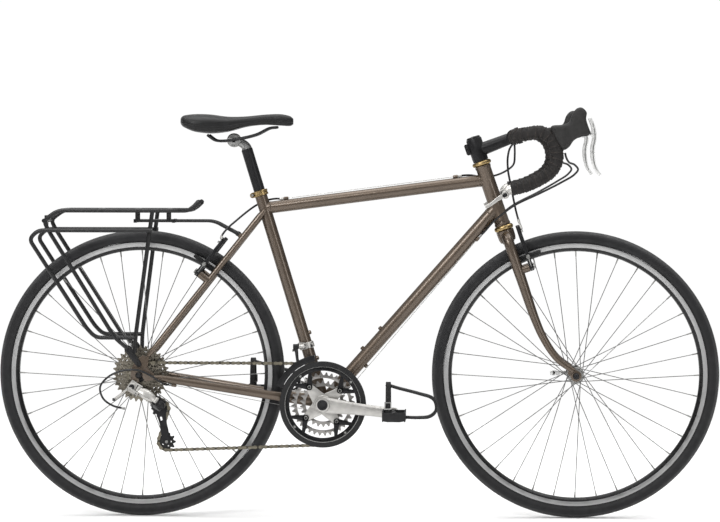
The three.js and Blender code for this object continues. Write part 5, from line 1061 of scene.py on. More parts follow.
bar_shares = [
    (0, 0.35, 0), (0, 0.68, 0), (0.05, 0.88, 0.02), (0.28, 0.98, 0.05), (0.6, 1, 0.075), (0.86, 1, -0.05),
    (0.99, 1, -0.3), (0.97, 1, -0.5), (0.84, 1, -0.67), (0.58, 1, -0.81), (0.28, 1, -0.92), (-0.1, 1, -1),
]


def helix(line, radius, pitch, sense, thick):
    """The tape's edge: a thin cord wound round the bar's line, coloured lighter than the tape as a painted highlight
    on the wrap's ridges.
    """
    out = []
    walked = 0.0
    normal = Z
    for a, b in zip(line, line[1:]):
        way = (b - a).normalized()
        normal = (normal - way * normal.dot(way)).normalized()
        across = way.cross(normal)
        parts = max(2, int((b - a).length / 0.9))
        for k in range(parts):
            share = k / parts
            turn = 2 * pi * sense * (walked + (b - a).length * share) / pitch
            out.append(a.lerp(b, share) + normal * (radius * cos(turn)) + across * (radius * sin(turn)))
        walked += (b - a).length
    return tube(out, thick, 6)


def bar_half(side, steps=150):
    return spline([bar(r * bar_reach, side * w * bar_half_width, d * bar_drop) for r, w, d in bar_shares], steps)


def build_bar():
    line = bar_half(-1, 60)[::-1] + bar_half(1, 60)
    bare_bar = Shapes().add(tube(line, 12, 24))
    bare_bar.make("handlebar_tube", "steering", [black_metal], ["handlebar"], slot="black_alloy")
    for side, name in ((1, "left"), (-1, "right")):
        line = bar_half(side, 260)
        line = [p for p in line if abs(p.y) > 47]
        line.insert(0, at(bar_centre.x, side * 46, bar_centre.z))

        def wrap(walked, share):
            turn = (walked / tape_pitch + side * share) % 1.0
            return 1.7 * turn**1.6 - 1.1

        tape = Shapes().add(tube(line, 15.5, 28, ripple=wrap))
        tape.add(
            tube(
                [at(bar_centre.x, side * 46.2, bar_centre.z), at(bar_centre.x, side * 56, bar_centre.z)],
                16,
                28,
                ends=0.4,
            ),
            1,
        )
        # The edge cord carries a painted highlight along the wrap's overlap.
        tape.add(helix(line, 15.2, tape_pitch, side, 0.75), 2)
        tape.make(
            "tape_wrap_" + name,
            "steering",
            [cork_tape, black_plastic, tape_edge_painted_highlight],
            ["bar_tape_" + name],
            angle=50,
            slot="soft_rubber",
        )


build_bar()

hood_shares = [
    (0.2, 0.6), (0.44, 0.645), (0.57, 0.71), (0.64, 0.89), (0.73, 0.99), (0.82, 1), (0.915, 0.9), (0.905, 0.764),
    (0.957, 0.582), (0.99, 0.47), (0.94, 0.41), (0.79, 0.382), (0.66, 0.31), (0.557, 0.164), (0.45, 0.11),
    (0.33, 0.25),
]
blade_line = [(-0.06, 0.37), (0.21, 0.16), (0.31, -0.1), (0.17, -0.35), (0.2, -0.6), (0.4, -0.82), (0.77, -0.98)]


def closed_spline(points, steps):
    pts = [at(x, y, 0) for x, y in points]
    line = spline(pts[-2:] + pts + pts[:3], steps * (len(pts) + 4) // len(pts))
    total = len(pts) + 4
    start, end = 2 / total, (2 + len(pts)) / total
    picked = line[round(start * (len(line) - 1)) : round(end * (len(line) - 1))]
    return [(p.x, p.y) for p in picked]


def build_controls(side, name):
    y = side * bar_half_width
    hood = Shapes()
    edge = [(58 + x * 115, -44 + z * 110) for x, z in hood_shares]
    soft = closed_spline(edge, 80)
    hood.add(plate([soft], 29.6, lambda p: bar(p[0], y + p[2], p[1]), 9.5, 5))
    hood.make("hood_" + name, "steering", [hood_rubber], ["brake_hood_" + name], angle=70, slot="soft_rubber")
    # The blade widens towards its middle and curls forward at its foot.
    pivot = bar(172, y, 6)
    line = [(p.x, p.y) for p in spline([at(x * 30, z * 98, 0) for x, z in blade_line], 40)]
    lever = Shapes()
    outline = ribbon(line, lambda w: 8.2 + 3.4 * sin(pi * min(w * 1.05, 1)) - 1.4 * w)
    lever.add(plate([outline], 12, lambda p: pivot + at(p[0], p[2], p[1]), 1.6, 3))
    for face in (-1, 1):
        groove = ribbon(line[4:-5], lambda w: 1.5 + 1.1 * sin(pi * w))
        lever.add(
            plate([groove], 0.5, lambda p, face=face: pivot + at(p[0] + 1.4, p[2] + face * 5.95, p[1]), 0.1, 1), 1
        )
    lever.add(plate([link(0, 0, 5.4, 8.4, -2.5, 5)], 11, lambda p: pivot + at(p[0], p[2], p[1]), 1.2, 2))
    lever.add(cross(pivot.x, pivot.z, y - 5.9, y + 5.9, 2.4, 18), 1)
    lever.make(
        "brake_blade_" + name, "brake_lever_" + name, [chrome, grey_alloy], ["brake_lever_" + name],
        slot="silver_alloy",
    )
    # Bar-end lever: a pod in the bar's mouth and a long paddle.
    end_points = bar_half(side)
    end = end_points[-1]
    ahead = (end_points[-1] - end_points[-3]).normalized()
    place = bar(-24, y, -136)
    pod = Shapes()
    neck = spline([along(end, ahead, 0.3), along(end, ahead, 5), along(end, ahead, 10).lerp(place, 0.4), place], 14)
    pod.add(tube(neck, lambda w: 12 - 3.4 * w, 28, ends=0.6))
    pod.add(rod(at(place.x, y - 9.3, place.z), at(place.x, y + 9.3, place.z), 9, 32, 1.0))
    pod.add(rod(at(place.x, y + side * 9, place.z), at(place.x, y + side * 13.6, place.z), 2.4, 16))
    pod.add(rod(at(place.x, y - side * 9, place.z), at(place.x, y - side * 11, place.z), 5, 24, 0.6), 1)
    pod.make("shift_pod_" + name, "steering", [silver, dark_metal], ["shifter_pod_" + name], slot="silver_alloy")
    tilt = radians(34)
    paddle = [
        (p.x, p.y)
        for p in spline(
            [
                at(0, 0, 0),
                at(-18 * cos(tilt), -14 * sin(tilt), 0),
                at(-38 * cos(tilt), -36 * sin(tilt), 0),
                at(-55 * cos(tilt), -52 * sin(tilt), 0),
            ],
            20,
        )
    ]
    lever = Shapes()
    middle = y + side * (9.5 + 0.6 + 2)
    lever.add(
        plate(
            [ribbon(paddle, lambda w: 11 - 5 * w + 2 * max(0, w - 0.6))],
            4,
            lambda p: at(place.x + p[0], middle + p[2], place.z + p[1]),
            1.2,
            3,
        )
    )
    lever.add(
        plate(
            [circle(7.5, 36), circle(2.7, 20)[::-1]],
            4,
            lambda p: at(place.x + p[0], middle + p[2], place.z + p[1]),
            0.6,
        )
    )
    lever.add(rod(at(place.x, middle + side * 2, place.z), at(place.x, middle + side * 3.6, place.z), 5, 6, 0.5), 1)
    lever.make(
        "shift_paddle_" + name, "shift_lever_" + name, [silver, dark_metal], ["shift_lever_" + name],
        slot="silver_alloy",
    )


build_controls(1, "left")
build_controls(-1, "right")

# Brakes


def brake_arm(side, stud, out, up, y, body, name):
    """One arm from its stud; the shapes are given across to the left and up the arm."""

    def place(p):
        return stud + Y * p[0] + up * p[1] + out * p[2]

    arm = Shapes()
    lean = -side * 5
    edge = [
        (p.x, p.y) for p in spline([at(0, 0, 0), at(side * 2.5, 26, 0), at(side * 1.2, 58, 0), at(lean, 99, 0)], 24)
    ]
    arm.add(plate([ribbon(edge, lambda w: 17 - 5 * w)], 9, place, 1.8, 3))
    arm.add(plate([circle(9, 32)], 9, place, 1.2, 2))
    arm.add(plate([circle(6.2, 28, lean, 97)], 9, place, 1.2, 2))
    arm.add(lathe([(6, 0), (6.4, 0.5), (6.4, 2.8), (5, 3.6), (2.8, 3.6), (2.6, 1.4)], stud + out * 5.2, out, 24), 1)
    inner = 12 + 2 - y
    hub = stud + up * 26
    holder = Y * (side * (inner + 5))
    arm.add(rod(hub + holder, hub + Y * (side * 13), 4, 20), 1)
    arm.add(rod(hub + Y * (side * 9.5), hub + Y * (side * 15.5), 5.4, 6, 0.6), 1)
    arm.add(
        tube(
            spline(
                [stud + up * -6 + Y * (side * 7), stud + up * 14 + Y * (side * 9.5), stud + up * 44 + Y * (side * 8)],
                16,
            ),
            0.8,
            8,
        ),
        1,
    )
    pad_line = [hub + holder + out * (k * 5.45) for k in range(-6, 7)]
    arm.add(tube(pad_line, lambda w: 5, 20, (Y, 0.95), ends=0.8), 2)
    arm.add(rod(stud + Y * lean + up * 88 + out * 3.5, stud + Y * lean + up * 88 + out * 8.5, 3, 6, 0.4), 1)
    arm.make(name + "_shape", body, [black_metal, bolt_steel, pad_rubber], [name], slot="black_alloy")


for side, word in ((1, "left"), (-1, "right")):
    name = "front_brake_arm_" + word
    brake_arm(
        side, steer(stud_reach, side * front_stud_y, front_stud_rise), ahead_head, up_head, front_stud_y, name, name
    )
    name = "rear_brake_arm_" + word
    centre = along(rear_stud, behind_stay, stud_reach)
    brake_arm(side, at(centre.x, side * rear_stud_y, centre.z), behind_stay, up_stay, rear_stud_y, name, name)

# Wheels

spoke_inner = 16.5
rim_foot = 295.3


def wheel(name, axle, left, right, width, freehub):
    """A tyre, rim, hub and 36 crossed spokes."""
    ring = []
    for k in range(27):
        angle = radians(-135 + 270 * k / 26)
        bulge = 16.0 if abs(angle) > radians(50) else 15.99
        ring.append((327 + cos(angle) * bulge, sin(angle) * bulge))
    ring += [(316.4, 9.4), (316.4, -9.4)]
    Shapes().add(lathe(ring, axle, Y, 168, closed=True)).make(
        name + "_tyre_casing",
        name + "_wheel",
        [tyre_rubber(name + "_tyre_rubber", axle)],
        [name + "_tyre"],
        60,
        slot="tyre_rubber",
    )
    outer = 315.4
    rim = Shapes()
    rim.add(
        lathe(
            [
                (314, -12), (314, -10.4), (309, -8), (309, 8), (314, 10.4), (314, 12), (304.6, 12), (303.4, 11.5),
                (303.4, -11.5), (304.6, -12),
            ],
            axle,
            Y,
            168,
            closed=True,
        ),
        0,
    )
    rim.add(lathe([(outer, 9.9), (outer, 11.7), (313.8, 11.9), (313.8, 9.9)], axle, Y, 168, closed=True), 1)
    rim.add(lathe([(outer, -9.9), (313.8, -9.9), (313.8, -11.9), (outer, -11.7)], axle, Y, 168, closed=True), 1)
    rim.add(
        lathe(
            [
                (303.8, 11.7), (300, 10.6), (296.6, 7), (295, 3.6), (295, -3.6), (296.6, -7), (300, -10.6),
                (303.8, -11.7),
            ],
            axle,
            Y,
            168,
            closed=True,
        ),
        1,
    )
    rim.make(
        name + "_rim_hoop", name + "_wheel", [rim_track[name], rim_body], [name + "_rim"], 30, slot="silver_alloy"
    )
    hub = Shapes()
    half = width / 2 - 0.3
    mid = (left + right) / 2
    hub.add(
        lathe(
            [
                (8, right - 6 if not freehub else right),
                (10, right),
                (10.5, right + 6),
                (9.2, mid),
                (10.5, left - 6),
                (10, left),
                (8, left + 6),
            ],
            axle,
            Y,
            44,
        )
    )
    for y in (left, right):
        sign = 1 if y > 0 else -1
        hub.add(
            lathe(
                [
                    (10, -sign * 3), (13, -sign * 1.6), (19.4, -sign * 1.6), (20, -sign * 1.0), (20, sign * 1.0),
                    (19.4, sign * 1.6), (11, sign * 1.8), (10, sign * 4),
                ],
                axle + Y * y,
                Y,
                54,
            )
        )
    for sign in (1, -1):
        hub.add(rod(axle + Y * (sign * (half - 10)), axle + Y * (sign * half), 8, 6 if sign > 0 else 32, 0.5), 1)
        hub.add(rod(axle + Y * (sign * half), axle + Y * (sign * (half + 5)), 5, 24), 1)
        hub.add(rod(axle + Y * (sign * (half - 22)), axle + Y * (sign * (half - 9)), 7.4, 28, 0.4), 1)
    if freehub:
        hub.add(rod(axle + Y * (-half + 5), axle + Y * right, 16.6, 44, 0.6), 1)
        for k in range(9):
            x, z = polar(16.6, 2 * pi * k / 9)
            hub.add(rod(axle + at(x, -half + 5.5, z), axle + at(x, right - 1, z), 0.65, 8), 1)
    hub.make(name + "_hub_shell", name + "_wheel", [satin, dark_metal], [name + "_hub"], slot="silver_alloy")
    spokes = Shapes()
    nipples = Shapes()
    step = 2 * pi / 18
    for flange in (left, right):
        sign = 1 if flange > 0 else -1
        for i in range(18):
            sense = 1 if i % 2 else -1
            hole = i * step + (step / 2 if flange > 0 else 0)
            target = hole + sense * 3 * step
            x0, z0 = polar(spoke_inner, hole)
            x1, z1 = polar(rim_foot, target)
            y0 = flange + sense * 2.4
            head = axle + at(x0, flange - sense * 2.4, z0)
            elbow = axle + at(x0, y0, z0)
            tip = axle + at(x1, sign * 3, z1)
            way = (tip - elbow).normalized()
            spokes.add(tube([head, elbow - Y * (sense * 0.9), elbow + way * 2.2, elbow + way * 20, tip], 0.98, 8))
            spokes.add(ball(head, 1.7, 8))
            nipples.add(
                tube([tip - way * 13, tip - way * 12.2, tip - way * 3, tip + way * 2.5], lambda w: 1.5 + 0.5 * w, 10),
                0,
            )
    spokes.make(name + "_spokes", name + "_wheel", [spoke_steel], slot="steel")
    nipples.make(name + "_nipples", name + "_wheel", [bolt_steel], slot="steel")
    grip = width / 2 + 6
    skewer = Shapes()
    skewer.add(rod(axle - Y * (grip + 0.3), axle + Y * (grip + 0.3), 2.5, 16))
    skewer.add(
        lathe([(5, 0), (8, 0.4), (8, 3.4), (7.2, 5), (6.6, 8.4), (4.6, 10)], axle - Y * (grip + 0.3), -Y, 32), 1
    )
    skewer.add(lathe([(8, 0), (8, 3.2), (7, 4.8), (5, 5.7)], axle + Y * (grip + 0.3), Y, 32))
    skewer.make(
        name + "_skewer_rod", "frame" if freehub else "steering", [bolt_steel, dark_metal], [name + "_skewer"],
        slot="steel",
    )
    y = grip + 0.3 + 5.7 + 0.3 + 5.5
    pivot = axle + Y * y
    lever = Shapes()
    lever.add(rod(pivot - Z * 8, pivot + Z * 8, 5.5, 28, 0.7))
    swing = [(0, 0), (-16, 0.6), (-34, -1.6), (-52, -0.8)]
    outline = ribbon([(p.x, p.y) for p in spline([at(x, z, 0) for x, z in swing], 20)], lambda w: 9 + 5 * w * w)
    lever.add(plate([outline], 4.6, about(pivot), 1.4, 3))
    lever.add(plate([circle(7, 28, -52, -0.8)], 4.6, about(pivot), 1.4, 3))
    lever.make(name + "_quick_handle", name + "_quick_lever", [chrome], [name + "_quick_lever"], slot="steel")


wheel("front", front_axle, 35, -35, 100, False)
wheel("rear", rear_axle, 36, -21, 135, True)

# Cassette

cog_teeth = [11, 12, 14, 16, 18, 21, 24, 28, 32]


def build_cassette():
    cogs = Shapes()
    for index, teeth in enumerate(cog_teeth):
        y = chain_line + (index - 2) * cog_step
        outline = toothed(teeth, turn=index * 0.37)
        loops = [outline]
        if teeth < 21:
            loops.append(circle(17.2, 32)[::-1])
        else:
            inner = pitch_radius(teeth) - 10
            loops.append(circle(20.5, 40)[::-1])
            for k in range(6):
                a = 2 * pi * k / 6 + index * 0.3
                wide = 0.34
                if inner - 24 > 4:
                    hole = arc(0, 0, inner, a - wide, a + wide, 8) + arc(
                        0, 0, 24.5, a + wide * 0.8, a - wide * 0.8, 6
                    )
                    loops.append(hole[::-1])
        cogs.add(plate(loops, 1.8, about(rear_axle, y), 0.25, 1))
        if index:
            cogs.add(
                lathe(
                    [
                        (17.2, 0.9),
                        (21.6 if teeth > 12 else 19, 0.9),
                        (21.6 if teeth > 12 else 19, 3.44),
                        (17.2, 3.44),
                    ],
                    rear_axle + Y * (y - cog_step),
                    Y,
                    40,
                    closed=True,
                ),
                1,
            )
    lock = chain_line - 2 * cog_step
    cogs.add(
        lathe(
            [(9.6, 0), (15.4, 0), (16.4, -0.5), (16.4, -1.2), (9.6, -1.2)],
            rear_axle + Y * (lock - 0.9),
            Y,
            40,
            closed=True,
        ),
        1,
    )
    cogs.make("cassette_cogs", "cassette", [cog_steel, dark_metal], ["cassette"], slot="steel")


build_cassette()

# Chainset

crank_drop = radians(6.3)


def turned_place(y):
    """The plane of the chainset, with the right crank along the first axis."""
    c, d = cos(crank_drop), sin(crank_drop)
    return lambda p: at(bb.x + p[0] * c + p[1] * d, y + p[2], bb.z - p[0] * d + p[1] * c)


bolt_angles = [pi / 4 + k * pi / 2 for k in range(4)]


def chainring(teeth, y, bolt_radius, depth, slot_name, materials, name, spread_arms):
    ring = Shapes()
    band = pitch_radius(teeth) - 4 - depth
    inner = circle(band, 96)[::-1]
    ring.add(plate([toothed(teeth), inner], 2, turned_place(y), 0.3, 1))
    for angle in bolt_angles:
        bx, by = polar(bolt_radius, angle)
        for lean in ((-0.3, 0.3) if spread_arms else (0,)):
            fx, fy = polar(band + 3.5 if spread_arms else band - 2, angle + lean)
            ring.add(plate([link(bx, by, 7.2, fx, fy, 3.6 if spread_arms else 7.4)], 1.96, turned_place(y), 0.3, 1))
        p = turned_place(y)((bx, by, 0))
        ring.add(rod(p - Y * 1.6, p + Y * 1.6, 4.6, 24, 0.4), 1)
    if spread_arms:
        ring.add(
            lathe(
                [
                    (pitch_radius(teeth) - 5.2, -1.12),
                    (pitch_radius(teeth) - 4.4, -1.12),
                    (pitch_radius(teeth) - 4.4, -0.9),
                    (pitch_radius(teeth) - 5.2, -0.9),
                ],
                bb + Y * y,
                Y,
                120,
                closed=True,
            ),
            2,
        )
    for k in range(8):
        px, py = polar(pitch_radius(teeth) - 8, 0.2 + k * pi / 4)
        if not spread_arms and teeth > 30:
            p = turned_place(y)((px, py, 0))
            ring.add(rod(p - Y * 1.2, p + Y * 1.2, 1.5, 12), 1)
    ring.make(name + "_plate", "crank", materials, [name], slot=slot_name)


chainring(48, chain_line, 52, 13, "black_alloy", [ring_black, bolt_steel, ring_silver], "outer_chainring", True)
chainring(36, chain_line + 7.5, 52, 6.5, "silver_alloy", [ring_silver, dark_metal], "middle_chainring", False)
chainring(26, chain_line + 15, 32, 6.5, "silver_alloy", [ring_silver, dark_metal], "inner_chainring", False)


def crank_arm(side):
    """The arm runs out from the bottom bracket's face to the pedal's eye, with a hollow flank."""
    eye = crank_length if side < 0 else -crank_length
    steps = 24
    rings = []
    for k in range(steps + 1):
        w = k / steps
        x = eye * w
        high = 13.2 + 6.6 * max(0, 1 - w / 0.72) ** 1.3 - 0.5 * sin(pi * w)
        deep = 6.5 - 0.9 * sin(pi * w)
        middle = side * (69.5 + (78.5 - 69.5) * w)
        ring = []
        for j in range(20):
            a = 2 * pi * j / 20
            c, d = cos(a), sin(a)
            ring.append(
                (
                    x,
                    (abs(c) ** 0.62) * (1 if c > 0 else -1) * high,
                    middle + (abs(d) ** 0.62) * (1 if d > 0 else -1) * deep,
                )
            )
        rings.append(ring)
    place = turned_place(0)
    arm = Shapes()
    arm.add(loft([[place((x, z, y)) for x, z, y in ring] for ring in rings]), 0)
    arm.add(plate([circle(13.5, 40, eye, 0)], 13, turned_place(side * 78.5), 1.6, 3), 0)
    arm.add(plate([circle(17.5, 44)], 13, turned_place(side * 69.8), 1.6, 3), 0)
    hub = turned_place(0)((0, 0, 0))
    arm.add(
        lathe(
            [(17.4, 48), (17.4, 77), (16, 79.6), (12.6, 80), (12.2, 78.4), (11.6, 78.4), (11.6, 48)],
            hub,
            Y * side,
            44,
            closed=True,
        ),
        0,
    )
    arm.add(
        lathe(
            [(0.1, 60), (0.1, 78.9), (3.4, 79.0), (3.8, 78.6), (9.8, 78.8), (10.4, 80.5), (12.5, 80.6), (12.5, 60)],
            hub,
            Y * side,
            40,
        ),
        1,
    )
    pedal = turned_place(0)((eye, 0, 0))
    arm.add(
        lathe(
            [(4.2, 0), (7.4, 0), (7.4, -side * 0.2 - 0.2), (4.2, -0.4)], pedal + Y * (side * 85.2), Y, 28, closed=True
        ),
        1,
    )
    return arm


def build_cranks():
    right = crank_arm(-1)
    for angle in bolt_angles:
        bx, by = polar(52, angle)
        right.add(plate([link(0, 0, 21, bx, by, 8.6)], 4.6, turned_place(-50.2), 0.9, 2), 0)
        ix, iy = polar(32, angle)
        p = turned_place(0)((ix, iy, 0))
        right.add(rod(at(p.x, -40.8, p.z), at(p.x, -49, p.z), 4.8, 20), 0)
        q = turned_place(0)((bx, by, 0))
        right.add(rod(at(q.x, -56.6, q.z), at(q.x, -44.8, q.z), 4.4, 24, 0.5), 2)
        right.add(lathe([(3.2, 0), (2.6, -0.5), (2.4, 1.2)], at(q.x, -56.6, q.z), Y, 6), 1)
    hub = at(bb.x, 0, bb.z)
    right.add(rod(hub + Y * -41, hub + Y * -62, 22, 44, 1.2), 0)
    right.make("crank_arm_right", "crank", [silver, dark_metal, bolt_steel], ["crank_right"], slot="silver_alloy")
    left = crank_arm(1)
    left.add(rod(hub - Y * 73, hub + Y * 62, 8.5, 32), 2)
    left.make("crank_arm_left", "crank", [silver, dark_metal, bolt_steel], ["crank_left"], slot="silver_alloy")
    guard = Shapes()
    guard.add(
        lathe(
            [
                (88, -1.5), (88.6, -2.4), (95, -1.9), (102.4, -1.5), (103, -0.8), (103, 0.9), (102.4, 1.5),
                (88.6, 1.5), (88, 0.9),
            ],
            at(bb.x, -59.7, bb.z),
            Y,
            120,
            closed=True,
        )
    )
    for angle in bolt_angles:
        gx, gy = polar(85.8, angle)
        guard.add(plate([link(gx, gy, 5.2, *polar(90, angle), 7)], 3, turned_place(-59.7), 0.6, 2))
        p = turned_place(0)((gx, gy, 0))
        guard.add(rod(at(p.x, -58.6, p.z), at(p.x, -55.8, p.z), 2.6, 16), 1)
        guard.add(rod(at(p.x, -61.6, p.z), at(p.x, -60.6, p.z), 2.8, 16), 1)
    guard.add(
        lathe([(89.6, 1.7), (90.6, 1.7), (90.6, 2.5), (89.6, 2.6)], at(bb.x, -59.7, bb.z), -Y, 120, closed=True), 1
    )
    guard.make("guard_ring", "crank", [black_plastic, bolt_steel], ["chain_guard"], slot="black_plastic")


build_cranks()
Shapes().add(
    lathe([(9.6, -33.6), (16.2, -33.6), (16.6, -33), (16.6, 33), (16.2, 33.6), (9.6, 33.6)], bb, Y, 40, closed=True)
).make("bracket_cartridge", "frame", [black_metal], ["bottom_bracket"], slot="black_steel")

# Pedals


def build_pedal(side, name):
    sign = 1 if side < 0 else -1
    middle = 52
    eye = at(bb.x + sign * crank_length * cos(crank_drop), side * 85, bb.z - sign * crank_length * sin(crank_drop))

    def y(value):
        return eye.y + side * value

    cage = Shapes()
    for x, low, high in ((-23.5, -12, 12), (28.5, -12, 12)):
        teeth = []
        for k in range(25):
            share = k / 24
            rise = 2.6 if k % 2 else 0.0
            teeth.append((8.6 + share * 86.8, high - 2.6 + rise))
        outline = teeth + [(95.4, low + 3), (92, low), (12, low), (8.6, low + 3)]
        holes = [circle(4, 16, 26 + k * 17.5, -1)[::-1] for k in range(4)]
        cage.add(plate([outline] + holes, 3, lambda p, x=x: at(eye.x + x + p[2], y(p[0]), eye.z + p[1]), 0.5, 1), 0)
    for value in (9.8, 94.2):
        cage.add(
            plate(
                [[(-24, -10), (-22, 10), (27, 10), (29, -10), (16, -12), (-12, -12)]],
                3,
                lambda p, v=value: at(eye.x + p[0], y(v) + p[2], eye.z + p[1]),
                0.7,
                2,
            ),
            0,
        )
    cage.add(
        lathe(
            [(8, 8), (9, 9), (9, 30), (7.4, 36), (7.4, 70), (9, 78), (9, 92), (7, 95.6), (3, 96)], eye, Y * side, 32
        ),
        0,
    )
    cage.add(lathe([(5, 0.6), (5, 8.4)], eye, Y * side, 24), 1)
    cage.add(lathe([(7.4, 2), (7.4, 5.4)], eye, Y * side, 6), 1)
    for value in (30, 74):
        cage.add(
            box(
                (eye.x - 24, min(y(value - 2), y(value + 2)), eye.z - 4),
                (eye.x + 29, max(y(value - 2), y(value + 2)), eye.z + 4),
            ),
            0,
        )
    cage.make(
        "pedal_body_" + name, "pedal_" + name, [black_plastic, bolt_steel], ["pedal_" + name], slot="black_plastic"
    )
    clip_shares = [
        (0.27, -0.05), (0.6, -0.06), (0.86, -0.02), (1, 0.14), (1, 0.4), (0.92, 0.55), (0.6, 0.69), (0.1, 0.86),
        (-0.17, 0.97),
    ]
    line = spline([at(x * 100, z * 76, 0) for x, z in clip_shares], 60)
    clip = Shapes()
    outline = ribbon([(p.x, p.y) for p in line], 6)
    clip.add(plate([outline], 15.6, lambda p: at(eye.x + p[0], y(middle) + p[2], eye.z + p[1]), 0.7, 2))
    for lean in (1, -1):
        rail = []
        for i, p in enumerate(line):
            w = i / (len(line) - 1)
            wide = 6.5 + 9 * sin(pi * min(1, w * 1.15)) ** 2
            rail.append(at(eye.x + p.x, y(middle) + lean * wide, eye.z + p.y))
        clip.add(tube(rail, 3.4, 14))
    clip.make("toe_clip_" + name, "pedal_" + name, [black_plastic], slot="black_plastic")
    strap_shares = [
        (-0.98, -0.1), (-1, 0.12), (-0.94, 0.34), (-0.72, 0.72), (-0.4, 0.98), (0, 1.03), (0.4, 0.98), (0.72, 0.72),
        (0.94, 0.34), (1, 0.12), (0.98, -0.1),
    ]
    loop = spline([at(v * 37.5, z * 76, 0) for v, z in strap_shares], 60)
    strap = Shapes()
    strap.add(
        plate(
            [ribbon([(p.x, p.y) for p in loop], 1.8)],
            11.6,
            lambda p: at(eye.x - 11 + p[2], y(middle + p[0]), eye.z + p[1]),
            0.4,
            1,
        )
    )
    strap.add(
        plate(
            [ribbon([(-37, -8), (37, -8)], 1.8)],
            11.6,
            lambda p: at(eye.x - 11 + p[2], y(middle + p[0]), eye.z + p[1]),
            0.4,
            1,
        )
    )
    buckle = at(eye.x - 11, y(middle + 36), eye.z + 26)
    strap.add(plate([[(-8, -9), (8, -9), (8, 9), (-8, 9)], [(-5.6, -6), (5.6, -6), (5.6, 6), (-5.6, 6)][::-1]], 2.4,
                    lambda p: at(buckle.x + p[0], buckle.y + side * 0.8 + p[2], buckle.z + p[1]), 0.4, 1), 1)
    strap.make("toe_strap_" + name, "pedal_" + name, [strap_web, bolt_steel], slot="black_plastic")


build_pedal(-1, "right")
build_pedal(1, "left")

# Front derailleur


def build_front_mech():
    band_clamp = Shapes()
    middle = along(bb, up_seat, 143)
    band_clamp.add(
        lathe(
            [(15.1, -7), (17.6, -7), (18.3, -6.2), (18.3, 6.2), (17.6, 7), (15.1, 7)],
            middle,
            up_seat,
            44,
            closed=True,
        )
    )
    pivot = at(bb.x - 58.2, -36, bb.z + 136.3)
    band_clamp.add(
        tube(
            spline(
                [
                    at(middle.x - 7, -14.8, middle.z),
                    at(middle.x - 14, -24, middle.z + 2),
                    at(pivot.x + 7, pivot.y, pivot.z),
                ],
                12,
            ),
            lambda w: 8.4 - 1.8 * w,
            20,
        )
    )
    band_clamp.add(rod(at(pivot.x + 0.3, pivot.y, pivot.z), at(pivot.x + 14, pivot.y, pivot.z), 6, 24, 0.6))
    band_clamp.add(rod(at(middle.x + 12, -12, middle.z), at(middle.x + 12, 14, middle.z), 5.5, 24, 0.8))
    band_clamp.add(rod(at(middle.x + 12, -15.5, middle.z), at(middle.x + 12, -11, middle.z), 4, 6, 0.5), 1)
    for z in (3.5, -3.5):
        band_clamp.add(
            rod(at(pivot.x + 12, pivot.y - 3, pivot.z + z), at(pivot.x + 15.6, pivot.y - 3, pivot.z + z), 2, 12), 1
        )
    band_clamp.make("front_mech_band", "frame", [silver, dark_metal], ["front_derailleur"], slot="silver_alloy")
    cage = Shapes()
    outer, inner = 119, 104
    band = arc(0, 0, outer, radians(100), radians(158), 24) + arc(0, 0, inner, radians(158), radians(100), 22)
    for y in (chain_line - 6, chain_line + 6):
        cage.add(plate([band], 1.5, about(bb, y), 0.3, 1))
    for start, end in ((100, 103), (155, 158)):
        piece = arc(0, 0, outer, radians(start), radians(end), 3) + arc(
            0, 0, outer - 5, radians(end), radians(start), 3
        )
        cage.add(plate([piece], 12, about(bb, chain_line), 0.3, 1))
    start = at(pivot.x - 14, pivot.y, pivot.z)
    end = at(pivot.x - 0.3, pivot.y, pivot.z)
    hook = bb + at(114.3 * cos(radians(122)), chain_line + 6, 114.3 * sin(radians(122)))
    cage.add(rod(start, end, 6, 24, 0.6), 1)
    cage.add(
        tube([start.lerp(end, 0.5), start.lerp(end, 0.5).lerp(hook, 0.6) + Z * 1, hook], lambda w: 4.6 - 1.6 * w, 16),
        1,
    )
    pinch = at(start.x, start.y + 10, start.z - 10)
    cage.add(tube([start.lerp(end, 0.5), pinch], 2.6, 14), 1)
    cage.add(rod(pinch - at(3, 0, 0), pinch + at(4, 0, 0), 3, 6, 0.4), 2)
    cage.make(
        "front_mech_cage",
        "front_derailleur_cage",
        [black_metal, dark_metal, bolt_steel],
        ["front_derailleur_cage"],
        slot="dark_steel",
    )


build_front_mech()

# Rear derailleur

hanger_point = at(rear_axle.x - 14.5, 0, rear_axle.z - 27)
cage_pivot = at(rear_axle.x + 53.5, 0, rear_axle.z - 71)
mech_reach = (cage_pivot - hanger_point).length
mech_y = axle_face + gap + 10
mech_x = (flat(cage_pivot) - flat(hanger_point)).normalized()
mech_z = at(-mech_x.z, 0, mech_x.x)
mech_origin = at(hanger_point.x, -mech_y, hanger_point.z)
slant = radians(30)
link_start = (mech_reach - 49.6) / 2
link_end = link_start + 49.6


def mech(x, y, z):
    """A point of the leaning links, from the hanger bolt towards the cage pivot."""
    lean_y = y * cos(slant) + z * sin(slant)
    lean_z = -y * sin(slant) + z * cos(slant)
    return mech_origin + mech_x * x + Y * lean_y + mech_z * lean_z


def mech_rod(x, y, z1, z2, radius):
    return rod(mech(x, y, z1), mech(x, y, z2), radius, 22, 0.5)


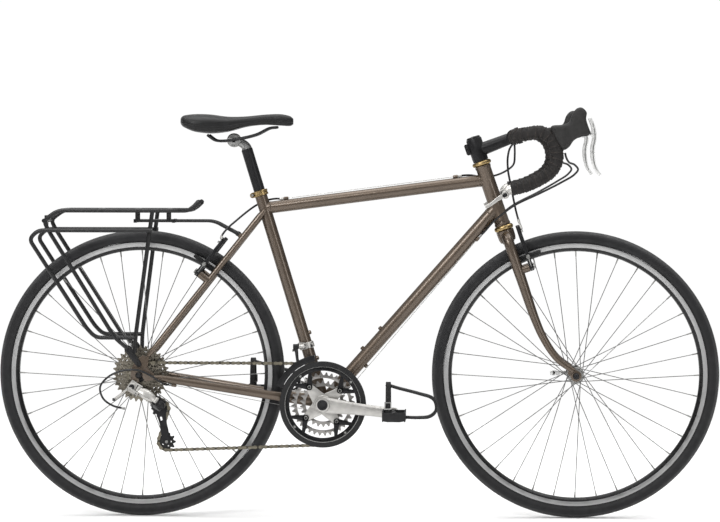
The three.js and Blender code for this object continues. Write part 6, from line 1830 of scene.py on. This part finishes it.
def build_rear_mech():
    upper_body = Shapes()
    y0 = mech_origin.y
    upper_body.add(
        rod(at(hanger_point.x, y0 - 10, hanger_point.z), at(hanger_point.x, y0 + 9.9, hanger_point.z), 10.2, 36, 1.4)
    )
    upper_body.add(
        lathe(
            [(6.6, 0), (6.6, 2), (5.4, 2.6), (3.2, 2.6), (3, 1)], at(hanger_point.x, y0 - 10, hanger_point.z), -Y, 28
        ),
        1,
    )
    lug = [(-9, -10), (-10, 10), (10, 9), (link_start + 5.2, 11), (link_start + 5.2, -11), (10, -9)]
    for z in (10.05, -10.05):
        upper_body.add(plate([lug], 3.4, lambda p, z=z: mech(p[0], p[1], z + p[2]), 0.9, 2))
    core = [(-9, -9), (-9, 9), (8.6, 9), (8.6, -9)]
    upper_body.add(plate([core], 20, lambda p: mech(p[0], p[1], p[2]), 2.0, 3))
    for y in (6.5, -6.5):
        upper_body.add(mech_rod(link_start, y, -12.6, 12.6, 2.4), 1)
    foot = mech_origin + mech_x * (-19.6) + mech_z * (-49)
    upper_body.add(
        tube([mech_origin + mech_x * -5.5 + mech_z * -5.5, mech_origin + mech_x * -12 + mech_z * -28, foot], 2.9, 16)
    )
    upper_body.add(rod(foot - at(4, 0, 0), foot + at(3, 0, 0), 3.6, 20, 0.5), 1)
    upper_body.make("mech_upper_body", "frame", [silver, dark_metal], ["mech_upper_knuckle"], slot="silver_alloy")
    for side, name in ((-1, "outer"), (1, "inner")):
        y = side * 6.5
        plates = Shapes()
        outline = [
            (link_start, -7.6), (link_start - 3, 0), (link_start, 7.6), (link_end, 7.6), (link_end + 3, 0),
            (link_end, -7.6),
        ]
        plates.add(plate([outline], 3.6, lambda p: mech(p[0], y + p[2], p[1]), 1.0, 3))
        for x in (link_start, link_end):
            plates.add(mech_rod(x, y, -7.9, 7.9, 5))
        plates.add(mech_rod((link_start + link_end) / 2, y, -3, 3, 3.2))
        if side < 0:
            rings = []
            for k in range(17):
                w = k / 16
                swell = sin(pi * min(max(w, 0.02), 0.98)) ** 0.5
                x = link_start + 2 + (link_end - link_start - 4) * w
                rings.append(
                    [
                        mech(x, y - 1 - (1.2 + 5.4 * swell) * max(0, -cos(a)) ** 0.8, (5 + 7.6 * swell) * sin(a))
                        for a in [2 * pi * j / 28 for j in range(28)]
                    ]
                )
            plates.add(loft(rings))
        plates.make(
            "mech_link_plate_" + name, "mech_" + name + "_link", [silver], ["mech_" + name + "_link"],
            slot="silver_alloy",
        )
    knuckle = Shapes()
    lug = [(link_end - 5.2, -11), (link_end - 5.2, 11), (mech_reach + 6, 9), (mech_reach + 6, -9)]
    for z in (10.05, -10.05):
        knuckle.add(plate([lug], 3.4, lambda p, z=z: mech(p[0], p[1], z + p[2]), 0.9, 2))
    core = [(link_end + 8, -9), (link_end + 8, 9), (mech_reach + 5, 9), (mech_reach + 5, -9)]
    knuckle.add(plate([core], 20, lambda p: mech(p[0], p[1], p[2]), 2.0, 3))
    for y in (6.5, -6.5):
        knuckle.add(mech_rod(link_end, y, -12.6, 12.6, 2.4), 1)
    knuckle.add(rod(at(cage_pivot.x, -mech_y - 10, cage_pivot.z), at(cage_pivot.x, -61, cage_pivot.z), 10.2, 36, 1.4))
    knuckle.add(
        lathe(
            [(7, 0), (7, 1.8), (5.4, 2.4), (3.2, 2.4), (3, 1)], at(cage_pivot.x, -mech_y - 10, cage_pivot.z), -Y, 28
        ),
        1,
    )
    knuckle.make(
        "mech_lower_body", "mech_lower_knuckle", [black_metal, dark_metal], ["mech_lower_knuckle"],
        slot="silver_alloy",
    )
    guide = at(rear_axle.x + 49.5, chain_line, rear_axle.z - 81)
    tension = at(rear_axle.x + 64.5, chain_line, rear_axle.z - 160)
    cage = Shapes()
    middle = guide.lerp(tension, 0.45)
    slot_hole = link(guide.x + 1.6, guide.z - 22, 3, middle.x, middle.z - 8, 2.4, 8)[::-1]
    upper = link(guide.x, guide.z, 12.6, middle.x, middle.z, 8, 14)
    lower = link(middle.x, middle.z, 8, tension.x, tension.z, 9.6, 14)
    for y in (chain_line - 5.2, chain_line + 5.2):
        cage.add(plate([upper, slot_hole], 2, in_plane(y), 0.5, 2))
        cage.add(plate([lower], 1.96, in_plane(y), 0.5, 2))
    for p in (guide, tension):
        cage.add(rod(p - Y * 6, p + Y * 6, 2.4, 16), 1)
        cage.add(rod(p - Y * 7, p - Y * 6, 3.6, 20, 0.3), 1)
    cage.make("mech_cage_plates", "mech_cage", [black_metal, grey_alloy], ["mech_cage"], slot="dark_steel")
    for p, name in ((guide, "guide_pulley"), (tension, "tension_pulley")):
        pulley = Shapes()
        loops = [toothed(10, 1.5, 4.2), circle(2.8, 16)[::-1]]
        loops += [circle(2.1, 12, *polar(10, k * 2 * pi / 5))[::-1] for k in range(5)]
        pulley.add(plate(loops, 2.4, about(p), 0.4, 2))
        pulley.add(lathe([(2.8, -3.2), (5.6, -3.2), (5.6, 3.2), (2.8, 3.2)], p, Y, 24, closed=True), 1)
        pulley.make(name + "_wheel", name, [black_plastic, dark_metal], [name], slot="black_plastic")
    return guide, tension


guide_pulley, tension_pulley = build_rear_mech()

# Chain

chain_wheels = [
    (bb.x, bb.z, pitch_radius(48), 1), (tension_pulley.x, tension_pulley.z, pitch_radius(10), 1),
    (guide_pulley.x, guide_pulley.z, pitch_radius(10), -1), (rear_axle.x, rear_axle.z, pitch_radius(14), 1),
]


def run_normal(a, b):
    dx, dz = b[0] - a[0], b[1] - a[1]
    return atan2(dz, dx) + acos((a[2] * a[3] - b[2] * b[3]) / sqrt(dx * dx + dz * dz))


def chain_points():
    """The pins' places round the four wheels, an even number of links in all."""
    dense = []
    count = len(chain_wheels)
    for i, wheel_data in enumerate(chain_wheels):
        before, after = chain_wheels[i - 1], chain_wheels[(i + 1) % count]
        x, z, radius, sense = wheel_data
        flip = 0 if sense > 0 else pi
        arrive = run_normal(before, wheel_data) + flip
        leave = run_normal(wheel_data, after) + flip
        if sense > 0:
            while leave > arrive:
                leave -= 2 * pi
            while leave < arrive - 2 * pi:
                leave += 2 * pi
        else:
            while leave < arrive:
                leave += 2 * pi
            while leave > arrive + 2 * pi:
                leave -= 2 * pi
        steps = max(int(abs(leave - arrive) * radius / 0.5), 8)
        dense += [
            (
                x + radius * cos(arrive + (leave - arrive) * k / steps),
                z + radius * sin(arrive + (leave - arrive) * k / steps),
            )
            for k in range(steps + 1)
        ]
        nx, nz = polar(after[2], run_normal(wheel_data, after) + (0 if after[3] > 0 else pi))
        dense.append((after[0] + nx, after[1] + nz))
    lengths = [0.0]
    for (x0, z0), (x1, z1) in zip(dense, dense[1:]):
        lengths.append(lengths[-1] + sqrt((x1 - x0) ** 2 + (z1 - z0) ** 2))
    links = 2 * round(lengths[-1] / chain_pitch / 2)
    out, j = [], 0
    for k in range(links):
        want = lengths[-1] * k / links
        while lengths[j + 1] < want:
            j += 1
        w = (want - lengths[j]) / max(lengths[j + 1] - lengths[j], 1e-9)
        out.append(
            (dense[j][0] + (dense[j + 1][0] - dense[j][0]) * w, dense[j][1] + (dense[j + 1][1] - dense[j][1]) * w)
        )
    return out


def link_plate(a, b, y, thickness):
    """One side plate of the chain, a waisted figure of eight."""
    dx, dz = b[0] - a[0], b[1] - a[1]
    length = sqrt(dx * dx + dz * dz)
    ux, uz = dx / length, dz / length
    half = []
    for k in range(7):
        t = pi / 2 + pi * k / 6
        half.append((4.1 * cos(t), 4.1 * sin(t)))
    other = [(length - x, -z) for x, z in half]
    waist = [(length / 2, -2.8)]
    top = [(length / 2, 2.8)]
    outline = half + waist + other + top
    work = bmesh.new()
    ring = [work.verts.new(at(a[0] + ux * x - uz * z, y - thickness / 2, a[1] + uz * x + ux * z)) for x, z in outline]
    made = bmesh.ops.extrude_face_region(work, geom=[work.faces.new(ring)])["geom"]
    bmesh.ops.translate(work, vec=Y * thickness, verts=[v for v in made if isinstance(v, bmesh.types.BMVert)])
    return sealed(work)


def build_chain():
    links = Shapes()
    pins = chain_points()
    count = len(pins)
    for i, a in enumerate(pins):
        b = pins[(i + 1) % count]
        offset = 2.75 if i % 2 else 1.85
        for sign in (1, -1):
            links.add(link_plate(a, b, chain_line + sign * offset, 0.8), 0 if i % 2 else 1)
        links.add(rod(at(a[0], chain_line - 3.1, a[1]), at(a[0], chain_line + 3.1, a[1]), 1.7, 8, 0.1), 1)
        links.add(rod(at(a[0], chain_line - 1.2, a[1]), at(a[0], chain_line + 1.2, a[1]), 3.7, 12, 0.1), 1)
    links.make("chain_links", "frame", [chain_outer, chain_inner], ["chain"], slot="steel")


build_chain()

# Rack


def build_rack():
    rack = Shapes()
    foot_y = axle_face + gap + 2
    foot_z = rear_axle.z + 26
    top_z = foot_z + 36
    deck_z, strut_z, rail_z, hoop_z, leg_z = 734, 709, 685, 687, 432
    deck_y, strut_y, hoop_y = 60, 22, 71

    def spot(side, ahead, y, z):
        return at(rear_axle.x + ahead, side * y, z)

    for side in (1, -1):
        rail = [
            (142.5, 37, 757), (119.5, 48.5, deck_z), (89.5, deck_y, deck_z), (-195.5, deck_y, deck_z),
            (-228.5, deck_y, 709.5), (-216.25, deck_y, rail_z), (-57.5, foot_y - 2.5, leg_z), (-25, foot_y, top_z),
        ]
        rack.add(tube(bent([spot(side, *p) for p in rail], 16, 7), 5, 20, ends=0.8))
        leg = [(31.5, deck_y, deck_z), (-8, foot_y - 2.5, leg_z), (-9, foot_y, top_z - 9)]
        rack.add(tube(bent([spot(side, *p) for p in leg], 16, 7), 5, 20))
        hoop = [
            (31.5, hoop_y, hoop_z), (-240.5, hoop_y, hoop_z), (-261.5, hoop_y, 666), (-124, hoop_y, 453),
            (-103, hoop_y, leg_z), (-8, foot_y - 2.5, leg_z),
        ]
        rack.add(tube(bent([spot(side, *p) for p in hoop], 22, 8), 5, 20))
        boss = seatstay_end(side).lerp(seatstay_top(side), 0.81)
        strut_end = along(boss, behind_stay, 6.5 + 5 + 0.3 + 3.5)
        strut = [spot(side, -14, strut_y, strut_z), spot(side, 174.5, strut_y, strut_z), strut_end]
        rack.add(tube(bent(strut, 16, 6), 3.5, 16, ends=0.5))
        rack.add(rod(strut_end + Y * (side * 3), strut_end - Y * (side * 3), 5, 24, 0.5))
        rack.add(rod(along(strut_end, behind_stay, 1), along(strut_end, behind_stay, 5.6), 4.2, 6, 0.5), 1)
        for ahead in (-10.5, 64.5):
            rack.add(rod(spot(side, ahead, strut_y, deck_z), spot(side, ahead, strut_y, strut_z), 3.5, 16))
        for ahead in (-14, 78):
            rack.add(
                rod(
                    spot(side, ahead, strut_y, strut_z) + Z * -4.6,
                    spot(side, ahead, strut_y, strut_z) + Z * 4.4,
                    4.4,
                    6,
                    0.5,
                ),
                1,
            )
        shape = link(rear_axle.x - 25, top_z, 9, rear_axle.x, foot_z, 6.5, 12)
        rack.add(plate([shape], 4, in_plane(side * foot_y), 0.8, 2))
        rack.add(
            lathe(
                [(4, 0), (4.6, 0.3), (4.6, 3), (3.8, 4), (2.2, 4), (2, 2)],
                at(rear_axle.x, side * (foot_y + 1), foot_z),
                Y * side,
                24,
            ),
            1,
        )
        rack.add(
            tube(
                spline([spot(side, 118, 48.5, 735.5), spot(side, 131, 42, 745), spot(side, 141, 37.8, 755.5)], 10),
                lambda w: 5.2 + 1.6 * w,
                20,
                ends=1.5,
            )
        )
    for ahead in (119.5 - 0.69 * 315, 119.5 - 0.97 * 315, 64.5, -10.5):
        rack.add(rod(spot(1, ahead, deck_y, deck_z), spot(-1, ahead, deck_y, deck_z), 5, 20))
    rack.add(rod(spot(1, -228.5, deck_y, 709.5), spot(-1, -228.5, deck_y, 709.5), 5, 20))
    tail = rear_axle.x - 228.5
    rack.add(
        plate(
            [[(-20, rail_z), (20, rail_z), (20, 721.75), (-20, 721.75)]],
            4,
            lambda p: at(tail - 2 + p[2], p[0], p[1]),
            0.8,
            2,
        )
    )
    rack.make("rack_tubes", "frame", [black_paint, dark_metal], ["rack"], slot="black_steel")


build_rack()

# Cables

front_brake_route = [
    (371.6, -44.7, 895.4), (369, -38, 894), (361, -31, 883), (356, -28, 860), (357, -30, 830), (364, -34, 793),
    (371, -38, 757), (377, -43, 730), (384, -49, 706), (388.5, -47, 694.5), (389, -41.5, 692.3),
]
rear_brake_front_route = [
    (371.6, 44.7, 895.4), (373, 38, 893), (374, 42, 868), (371, 41, 845), (352, 37, 829), (325, 31, 818),
    (296, 26, 815), (270, 14, 819), (252, 4, 818.8),
]
rear_brake_rear_route = [
    (-200, 14, 762), (-225, 24, 757), (-250, 21, 744), (-275, 9, 725), (-293, -10, 709), (-305, -28, 698),
    (-315, -42, 687), (-322.5, -49, 676), (-325, -48, 668.5), (-325.3, -41.5, 667.3),
]
shift_route = [
    (485.6, -209, 872), (488, -208.5, 862), (495, -206, 850), (507, -202, 845), (516, -199, 834), (508, -193, 822),
    (480, -165, 804), (430, -105, 777), (372, -54, 748), (345, -38, 728), (320, -22, 706), (302, -13, 685),
]
rear_shift_route = [
    (-455, -70, 320), (-470, -79, 329), (-490, -86, 343), (-520, -92, 356), (-555, -92, 355), (-590, -90, 340),
    (-610, -88, 315), (-603, -87, 288), (-580, -86, 271), (-551, -84, 263.5),
]
SEAT = 6.9


def mirrored(points):
    return [(x, -y, z) for x, y, z in points]


def leads(name, sense):
    return [stop_place(name, sense, SEAT), stop_place(name, sense, 12)]


def housing(s, points):
    line = curve_through(points, 3.0)
    s.add(tube(line, 2.45, 14))
    return line


def ferrule(s, start, towards):
    way = (towards - start).normalized()
    s.add(lathe([(2.6, 0), (3, 0.3), (3, 5.6), (2.7, 6.2), (2.7, 9), (2.5, 9.2)], start, way, 18), 1)


def noodle(s, line, start_share=0.62):
    """The bright bent pipe that leads a wire into its brake arm, and its holder."""
    first = int(len(line) * start_share)
    s.add(tube(line[first:], 2.7, 14), 1)
    way = (line[first + 1] - line[first]).normalized()
    s.add(rod(line[first] - way * 3, line[first] + way * 4, 3.2, 16), 1)


def bending_housing(name, route):
    """The free stretch of a housing from the bar to its stop on the frame."""
    stretch = Shapes()
    housing(stretch, route)
    made = stretch.make(name, None, [housing_black], slot="housing")
    Vector(route[-1]) * MM
    Vector(route[0]) * MM
    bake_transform(made)


def build_cables():
    front = Shapes()
    line = housing(front, front_brake_route)
    noodle(front, line, 0.76)
    front.add(tube([at(389, -44, 692.8), at(389, 42, 692.3)], 0.65, 8), 1)
    front.add(
        tube(
            [at(389, -24, 692.7), at(389, -21, 692.7), at(389, 6, 692.6), at(389, 10, 692.6)],
            lambda w: 1.6 + 1.3 * sin(pi * w),
            12,
        ),
        0,
    )
    front.add(rod(at(389, 35, 692.3), at(389, 41, 692.3), 1.2, 10), 1)
    front.make("front_brake_line", "steering", [housing_black, silver], ["front_brake_cable"], slot="housing")
    rear = Shapes()
    bending_housing("rear_brake_bar_housing", rear_brake_front_route + leads("top_front", 1)[::-1])
    line = housing(rear, leads("top_rear", -1) + rear_brake_rear_route)
    noodle(rear, line, 0.86)
    rear.add(tube([stop_place("top_front", 1, 9), stop_place("top_rear", -1, 9)], 0.65, 8), 1)
    ferrule(rear, stop_place("top_front", 1, SEAT - 0.8), stop_place("top_front", 1, 12))
    ferrule(rear, stop_place("top_rear", -1, SEAT - 0.8), stop_place("top_rear", -1, 12))
    rear.add(tube([at(-325.3, -44, 667.6), at(-325.3, 43, 667.3)], 0.65, 8), 1)
    rear.add(tube([at(-325.3, -24, 667.5), at(-325.3, -21, 667.5), at(-325.3, 6, 667.4), at(-325.3, 10, 667.4)],
                  lambda w: 1.6 + 1.3 * sin(pi * w), 12), 0)
    rear.make("rear_brake_line", "frame", [housing_black, silver], ["rear_brake_cable"], slot="housing")
    gears = Shapes()
    bending_housing("front_shift_bar_housing", mirrored(shift_route) + leads("shift_left", 1)[::-1])
    ferrule(gears, stop_place("shift_left", 1, SEAT - 0.8), stop_place("shift_left", 1, 12))
    gears.add(
        tube(
            [
                stop_place("shift_left", 1, 9), stop_place("shift_left", -1, SEAT), at(-70, 8, 251), at(-90, -2, 250),
                at(-105, -10, 262), at(-128, -20, 330), at(-146, -27, 395),
            ],
            0.65,
            8,
        ),
        1,
    )
    gears.make("front_shift_line", "frame", [housing_black, grey_alloy], ["front_shift_cable"], slot="housing")
    gears = Shapes()
    bending_housing("rear_shift_bar_housing", shift_route + leads("shift_right", 1)[::-1])
    housing(gears, leads("chainstay", 1) + rear_shift_route)
    ferrule(gears, stop_place("shift_right", 1, SEAT - 0.8), stop_place("shift_right", 1, 12))
    ferrule(gears, stop_place("chainstay", 1, SEAT - 0.8), stop_place("chainstay", 1, 12))
    ferrule(gears, at(-551, -84, 263.5), at(-580, -86, 271))
    gears.add(
        tube(
            [
                stop_place("shift_right", 1, 9), stop_place("shift_right", -1, SEAT), at(-70, -8, 251),
                at(-95, -11, 252), stop_place("chainstay", -1, SEAT), stop_place("chainstay", 1, 9),
            ],
            0.65,
            8,
        ),
        1,
    )
    gears.make("rear_shift_line", "frame", [housing_black, grey_alloy], ["rear_shift_cable"], slot="housing")


build_cables()

# Camera: where the photograph was taken from

camera_data = bpy.data.cameras.new("camera")
camera_data.sensor_width = 36
camera_data.lens = 141.34
camera_data.clip_end = 100
camera = bpy.data.objects.new("camera", camera_data)
bpy.context.collection.objects.link(camera)
yaw, pitch, roll = radians(2.067), radians(1.981), radians(0.078)
camera.rotation_mode = "XYZ"
camera.matrix_world = (
    Matrix.Translation(Vector((0.248, -6.7606, 0.8474)))
    @ Matrix.Rotation(yaw, 4, "Z")
    @ Matrix.Rotation(pi / 2 - pitch, 4, "X")
    @ Matrix.Rotation(roll, 4, "Z")
)
bpy.context.scene.camera = camera

# Floor and light


def stage_material():
    material, tree, surface, where = shader("pale_floor", (0.9, 0.9, 0.9), 0.85)
    tint = ramp(tree, noise(tree, where, 1.5), [(0.3, (0.89, 0.89, 0.89)), (0.7, (0.92, 0.92, 0.92))])
    tree.links.new(tint, surface.inputs["Base Color"])
    return material


floor_mesh = bpy.data.meshes.new("floor")
floor_work = bmesh.new()
bmesh.ops.create_grid(floor_work, x_segments=1, y_segments=1, size=1)
bmesh.ops.scale(floor_work, vec=(9, 5.8, 1), verts=floor_work.verts)
bmesh.ops.translate(floor_work, vec=(0, -3.2, -0.0005), verts=floor_work.verts)
floor_work.to_mesh(floor_mesh)
floor_work.free()
floor_mesh.materials.append(stage_material())
floor = bpy.data.objects.new("floor", floor_mesh)
bpy.context.collection.objects.link(floor)


def area(name, place, target, size, power):
    data = bpy.data.lights.new(name, "AREA")
    data.shape = "RECTANGLE"
    data.size, data.size_y = size
    data.energy = power
    made = bpy.data.objects.new(name, data)
    made.location = place
    made.rotation_euler = (Vector(target) - Vector(place)).to_track_quat("-Z", "Y").to_euler()
    bpy.context.collection.objects.link(made)


area("key", (-2.4, -4.4, 4.0), (0, 0, 0.4), (3.4, 1.6), 190)
area("fill", (4.2, -4.6, 1.6), (0, 0, 0.5), (1.2, 2.6), 50)
area("top", (0, 0.3, 4.4), (0, 0, 0.3), (6, 3), 170)


def studio_world():
    """White behind the bicycle, below and overhead, grey at the sides, so that tubes show a dark edge."""
    world = bpy.data.worlds.new("studio")
    world.use_nodes = True
    tree = world.node_tree
    way = tree.nodes.new("ShaderNodeTexCoord")
    parts = tree.nodes.new("ShaderNodeSeparateXYZ")
    tree.links.new(way.outputs["Generated"], parts.inputs[0])
    overhead = spread(tree, parts.outputs["Z"], 0.16, 0.95, 0.25, 0.85)
    behind = spread(tree, parts.outputs["Y"], 0.0, 1.02, 0.84, 0.93)
    below = spread(tree, parts.outputs["Z"], 1.0, 0.0, -0.06, -0.01)
    light = math(tree, "MAXIMUM", math(tree, "MAXIMUM", overhead, behind), below)
    tree.links.new(light, tree.nodes["Background"].inputs["Color"])
    tree.nodes["Background"].inputs["Strength"].default_value = 1.0
    bpy.context.scene.world = world


studio_world()
bpy.context.scene.view_settings.view_transform = "Standard"
